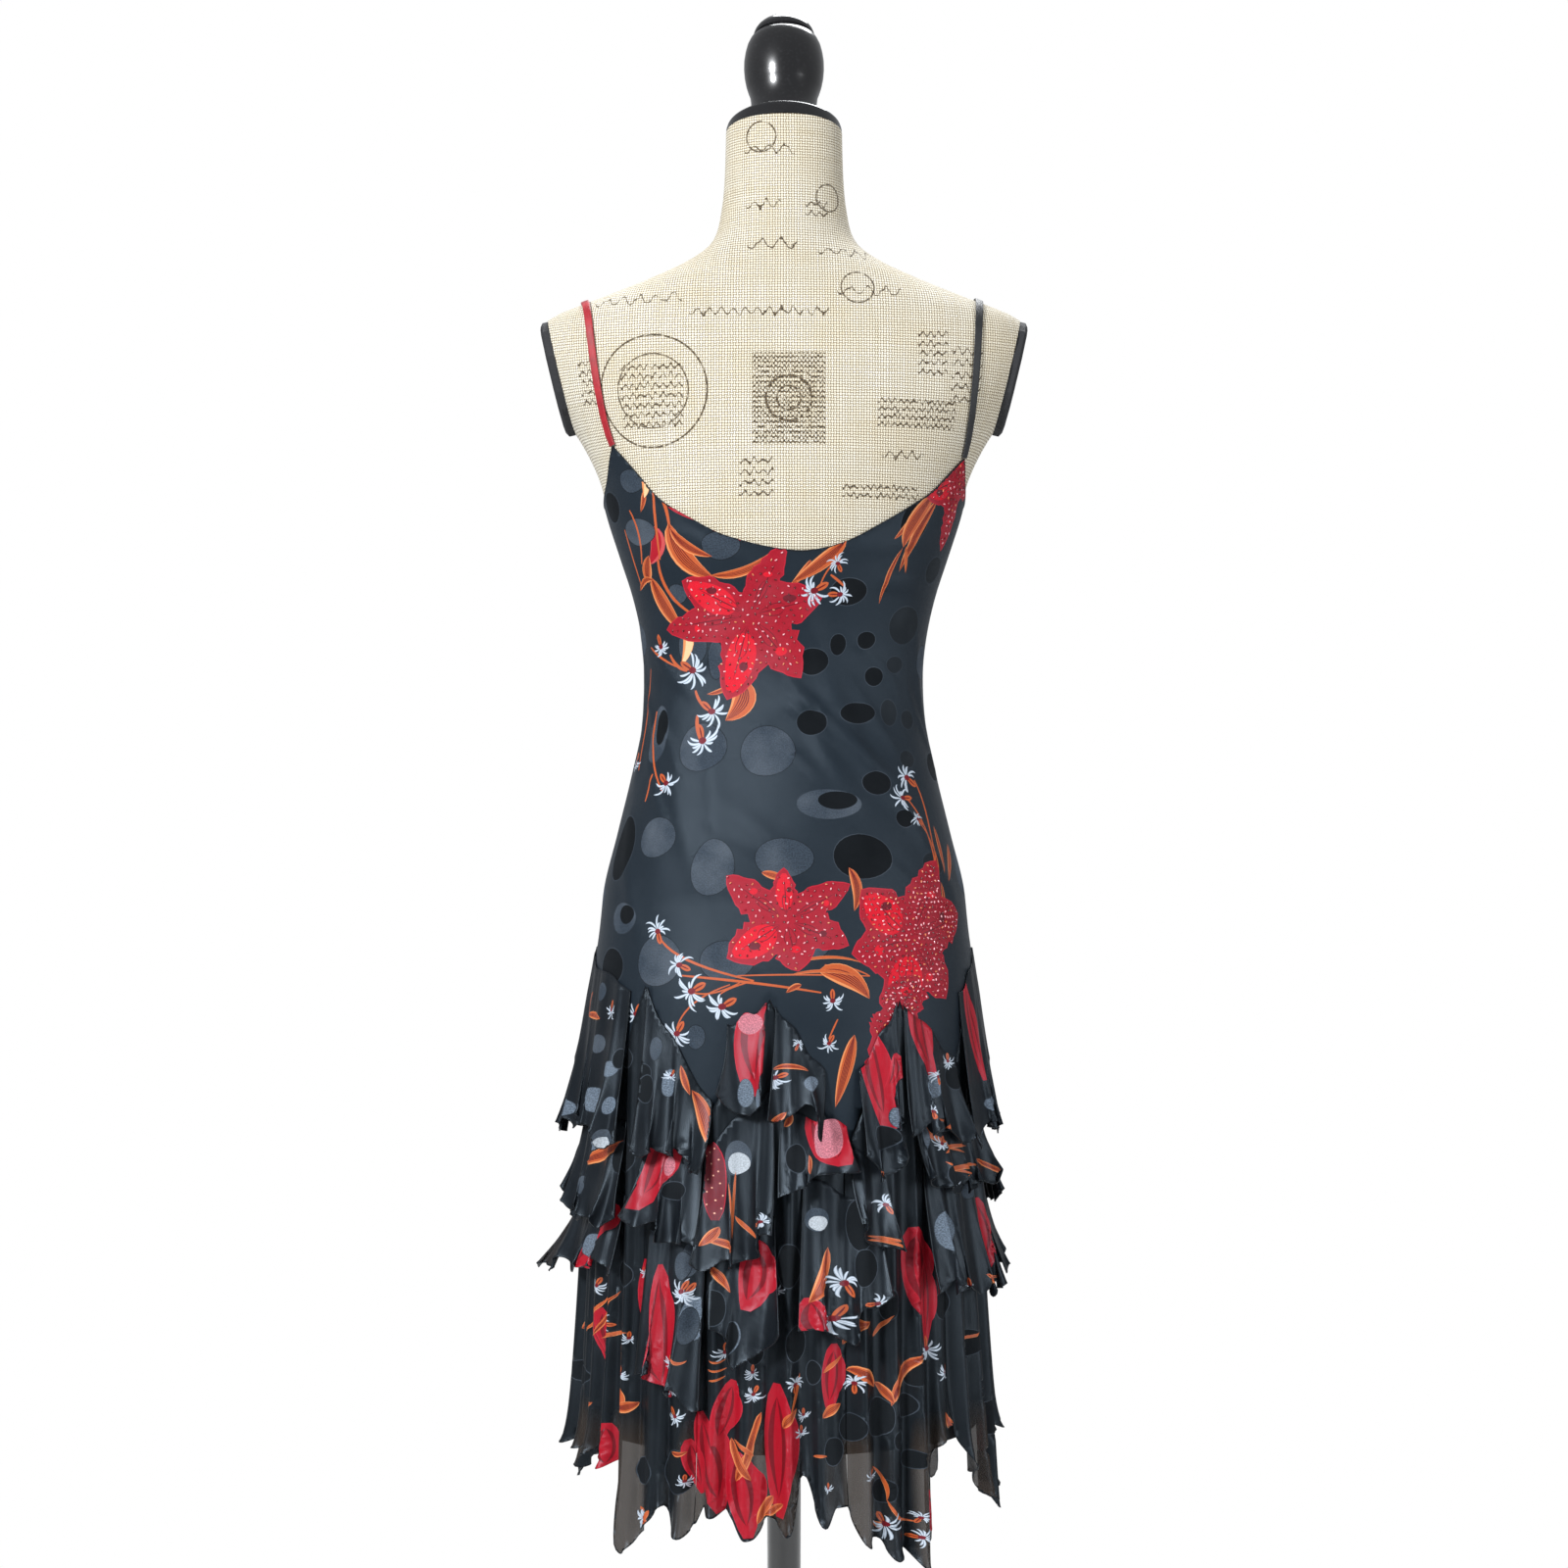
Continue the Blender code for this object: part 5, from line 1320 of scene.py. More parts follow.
def sheet_grid(columns, scale, top, low, step, free_top):
    """Level rows on a sheet's columns, packed close at its free edge. Others end on its edges."""
    first = (top - EDGE_STEPS[-1] * free_top)[:, None]
    last = (low + EDGE_STEPS[-1] * (not free_top))[:, None]
    levels = step * np.arange(math.ceil(top.max() / step), math.floor(low.min() / step) - 1, -1)
    rows = np.where(levels > first - ROW_SNAP * step, first, levels)
    rows = np.where(levels < last + ROW_SNAP * step, last, rows)
    edge_top = [(top - off)[:, None] for off in EDGE_STEPS[:-1] if free_top]
    edge_low = [(low + off)[:, None] for off in EDGE_STEPS[-2::-1] if not free_top]
    grid_v = np.concatenate(edge_top + [rows] + edge_low, axis=1)
    return np.repeat((columns * scale)[:, None], grid_v.shape[1], axis=1), grid_v


def opaque(u, v):
    return 0.0 * u


def build_body(name, centre, mirror):
    left, right = SIDE_SEAM - HALF_TURN, SIDE_SEAM
    keys = [key[0] for key in zigzag_keys()]
    keys += [row[0] + turn for row in TOP_EDGE_ROWS for turn in (-centre, centre)]
    bearings = corners_between(left + SEAM_GAP, right - SEAM_GAP, BODY_COLUMN, keys)
    top, low = top_height(centre + bearings), seam_height(bearings)
    grid_u, grid_v = sheet_grid(bearings, BODY_SCALE, top, low, BODY_ROW, True)
    place = dress_place(centre, BODY_SCALE, crease_out)

    def edge(u, v):
        return top_height(centre + u / BODY_SCALE) - v
    made = cloth_sheet(name, grid_u, grid_v, body_print(centre, mirror), place, edge, opaque,
                       "satin", satin, edge_paint="binding")
    flat, area = as_cut(grid_u, grid_v, place)
    print(name, len(made.data.polygons), "faces, cut", [round(x, 3) for x in flat])
    return made


back_body = build_body("satin_back", 0.0, 1.0)
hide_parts("back_body")
front_body = build_body("satin_front", 180.0, -1.0)
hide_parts("front_body")

# %% [markdown]
# ## The skirt
# Ten godets of chiffon are set into the zigzag seam. Pleats start narrow at the seam and open
# towards the hem, where the cloth is sheer and ends in a narrow rolled edge. All godets are laid
# from one function, and the print is given once for the back and used again on the front.

# %% Print of the godets
SKIRT_SCALE = 0.0029      # metres of the flat plane for each degree
SKIRT_DOTS = (
    ("velvet", 25.8, 0.5096, 11.1, 16.0), ("velvet", 33.8, 0.5168, 8.3, 9.6),
    ("velvet", 31.2, 0.4904, 5.4, 7.2), ("velvet", 35.4, 0.4736, 8.5, 7.2),
    ("velvet", 73.0, 0.4888, 20.0, 14.4), ("velvet", 18.2, 0.5032, 9.9, 11.2),
    ("velvet", -28.4, 0.4656, 13.1, 17.6), ("velvet", -42.6, 0.6736, 8.4, 9.6),
    ("velvet", -48.4, 0.6192, 9.5, 11.2), ("velvet", -39.4, 0.4616, 9.0, 11.2),
    ("velvet", -19.0, 0.6024, 7.4, 13.6), ("velvet", 1.4, 0.6352, 8.8, 17.6),
    ("velvet", 3.2, 0.572, 7.2, 14.4), ("velvet", -49.0, 0.716, 10.8, 12.8),
    ("velvet", 2.8, 0.7224, 6.4, 11.2), ("velvet", 22.0, 0.6336, 9.2, 14.4),
    ("velvet", 48.2, 0.5944, 9.5, 12.0), ("velvet", 46.8, 0.7008, 9.1, 10.4),
    ("velvet", -13.6, 0.5792, 8.9, 12.8), ("velvet", -75.4, 0.524, 20.0, 9.6),
    ("pale", -60.0, 0.6392, 10.4, 9.6), ("pale", 41.0, 0.7344, 5.1, 9.6),
    ("velvet", -8.0, 0.564, 6.4, 9.6), ("velvet", 13.2, 0.4848, 7.3, 11.2),
    ("velvet", 26.8, 0.4504, 8.6, 9.6), ("velvet", 60.8, 0.5568, 14.4, 11.2),
    ("velvet", -39.4, 0.7752, 7.0, 11.2), ("velvet", -49.2, 0.7976, 8.4, 8.0),
    ("grey_pile_sheen", -27.8, 0.6328, 7.0, 11.2), ("grey_pile_sheen", -24.6, 0.5856, 6.8, 14.4),
    ("velvet", 29.2, 0.6008, 7.1, 12.8), ("velvet", 36.6, 0.5424, 8.6, 9.6),
    ("velvet", 8.0, 0.548, 5.6, 9.6),
)
SKIRT_STRIPES = (
    (-40.2, 0.6344, -40.2, 0.6016, -39.6, 0.5688, 18.0),
    (-34.6, 0.632, -33.6, 0.5832, -32.0, 0.524, 19.0),
    (-1.8, 0.54, -1.6, 0.4928, -1.0, 0.4336, 22.0),
    (37.2, 0.6616, 38.6, 0.6304, 39.0, 0.5904, 26.0),
    (42.0, 0.6376, 42.2, 0.5968, 41.6, 0.5608, 14.0),
    (77.0, 0.6736, 91.2, 0.6384, 96.4, 0.5976, 12.8),
    (-23.0, 0.5144, -19.2, 0.484, -16.4, 0.4368, 24.0),
    (-12.8, 0.4848, -10.6, 0.4536, -9.2, 0.4168, 25.6),
    (41.0, 0.4448, 41.2, 0.4288, 40.6, 0.4128, 10.4),
    (-52.8, 0.4952, -52.6, 0.4752, -51.8, 0.4576, 18.0),
    (-63.8, 0.588, -60.4, 0.5648, -57.2, 0.5336, 8.0),
    (-84.4, 0.5776, -84.4, 0.5608, -84.8, 0.5432, 8.0),
    (13.6, 0.5712, 13.0, 0.5456, 12.0, 0.5176, 16.0),
    (-61.0, 0.586, -58.5, 0.562, -55.5, 0.538, 15.0),
    (-13.6, 0.5416, -15.6, 0.5176, -18.2, 0.4896, 18.0),
    (-26.2, 0.492, -24.4, 0.4688, -21.6, 0.4496, 14.0),
    (66.0, 0.5296, 68.6, 0.4952, 65.8, 0.464, 10.0),
)
SKIRT_LEAVES = (
    (-47.4, 0.5288, -47.0, 0.516, -47.6, 0.5032, 11.2),
    (28.8, 0.5192, 31.8, 0.544, 39.4, 0.5592, 9.6), (25.0, 0.5336, 21.6, 0.5528, 17.0, 0.5488, 9.6),
    (29.6, 0.5208, 27.4, 0.5344, 25.0, 0.5376, 6.4), (10.2, 0.512, 12.8, 0.5192, 15.2, 0.5224, 8.0),
    (84.6, 0.4528, 84.4, 0.436, 84.2, 0.4176, 8.0),
    (-12.6, 0.4608, -10.6, 0.4768, -8.0, 0.4912, 7.2),
    (-6.6, 0.4336, -2.6, 0.4376, 0.0, 0.4456, 6.4),
    (-27.4, 0.5608, -25.6, 0.5536, -24.0, 0.5584, 2.4),
    (47.2, 0.5064, 49.6, 0.4928, 52.2, 0.4792, 6.4),
    (-79.0, 0.5592, -77.0, 0.568, -78.0, 0.576, 4.2), (-71.0, 0.5608, -64.0, 0.58, -56.6, 0.6, 3.4),
    (-62.6, 0.5616, -58.6, 0.5848, -50.8, 0.604, 4.2),
    (-60.6, 0.5608, -52.2, 0.5696, -45.6, 0.5728, 3.4),
    (-47.6, 0.512, -45.0, 0.5104, -42.4, 0.516, 9.3),
    (-67.8, 0.5032, -64.0, 0.5016, -61.4, 0.5072, 5.1),
    (-48.0, 0.576, -46.6, 0.5576, -47.2, 0.5384, 2.5),
    (-20.0, 0.5576, -18.0, 0.5544, -16.0, 0.5584, 1.7),
    (-20.4, 0.5504, -18.0, 0.548, -15.6, 0.5512, 1.7),
    (-20.0, 0.5416, -18.0, 0.5416, -16.0, 0.5448, 1.7),
    (-30.4, 0.4808, -28.4, 0.4784, -26.2, 0.4824, 4.2),
    (-6.2, 0.5168, -8.6, 0.496, -11.0, 0.4704, 6.0),
    (-14.2, 0.4952, -12.8, 0.4768, -8.8, 0.4616, 7.6),
    (-2.8, 0.4496, -5.4, 0.4416, -7.0, 0.4272, 7.6),
    (-8.2, 0.4808, -10.4, 0.488, -13.4, 0.4944, 3.4), (4.2, 0.548, 3.2, 0.5312, 1.6, 0.5168, 2.5),
    (0.0, 0.5056, 1.0, 0.5136, 3.2, 0.52, 6.0), (10.4, 0.548, 12.6, 0.5528, 15.8, 0.5616, 3.4),
    (16.8, 0.5928, 19.8, 0.5832, 23.6, 0.5872, 9.3),
    (16.0, 0.5696, 17.8, 0.5784, 22.2, 0.5856, 6.0), (24.6, 0.5744, 26.6, 0.5832, 30.4, 0.592, 3.4),
    (23.8, 0.4704, 28.6, 0.4608, 27.6, 0.4424, 2.5), (27.6, 0.444, 29.8, 0.4192, 36.2, 0.4248, 2.5),
    (8.0, 0.4808, 9.8, 0.4824, 11.4, 0.4808, 2.5),
    (-40.8, 0.432, -39.0, 0.4248, -38.4, 0.4192, 3.4),
    (-36.2, 0.4328, -37.2, 0.4256, -38.4, 0.4192, 3.4),
    (27.2, 0.4232, 25.4, 0.4208, 24.0, 0.4264, 5.1), (56.6, 0.5608, 62.0, 0.56, 69.0, 0.566, 2.5),
    (-17.8, 0.6672, -19.2, 0.6576, -21.2, 0.6512, 6.8),
    (-19.6, 0.6352, -17.2, 0.624, -14.8, 0.6136, 6.0),
)
SKIRT_FLOWERS = (
    (-39.6, 0.4232, 10.4, 0), (19.2, 0.5392, 8.8, -90), (-46.8, 0.5384, 7.2, 90),
    (-55.0, 0.576, 8.0, 0), (-27.2, 0.5296, 6.4, 0), (84.0, 0.6288, 7.2, 0),
    (47.6, 0.5384, 7.2, 60), (-16.2, 0.5632, 8.0, 90), (-62.2, 0.604, 8.5, 60),
    (-45.2, 0.568, 5.7, 90), (-30.4, 0.5568, 5.7, 90), (-31.0, 0.5312, 7.6, 60),
    (-29.4, 0.5096, 8.5, 120), (-8.6, 0.548, 6.6, 90), (-8.4, 0.5304, 8.5, 60),
    (-26.6, 0.4584, 5.7, 90), (-27.6, 0.612, 10.4, 60), (-2.2, 0.6144, 8.5, 90),
    (42.2, 0.5592, 11.4, 100), (2.8, 0.54, 7.6, 270), (5.2, 0.5136, 5.7, 90), (4.6, 0.5, 5.7, 90),
    (23.0, 0.4632, 5.7, 60), (27.2, 0.4232, 11.4, 120), (36.2, 0.412, 7.6, 180),
    (36.2, 0.428, 5.7, 240), (11.6, 0.4552, 4.8, 90), (-41.6, 0.6224, 4.8, 90),
)


def red_stripe(points, width):
    """A long red petal: two blades side by side, a lighter edge and two soft darker streaks of
    painted fold shade.
    """
    start, bend, end = points
    left, along = width * turned_left(start, end), np.asarray(end) - np.asarray(start)
    shapes = []
    for paint, more in (("lily_edge", 0.0008), ("red", -0.0008)):
        shapes += [blade(paint, *points, width + more, blunt=0.25),
                   blade(paint, start + 0.15 * along + 0.2 * left, bend + 0.7 * left,
                         end - 0.22 * along + 0.2 * left, 0.55 * width + more, blunt=0.1)]
    # Painted shade: two darker streaks stand for the shade in folds of the cloth.
    for off, wide in ((-0.5, 0.20), (0.45, 0.13)):
        shapes.append(blade("red_fold_shade", start + 0.1 * along, bend + off * left, end - 0.14 * along,
                            wide * width))
    return shapes


STRIPE_BEADS = 18


def deep_stripe(points, width):
    """A dark red strip with rows of small glass beads, drawn as dots."""
    start, bend, end = (np.asarray(point, dtype=float) for point in points)
    left = width * turned_left(start, end)
    shapes = [blade("lily_edge", *points, width + 0.001, blunt=0.2),
              blade("deep", *points, width - 0.001, blunt=0.2)]
    for k, t in enumerate(np.linspace(0.08, 0.92, STRIPE_BEADS)):
        middle = (1 - t) ** 2 * start + 2 * t * (1 - t) * bend + t ** 2 * end
        x, y = middle + (0.24 * ((k * 2) % 3 - 1) + 0.05 * math.sin(5.0 * k)) * left
        shapes.append(oval("bead", 0.0007, 0.0007, x, y, sides=6))
    return shapes


def skirt_curves(rows, make):
    """Blades and leaves of the skirt, each with its middle and its outlines round that."""
    motifs = []
    for row in rows:
        bearings, heights = np.array(row[0:6:2]), np.array(row[1:6:2])
        local = np.column_stack(((bearings - bearings[1]) * SKIRT_SCALE, heights - heights[1]))
        motifs.append((bearings[1], heights[1], make(list(local), MM * row[6])))
    return motifs


def skirt_print():
    """Each motif of the skirt with its middle, on a plane that is the same for every piece."""
    return (dots_of(SKIRT_DOTS) + skirt_curves(SKIRT_STRIPES, red_stripe)
            + skirt_curves(SKIRT_LEAVES, leaf) + flowers_of(SKIRT_FLOWERS, SKIRT_SEED))


def placed(shapes, bearing, height):
    foot = np.array((bearing * SKIRT_SCALE, height))
    return [(paint, foot + outline) for paint, outline in shapes]


godet_print = [shape for bearing, height, shapes in skirt_print()
               for shape in placed(shapes, bearing, height)]
print(len(godet_print), "outlines on the godets")

# %% Godets
SEAM_DROP = 0.0010
SHEER_FROM, SHEER_FULL = 0.520, 0.485     # heights between which the cloth gets sheer
HEM_SHEER = 0.12          # the least of it
HEM_LOBE = 0.014          # how much lower a pleat's fold hangs than its neighbours' bottoms
HEM_CURL = 0.0070         # how far the rolled edge flips out, here and there
CURL_HEIGHT = 0.016
CURLS = 37                # along half of the hem
GODET_COLUMNS, GODET_ROW = (0.49, 0.62), 0.0070   # columns of the back and of the front


def hem_height(bearing):
    return (read(HEM_ROWS, 1, in_half_turn(bearing))
            + HEM_LOBE * (0.45 - pleat_wave(bearing, HEM_ROWS[0][1])[0] ** 0.6))


def hem_sheer(u, v):
    """Sheer below the lining, but only here and there, since folds lie over each other."""
    place = in_half_turn(u / SKIRT_SCALE)
    open_share = np.clip(0.55 + 0.8 * np.sin(0.29 * place + 2.2) + 0.4 * np.sin(0.71 * place), 0, 1)
    below = np.clip((SHEER_FROM - v) / (SHEER_FROM - SHEER_FULL), HEM_SHEER, 1.0)
    return below * (HEM_SHEER + (1.0 - HEM_SHEER) * open_share)


def godet_out(bearing, height):
    """The pleats, and the rolled edge that flips out in small curls."""
    near = np.exp(-np.maximum(height - hem_height(bearing), 0.0) / CURL_HEIGHT)
    curls = 0.5 + 0.5 * np.sin(2.0 * math.pi * CURLS * in_half_turn(bearing) / HALF_TURN)
    return pleat_out(bearing, height) + HEM_CURL * near * curls


def build_godet(side, index, turn):
    left, right = POINTS[index], POINTS[index + 1]
    apex = ZIGZAG_ROWS[index][0]
    keys = [apex] + [row[0] for row in HEM_ROWS]
    bearings = corners_between(left + SEAM_GAP, right - SEAM_GAP, GODET_COLUMNS[turn > 0], keys)
    grid_u, grid_v = sheet_grid(bearings, SKIRT_SCALE, seam_height(bearings) - SEAM_DROP,
                                hem_height(bearings), GODET_ROW, False)
    place = dress_place(turn, SKIRT_SCALE, godet_out)

    def edge(u, v):
        return v - hem_height(u / SKIRT_SCALE)
    name = f"{side}_godet_{index + 1}"
    made = cloth_sheet("chiffon_" + name, grid_u, grid_v, godet_print, place, edge, hem_sheer,
                       "chiffon", chiffon, cloth=CHIFFON_CLOTH)
    flat, area = as_cut(grid_u, grid_v, place)
    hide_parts(name)
    return made


godets = [build_godet(side, index, turn) for side, turn in (("back", 0.0), ("front", 180.0))
          for index in range(len(ZIGZAG_ROWS))]
print(len(godets), "godets of", sum(len(made.data.polygons) for made in godets), "faces")

# %% [markdown]
# ## The flounces
# Three tiers of flounces hang from the seam and the godets. Each is a curved strip: its upper edge
# lies flat, and the longer lower edge leaves the pleats behind it and falls into flutes that swing
# out and over each other. The folds are given one by one: a count of waves and a reach of each
# corner.
# The print of the skirt runs on over them, and each motif goes to the flounce that shows it.

# %% Flounces
# Name, left and right bearing, heights of the upper edge at both ends, heights of the lower edge
# at its left end, middle and right end, how far the two lower corners swing out, flutes
FLOUNCE_ROWS = (
    ("upper_1", -94.5, -48.0, 0.885, 0.856, 0.724, 0.742, 0.728, 0.014, 0.004, 5),
    ("upper_2", -41.5, -20.0, 0.856, 0.764, 0.723, 0.728, 0.708, 0.008, 0.010, 3),
    ("upper_3", -16.0, -5.0, 0.829, 0.845, 0.775, 0.756, 0.770, 0.008, 0.001, 1),
    ("upper_4", -2.5, 11.5, 0.846, 0.790, 0.756, 0.762, 0.742, 0.001, 0.007, 1),
    ("upper_5", 21.0, 33.0, 0.790, 0.845, 0.722, 0.698, 0.745, 0.006, 0.002, 2),
    ("upper_6", 35.0, 57.0, 0.845, 0.790, 0.744, 0.740, 0.727, 0.003, 0.006, 3),
    ("upper_7", 59.5, 80.5, 0.850, 0.882, 0.735, 0.740, 0.730, 0.004, 0.004, 2),
    ("middle_1", -94.0, -48.5, 0.748, 0.748, 0.670, 0.662, 0.665, 0.006, 0.004, 5),
    ("middle_2", -40.5, -23.0, 0.744, 0.730, 0.674, 0.656, 0.650, 0.009, 0.004, 2),
    ("middle_3", -22.0, -3.0, 0.730, 0.778, 0.638, 0.637, 0.660, 0.006, 0.006, 2),
    ("middle_4", -1.0, 17.5, 0.760, 0.748, 0.693, 0.703, 0.718, 0.004, 0.008, 1),
    ("middle_5", 18.5, 28.5, 0.728, 0.718, 0.670, 0.654, 0.650, 0.004, 0.009, 1),
    ("middle_6", 37.5, 74.0, 0.758, 0.752, 0.700, 0.690, 0.695, 0.005, 0.003, 5),
    ("lower_1", -95.0, -48.5, 0.686, 0.686, 0.605, 0.618, 0.628, 0.030, 0.003, 4),
    ("lower_2", -38.5, -21.5, 0.672, 0.660, 0.546, 0.535, 0.524, 0.005, 0.003, 2),
    ("lower_3", -19.5, -2.5, 0.656, 0.676, 0.588, 0.553, 0.588, 0.008, 0.006, 1),
    ("lower_4", 5.0, 27.5, 0.708, 0.678, 0.588, 0.578, 0.615, 0.006, 0.009, 2),
    ("lower_5", 41.5, 72.0, 0.712, 0.710, 0.615, 0.605, 0.600, 0.004, 0.003, 4),
)
FLOUNCE_GAP, FLOUNCE_LIFT = 0.0016, 0.0056
FLOUNCE_FREE = 0.85       # how far a lower edge leaves the pleats behind it, as a share
FLUTE = 0.0150            # how far a flute stands out at the lower edge
FLUTE_SWING = 2.1         # degrees by which it leans over its neighbour
FLUTE_SLANT = 1.4         # how much the flutes run aslant, to one side or the other
FLUTE_CALM = 0.5          # how much flatter they are at the sides of the skirt
FLUTE_RIPPLE = 0.0046     # rise and fall of the lower edge
TOP_RIPPLE = 0.0026       # and of the upper edge
FRONT_REACH = 0.25        # of the corners of the front's flounces, as a share of the back's
FRILL = 0.0024            # half the height of the small ripples along that edge
FLOUNCE_CORNER = 0.4      # how far a corner's swing goes in, as a share of the width
FLOUNCE_COLUMNS, FLOUNCE_ROW = (0.52, 0.66), 0.0054   # columns of the back and of the front
SIDE_STEPS = (0.0, 0.0006, 0.0013)
WIDE_SWING = 0.02         # from which a left corner hangs free of the cloth behind it
CORNER_SHEER = (0.35, 0.9)    # of a left corner, and of one that hangs free
CORNER_REACH = 0.35       # share of the width over which that fades
FRONT_SHEER, LEAST_SHEER = 0.4, 0.10


def flounce_edges(row, share):
    left, _, top_left, top_right, low_left, low_middle, low_right = row[1:8]
    waves = row[10]
    low = np.interp(share, (0.0, 0.5, 1.0), (low_left, low_middle, low_right))
    ripple = FLUTE_RIPPLE * (np.sin(2 * math.pi * waves * share + left)
                             + 0.5 * np.sin(9.0 * waves * share - left))
    top = top_left + (top_right - top_left) * share + TOP_RIPPLE * np.sin(11.0 * share + left)
    return top, low + ripple


def flounce_place(row, turn):
    left, right, out_left, out_right, waves = row[1], row[2], *row[8:]

    def place(u, v):
        bearing = u / SKIRT_SCALE
        share = (bearing - left) / (right - left)
        top, low = flounce_edges(row, share)
        down = np.clip((top - v) / (top - low), 0.0, 1.2)
        corner = (out_left * np.maximum(0.0, 1.0 - share / FLOUNCE_CORNER)
                  + out_right * np.maximum(0.0, 1.0 - (1.0 - share) / FLOUNCE_CORNER))
        corner = corner * (FRONT_REACH if turn else 1.0)
        phase = (2 * math.pi * waves * share + 1.3 * np.sin(2.3 * waves * share + left)
                 + FLUTE_SLANT * down * math.cos(left))
        flute = FLUTE * (0.5 - 0.5 * np.cos(phase)) ** 1.2
        flute = flute * (0.72 + 0.28 * np.sin(1.9 * waves * share + 2.0 * left))
        flute = flute * (1.0 - FLUTE_CALM * np.sin(np.radians(bearing)) ** 6)
        smooth = down * down * (3 - 2 * np.minimum(down, 1.0))
        moved = bearing + FLUTE_SWING * np.sin(phase) * down ** 1.6
        frill = FRILL * (1.0 + 0.6 * np.sin(2.7 * phase + 2.0 * left)
                         + 0.4 * np.sin(4.3 * phase - left)) * down ** 5
        pleats = pleat_out(moved, v)
        crest = straight(PLEAT_ROWS, v)
        pleats = pleats + FLOUNCE_FREE * smooth * np.maximum(crest - pleats, 0.0)
        out = (FLOUNCE_GAP * (0.6 + 0.4 * np.minimum(3.0 * down, 1.0)) + FLOUNCE_LIFT * smooth
               + (corner + flute) * down ** 1.8 + frill + pleats)
        return ring(dress_section(v), moved + turn, v, out)
    return place


def in_flounce(row, bearing, height):
    share = (bearing - row[1]) / (row[2] - row[1])
    top, low = flounce_edges(row, share)
    return 0.0 < share < 1.0 and low < height < top


def build_flounce(side, row, turn, motifs):
    left, right = row[1:3]
    bearings = corners_between(left, right, FLOUNCE_COLUMNS[turn > 0], [0.5 * (left + right)])
    columns = np.concatenate(([left + off / SKIRT_SCALE for off in SIDE_STEPS], bearings[1:-1],
                              [right - off / SKIRT_SCALE for off in SIDE_STEPS[::-1]]))
    top, low = flounce_edges(row, (columns - left) / (right - left))
    grid_u, grid_v = sheet_grid(columns, SKIRT_SCALE, top, low, FLOUNCE_ROW, False)
    place = flounce_place(row, turn)

    def edge(u, v):
        bearing = u / SKIRT_SCALE
        low_edge = flounce_edges(row, (bearing - left) / (right - left))[1]
        return np.minimum(v - low_edge, np.minimum(bearing - left, right - bearing) * SKIRT_SCALE)

    def sheer(u, v):
        share = (u / SKIRT_SCALE - left) / (right - left)
        thin = CORNER_SHEER[row[8] > WIDE_SWING] * (FRONT_SHEER if turn else 1.0)
        return np.clip(thin * (1.0 - share / CORNER_REACH), LEAST_SHEER, 1.0)
    name = f"{side}_{row[0]}_flounce"
    made = cloth_sheet("chiffon_" + name, grid_u, grid_v, motifs, place, edge, sheer,
                       "flounce", chiffon, cloth=CHIFFON_CLOTH)
    flat, area = as_cut(grid_u, grid_v, place)
    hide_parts(name)
    return made


print(len(FLOUNCE_ROWS), "flounces on each side")

# %% Print of the flounces
FLOUNCE_DOTS = (
    ("grey_pile_sheen", -63.8, 0.8504, 8.1, 7.9), ("grey_pile_sheen", -62.0, 0.8072, 9.3, 7.9),
    ("pale", -52.8, 0.7888, 9.3, 6.3), ("pale", -60.4, 0.7608, 15.7, 10.3),
    ("pale", -84.0, 0.7472, 16.0, 7.9), ("pale", -50.4, 0.7592, 5.0, 7.1),
    ("pale", -65.0, 0.7248, 13.2, 7.9), ("split", -50.6, 0.7304, 6.3, 9.5),
    ("pale", -19.0, 0.788, 5.0, 11.9), ("pale", -32.4, 0.7808, 4.5, 11.1),
    ("grey_pile_sheen", -37.2, 0.808, 5.8, 9.5), ("velvet", -41.2, 0.7872, 8.2, 7.9),
    ("velvet", -15.4, 0.7632, 6.5, 9.5), ("pale", -11.2, 0.7752, 4.8, 11.1),
    ("pale", -7.2, 0.7672, 5.6, 12.6), ("split", -12.8, 0.7216, 10.5, 14.2),
    ("pale", -23.0, 0.6688, 10.9, 9.5), ("velvet", -35.8, 0.664, 9.5, 6.3),
    ("grey_pile_sheen", -25.6, 0.6384, 6.9, 14.2), ("pale", -23.4, 0.5912, 10.1, 17.4),
    ("pale", -12.6, 0.5792, 7.3, 12.6), ("pale", 7.0, 0.7824, 7.2, 5.5),
    ("velvet", 10.8, 0.8344, 10.5, 11.1), ("velvet", 21.0, 0.6672, 11.7, 20.5),
    ("velvet", 13.4, 0.7072, 9.7, 7.9), ("pale", 30.0, 0.7536, 3.5, 7.9),
    ("pale", 42.6, 0.7752, 8.4, 9.5), ("pale", 47.0, 0.6568, 10.3, 15.8),
    ("pale", 66.0, 0.736, 11.6, 9.5), ("grey_pile_sheen", 61.0, 0.684, 10.8, 6.3),
    ("split", 9.0, 0.672, 9.6, 9.5), ("grey_pile_sheen", 10.0, 0.5848, 9.6, 15.8),
    ("pale", 70.6, 0.7552, 16.0, 5.5), ("grey_pile_sheen", 43.6, 0.5696, 6.4, 6.3),
    ("velvet", 32.8, 0.5848, 9.1, 6.3), ("velvet", 27.0, 0.7376, 8.7, 9.5),
    ("velvet", 34.6, 0.7768, 7.4, 11.1), ("velvet", 53.2, 0.7808, 10.8, 9.5),
    ("grey_pile_sheen", -46.4, 0.6936, 10.2, 9.5), ("grey_pile_sheen", -69.2, 0.6856, 16.0, 7.9),
    ("velvet", -29.8, 0.6936, 9.7, 7.1), ("pink", -9.4, 0.8304, 10.4, 8.7),
    ("pink", -32.0, 0.7128, 4.5, 7.9), ("pink", 12.2, 0.7392, 10.5, 17.4),
)
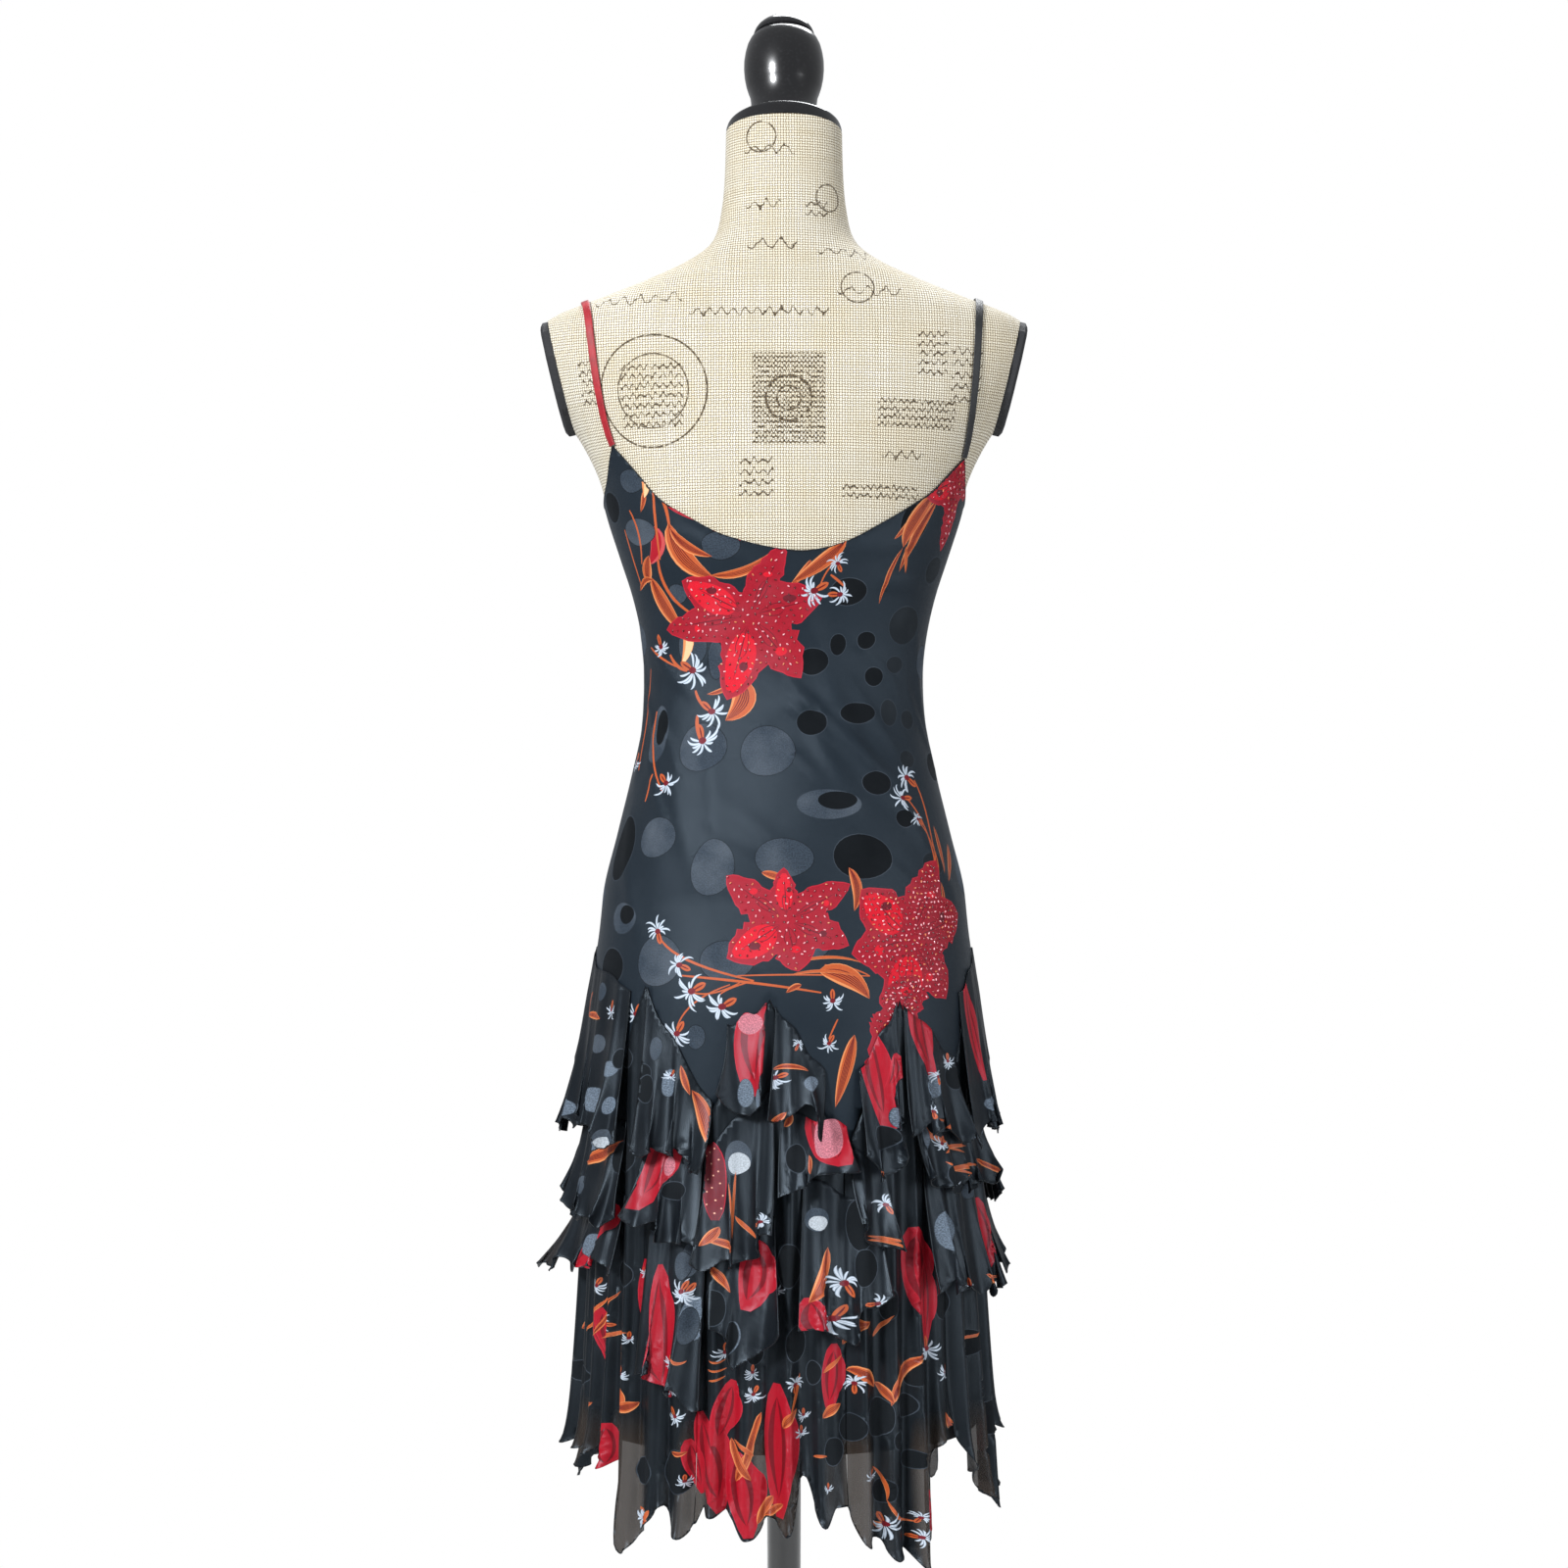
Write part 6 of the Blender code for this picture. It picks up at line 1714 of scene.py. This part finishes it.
FLOUNCE_PATCHES = (
    (-4.0, 0.8552, -10.2, 0.8264, -9.4, 0.7728, 31.6, "red"),
    (22.8, 0.8376, 25.2, 0.7856, 28.8, 0.744, 20.5, "red"),
    (31.6, 0.8048, 32.8, 0.7912, 28.6, 0.776, 11.1, "red"),
    (39.2, 0.8608, 38.8, 0.82, 44.0, 0.7848, 19.0, "red"),
    (63.6, 0.8608, 66.0, 0.8184, 67.4, 0.7752, 17.0, "red"),
    (-32.0, 0.7608, -34.0, 0.7208, -39.4, 0.6776, 23.7, "red"),
    (-20.8, 0.736, -19.2, 0.7072, -18.6, 0.672, 20.5, "deep"),
    (-56.2, 0.6808, -55.0, 0.6664, -57.0, 0.6472, 23.7, "red"),
    (-58.2, 0.6472, -61.8, 0.6288, -64.4, 0.6112, 15.8, "red"),
    (-76.0, 0.56, -66.6, 0.5608, -57.0, 0.5552, 9.5, "red"),
    (-7.6, 0.6552, -6.6, 0.6288, -9.4, 0.6, 25.0, "red"),
    (6.4, 0.6112, 6.8, 0.5928, 8.4, 0.5744, 14.2, "red"),
    (7.0, 0.7568, 13.4, 0.7352, 15.0, 0.7168, 30.0, "red"),
    (67.2, 0.676, 67.6, 0.6488, 66.4, 0.6168, 17.4, "red"),
    (49.0, 0.6016, 48.0, 0.584, 47.8, 0.5624, 9.5, "deep"),
)
FLOUNCE_LEAVES = (
    (-49.0, 0.8512, -46.8, 0.8608, -43.6, 0.8552, 6.0),
    (-44.0, 0.8656, -41.6, 0.86, -41.2, 0.848, 5.1), (40.6, 0.7432, 45.8, 0.7272, 58.0, 0.716, 2.5),
    (42.8, 0.7512, 48.2, 0.7416, 51.6, 0.7256, 2.5),
    (44.4, 0.7144, 49.6, 0.7088, 57.4, 0.6976, 2.5),
    (28.4, 0.7016, 34.4, 0.7128, 40.0, 0.7256, 2.5), (-2.6, 0.7936, 1.6, 0.8, 6.4, 0.792, 4.2),
    (-25.4, 0.768, -21.4, 0.7544, -18.8, 0.7344, 7.6), (0.2, 0.7472, 2.2, 0.752, 1.6, 0.76, 5.1),
    (-12.8, 0.7112, -13.2, 0.688, -12.2, 0.6584, 2.5),
    (-72.8, 0.8488, -77.0, 0.839, -76.0, 0.827, 4.2),
    (-26.2, 0.7752, -20.4, 0.7544, -18.6, 0.7248, 11.9),
    (-29.2, 0.7952, -28.0, 0.7824, -26.6, 0.7712, 4.7),
    (-70.0, 0.705, -57.6, 0.7144, -49.0, 0.7296, 11.1),
    (-49.4, 0.8624, -45.0, 0.852, -40.4, 0.8464, 9.5),
    (18.8, 0.8296, 16.6, 0.7984, 14.2, 0.7656, 11.9), (-2.2, 0.7488, 0.0, 0.7536, 1.6, 0.76, 6.3),
    (22.4, 0.7048, 24.2, 0.7096, 26.4, 0.712, 4.7), (28.6, 0.656, 25.8, 0.6552, 23.2, 0.66, 2.4),
    (23.2, 0.6568, 26.8, 0.6528, 30.0, 0.6504, 2.4),
    (40.8, 0.7488, 42.0, 0.7352, 45.8, 0.7288, 4.0),
    (45.6, 0.7208, 51.6, 0.7272, 58.8, 0.7224, 3.2), (48.0, 0.704, 54.4, 0.7096, 61.2, 0.7064, 4.0),
    (62.6, 0.7112, 67.6, 0.7024, 70.8, 0.6928, 4.7), (7.2, 0.7104, 7.8, 0.7176, 6.6, 0.7248, 6.3),
    (12.2, 0.6504, 10.6, 0.6248, 6.4, 0.6072, 11.9),
    (17.4, 0.6152, 22.8, 0.6016, 20.6, 0.5864, 15.8),
    (-51.6, 0.604, -57.4, 0.5792, -66.0, 0.566, 3.2),
    (-53.8, 0.5952, -62.2, 0.5728, -69.0, 0.564, 3.2),
    (-74.0, 0.563, -63.6, 0.5656, -44.8, 0.5744, 4.0),
    (-15.2, 0.7024, -13.2, 0.676, -12.8, 0.6504, 2.4),
    (-12.0, 0.676, -10.0, 0.6664, -8.2, 0.6568, 2.4),
    (54.2, 0.8424, 49.6, 0.8376, 46.6, 0.8304, 7.1),
    (-20.8, 0.6576, -14.6, 0.6536, -12.8, 0.6488, 6.3),
    (-5.4, 0.8104, -3.8, 0.8032, -2.6, 0.7936, 5.5), (32.8, 0.708, 36.0, 0.716, 39.0, 0.7272, 2.4),
    (-76.0, 0.829, -67.0, 0.8304, -62.2, 0.828, 6.3),
    (16.4, 0.8656, 18.4, 0.856, 21.6, 0.8448, 11.1), (60.2, 0.6152, 64.4, 0.608, 68.8, 0.6096, 6.3),
)
FLOUNCE_FLOWERS = (
    (-56.8, 0.836, 8.5, 80), (-42.8, 0.8336, 7.6, 90), (-94.6, 0.7864, 7.6, 80),
    (-2.2, 0.7824, 6.6, 90), (-84.2, 0.8096, 5.7, 80), (4.8, 0.8168, 5.7, 90),
    (49.6, 0.6944, 6.6, 60), (-43.2, 0.836, 7.1, 90), (3.8, 0.8136, 5.5, 240),
    (-1.8, 0.7872, 9.5, 20), (11.0, 0.8184, 7.9, 130), (15.6, 0.8136, 7.1, 80),
    (14.0, 0.844, 10.3, 0), (45.2, 0.784, 7.1, 270), (27.0, 0.6832, 7.9, 290),
    (29.4, 0.648, 7.1, 60), (30.2, 0.632, 7.1, 100), (-62.0, 0.6008, 10.3, 300),
    (-53.8, 0.6256, 7.9, 300), (-26.4, 0.6104, 11.1, 50), (15.4, 0.6216, 12.6, 300),
    (13.4, 0.5936, 11.9, 60), (25.0, 0.6056, 7.9, 180), (-4.6, 0.6728, 7.1, 200),
    (53.6, 0.6096, 7.1, 90), (45.4, 0.728, 7.1, 60), (48.8, 0.7056, 7.1, 180),
    (41.4, 0.7576, 6.3, 270), (51.8, 0.7944, 7.1, 90), (-47.0, 0.8312, 6.3, 80),
    (-32.2, 0.7864, 5.5, 60),
)


def flounce_motifs():
    """The motifs of each flounce of the back: those whose middle shows on it."""
    every = []
    for kind, make in (("deep", deep_stripe), ("red", red_stripe)):
        every += skirt_curves([row[:7] for row in FLOUNCE_PATCHES if row[7] == kind], make)
    every += dots_of(FLOUNCE_DOTS) + skirt_curves(FLOUNCE_LEAVES, leaf)
    every += flowers_of(FLOUNCE_FLOWERS, FLOUNCE_SEED) + skirt_print()
    found = {row[0]: [] for row in FLOUNCE_ROWS}
    for bearing, height, shapes in every:
        on = [row[0] for row in FLOUNCE_ROWS if in_flounce(row, bearing, height)]
        for name in on[:1]:
            found[name] += placed(shapes, bearing, height)
    return found


on_flounces = flounce_motifs()
flounces = [build_flounce(side, row, turn, on_flounces[row[0]])
            for side, turn in (("back", 0.0), ("front", 180.0)) for row in FLOUNCE_ROWS]
print(len(flounces), "flounces of", sum(len(made.data.polygons) for made in flounces), "faces")

# %% [markdown]
# ## Lining and straps
# A short plain lining hangs inside the skirt. The straps are narrow tubes of satin pressed flat,
# one red and one black, that lie on the shoulders. Each follows the form from the peak of the back
# to the peak of the front.

# %% Lining
LINING_TOP, LINING_HEM, LINING_GAP = 0.820, 0.480, 0.0010
LINING_COLUMNS, LINING_PITCH = 144, 0.0070
LINING_DEPTHS = (0.0004, 0.0010)      # of its outer and inner side, under the gap


def build_lining():
    heights = np.concatenate((np.linspace(LINING_TOP, LINING_HEM + 0.004, 38),
                              LINING_HEM + np.array((0.0022, 0.0010, 0.0))))
    bearings = np.arange(LINING_COLUMNS) * 360.0 / LINING_COLUMNS
    fall = ((LINING_TOP - heights) / (LINING_TOP - LINING_HEM))[:, None]
    ripple = 0.0008 * fall * (np.sin(np.radians(9 * bearings)) - 1.0)[None, :]
    outer, inner = [ring(dress_section(heights[:, None]), bearings[None, :], heights[:, None],
                         ripple - LINING_GAP - depth) for depth in LINING_DEPTHS]
    mesh_bm = bmesh.new()
    layers = [loft(mesh_bm, points, lambda row, column, i: (column * LINING_PITCH, heights[row]))
              for points in (outer, inner)]
    for i in range(LINING_COLUMNS):
        k = (i + 1) % LINING_COLUMNS
        for j in (0, -1):
            mesh_bm.faces.new((layers[0][j][i], layers[0][j][k], layers[1][j][k], layers[1][j][i]))
    made = finish_mesh("lining_tube", mesh_bm, plain_black, angle=SOFT_ANGLE)
    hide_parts("lining")
    return made


def build_plain(name, colour, dark, roughness):
    """Plain satin for the lining and the straps."""
    material, tree, shader = new_material(name)
    place = add(tree, "UVMap", {"uv_map": "cloth"}).outputs[0]
    weave = use(tree, weave_group, Place=place, Threads=2200.0, Wobble=0.2)
    cloud = noise(tree, place, 60.0)
    tone = calc(tree, "ADD", calc(tree, "MULTIPLY", weave["Thread"], 0.4),
                calc(tree, "MULTIPLY", cloud, 0.6))
    feed(tree, shader, Base_Color=blend(tree, spread(tree, tone, 0.35, 0.65), dark, colour),
         Roughness=spread(tree, cloud, 0.3, 0.7, roughness - 0.05, roughness + 0.06),
         Sheen_Weight=0.1, Normal=relief(tree, 0.4, 0.0002, weave["Height"]))
    return material


plain_black = build_plain("plain_black_satin", linear((27, 30, 35)), linear((13, 15, 18)), 0.45)
plain_red = build_plain("plain_red_satin", linear((178, 22, 38)), linear((126, 8, 22)), 0.42)
lining = build_lining()
print("lining of", len(lining.data.polygons), "faces")

# %% Straps
STRAP_WIDTH, STRAP_THICK = 0.0068, 0.0013
STRAP_OFF_FORM, STRAP_OFF_EDGE = 0.0012, 0.0008
STRAP_CENTRE_Z = 1.300
STRAP_REACH, STRAP_HALVINGS = 0.30, 36    # to find the form's surface from that height
STRAP_SMOOTH = 12         # steps to either side over which its course is evened
STRAP_SIDES, STRAP_PITCH = 14, 0.0011
STRAP_ROWS = (("red", "strap_left", -55.0, -123.0, -0.174),
              ("black", "strap_right", 63.5, 123.0, 0.168))


def form_measure(points):
    """Below 1 inside the form and above 1 outside it."""
    half_width, back, front = form_section(points[..., 2])
    depth = np.where(points[..., 1] < 0, back, front)
    return (np.abs(points[..., 0] / half_width) ** SQUARENESS
            + np.abs(points[..., 1] / depth) ** SQUARENESS)


def on_form(x, turn):
    direction = np.stack((0.0 * turn, np.cos(turn), np.sin(turn)), -1)
    start = np.stack((x, 0.0 * x, 0.0 * x + STRAP_CENTRE_Z), -1)
    near, far = np.zeros(len(x)), np.full(len(x), STRAP_REACH)
    for _ in range(STRAP_HALVINGS):
        middle = 0.5 * (near + far)
        inside = form_measure(start + middle[:, None] * direction) < 1.0
        near, far = np.where(inside, middle, near), np.where(inside, far, middle)
    return start + near[:, None] * direction


def strap_path(back_bearing, front_bearing, top_x, steps=72):
    ends = []
    for bearing in (back_bearing, front_bearing):
        height = float(top_height(bearing)) + STRAP_OFF_EDGE
        ends.append(ring(form_section(np.array(height)), bearing, height))
    turns = [math.atan2(end[2] - STRAP_CENTRE_Z, end[1]) for end in ends]
    if turns[0] < 0:
        turns[0] += 2.0 * math.pi
    share = np.linspace(0.0, 1.0, steps + 1)
    x = np.interp(share, (0.0, 0.5, 1.0), (ends[0][0], top_x, ends[1][0]))
    window = np.hanning(2 * STRAP_SMOOTH + 1)
    smooth = np.convolve(np.pad(x, STRAP_SMOOTH, mode="edge"), window / window.sum(), "valid")
    blend_in = np.clip(np.minimum(share, 1 - share) * 8.0, 0.0, 1.0)
    x = x + (smooth - x) * blend_in
    return on_form(x, turns[0] + (turns[1] - turns[0]) * share)


def build_strap(colour, node, back_bearing, front_bearing, top_x):
    path = strap_path(back_bearing, front_bearing, top_x)
    probe = 0.0005
    slope = np.stack([form_measure(path + probe * axis) - form_measure(path - probe * axis)
                      for axis in np.eye(3)], -1)
    normal = slope / np.linalg.norm(slope, axis=1, keepdims=True)
    along = np.gradient(path, axis=0)
    along /= np.linalg.norm(along, axis=1, keepdims=True)
    side = np.cross(along, normal)
    side /= np.linalg.norm(side, axis=1, keepdims=True)
    up_side = np.cross(side, along)
    up_side *= np.sign((up_side * normal).sum(axis=1))[:, None]
    turn = np.linspace(0.0, 2.0 * math.pi, STRAP_SIDES, endpoint=False)
    wide = 0.5 * STRAP_WIDTH * np.sign(np.cos(turn)) * np.abs(np.cos(turn)) ** 0.45
    tall = 0.5 * STRAP_THICK * (1.0 + np.sign(np.sin(turn)) * np.abs(np.sin(turn)) ** 0.6)
    points = (path[:, None] + side[:, None] * wide[None, :, None]
              + up_side[:, None] * (STRAP_OFF_FORM + tall)[None, :, None])
    length = np.concatenate(([0.0], np.cumsum(np.linalg.norm(np.diff(path, axis=0), axis=1))))
    mesh_bm = bmesh.new()
    close_ends(mesh_bm, loft(mesh_bm, points,
                             lambda row, column, i: (column * STRAP_PITCH, length[row])))
    material = plain_red if colour == "red" else plain_black
    made = finish_mesh("satin_" + node, mesh_bm, material,
                       angle=SOFT_ANGLE)
    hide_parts(node)
    return made


straps = [build_strap(*row) for row in STRAP_ROWS]
print([strap.name for strap in straps])

# %% [markdown]
# ## Beads
# Small glass beads are sewn all over the lilies. One bead is made by hand from a six-sided
# cylinder with bevelled ends, and its copies are scattered evenly inside the same petals that the
# print uses, each lying flat on the cloth in a direction of its own, in ruby, pink, dark and amber
# glass.

# %% Beads
BEAD_RADIUS, BEAD_LENGTH, BEAD_BEVEL = 0.00060, 0.0021, 0.00028
BEAD_SEAT = 0.0004        # middle of a bead over the cloth
BEAD_MARGIN = 0.003       # from the top edge and from the seam
BEAD_INSET = 0.0010       # from the outline of a petal
BEAD_ROW, BEAD_STRAY = 0.87, 0.13     # between rows, and off its place, as shares of the spacing
BEAD_PROBE = 0.0004       # distance over which a bead's direction is read
BEAD_TINTS = ((150, 14, 34), (238, 168, 176), (86, 4, 16), (214, 128, 84))
BEAD_SHARES = (0.30, 0.30, 0.24, 0.16)


def bead_shape():
    bpy.ops.object.select_all(action="DESELECT")
    bpy.ops.mesh.primitive_cylinder_add(vertices=6, radius=BEAD_RADIUS, depth=BEAD_LENGTH,
                                        end_fill_type="NGON")
    bead = bpy.context.object
    bpy.ops.object.mode_set(mode="EDIT")
    bpy.ops.mesh.select_mode(type="FACE")
    bpy.ops.mesh.select_all(action="DESELECT")
    bpy.ops.mesh.select_face_by_sides(number=6)
    bpy.ops.mesh.bevel(offset=BEAD_BEVEL, segments=1, affect="EDGES")
    bpy.ops.object.mode_set(mode="OBJECT")
    points = np.array([vert.co[:] for vert in bead.data.vertices])
    faces = [list(face.vertices) for face in bead.data.polygons]
    bpy.data.objects.remove(bead, do_unlink=True)
    return points, faces


bead_points, bead_faces = bead_shape()
print("a bead has", len(bead_faces), "faces")


def beads_of(petals, spacing, seed, rng):
    """Places and directions of the beads of one lily, scattered evenly over all its petals."""
    outlines = [petal(row[:2], row[2], -BEAD_INSET, "lily", seed + k)[1]
                for k, row in enumerate(in_metres(petals))]
    every = np.concatenate(outlines)
    low, high = every.min(axis=0), every.max(axis=0)
    found = []
    for j, y in enumerate(np.arange(low[1], high[1], BEAD_ROW * spacing)):
        for x in np.arange(low[0] + 0.5 * spacing * (j % 2), high[0], spacing):
            spot = np.array((x, y)) + rng.normal(0.0, BEAD_STRAY * spacing, 2)
            if any(covered(spot[None], outline)[0] for outline in outlines):
                found.append((spot, rng.uniform(0.0, math.pi)))
    return found


def build_beads(name, centre, mirror, seed):
    rng = np.random.default_rng(seed)
    place = dress_place(centre, BODY_SCALE, crease_out)
    points, faces, tints = [], [], []
    for index, (_, bearing, height, petals, spacing) in enumerate(BODY_LILIES):
        foot, stretch = spot_on(centre + mirror * bearing, height, centre, mirror)
        found = beads_of(petals, MM * spacing, LILY_SEED + index, rng)
        flat = np.array([foot + spot * stretch for spot, _ in found])
        top = top_height(centre + flat[:, 0] / BODY_SCALE) - BEAD_MARGIN
        low = seam_height(flat[:, 0] / BODY_SCALE) + BEAD_MARGIN
        ahead = flat + BEAD_PROBE * np.array([(mirror * math.cos(lean), math.sin(lean))
                                              for _, lean in found])
        at, normal = lay(place, flat)
        along = lay(place, ahead)[0] - at
        along /= np.linalg.norm(along, axis=1, keepdims=True)
        across = np.cross(normal, along)
        bare = np.array([not any(in_flounce(flounce, b, v) for flounce in FLOUNCE_ROWS)
                         for b, v in zip(flat[:, 0] / BODY_SCALE, flat[:, 1])])
        for k in np.flatnonzero((flat[:, 1] < top) & (flat[:, 1] > low) & bare):
            seat = at[k] + (CLOTH_OFF + CLOTH + BEAD_SEAT) * normal[k]
            start = len(points) * len(bead_points)
            points.append(seat + bead_points @ np.stack((across[k], normal[k], along[k])))
            faces += [[start + i for i in face] for face in bead_faces]
            tints += [rng.choice(len(BEAD_TINTS), p=BEAD_SHARES)] * len(bead_faces)
    mesh = bpy.data.meshes.new(name)
    mesh.from_pydata(np.concatenate(points).tolist(), [], faces)
    colours = np.array([linear(tint) for tint in BEAD_TINTS])
    lengths = [len(face) for face in faces]
    layer = mesh.color_attributes.new("tint", "BYTE_COLOR", "CORNER")
    layer.data.foreach_set("color", np.repeat(colours[tints], lengths, axis=0).ravel())
    mesh.materials.append(glass)
    mesh.shade_smooth()
    on_root(name, mesh)
    print(name, "has", len(points), "beads")


def build_glass():
    material, tree, shader = new_material("bead_glass")
    streak = noise(tree, add(tree, "TexCoord").outputs["Object"], 700.0)
    tint = add(tree, "Attribute", {"attribute_name": "tint"}).outputs["Color"]
    pale = blend(tree, spread(tree, streak, 0.5, 0.7, 0.0, 0.4), tint, (0.9, 0.75, 0.75, 1.0))
    feed(tree, shader, Base_Color=pale, Roughness=spread(tree, streak, 0.3, 0.7, 0.08, 0.25),
         Coat_Weight=0.5)
    return material


glass = build_glass()
build_beads("back_beads", 0.0, 1.0, 5)
build_beads("front_beads", 180.0, -1.0, 6)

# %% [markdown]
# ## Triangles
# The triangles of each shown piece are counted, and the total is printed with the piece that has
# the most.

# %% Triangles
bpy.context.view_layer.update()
faces = {piece.name: sum(len(face.vertices) - 2 for face in piece.data.polygons)
         for piece in bpy.data.objects if piece.type == "MESH" and not piece.hide_render}
print(sum(faces.values()), "triangles, most in", max(faces, key=faces.get), max(faces.values()))
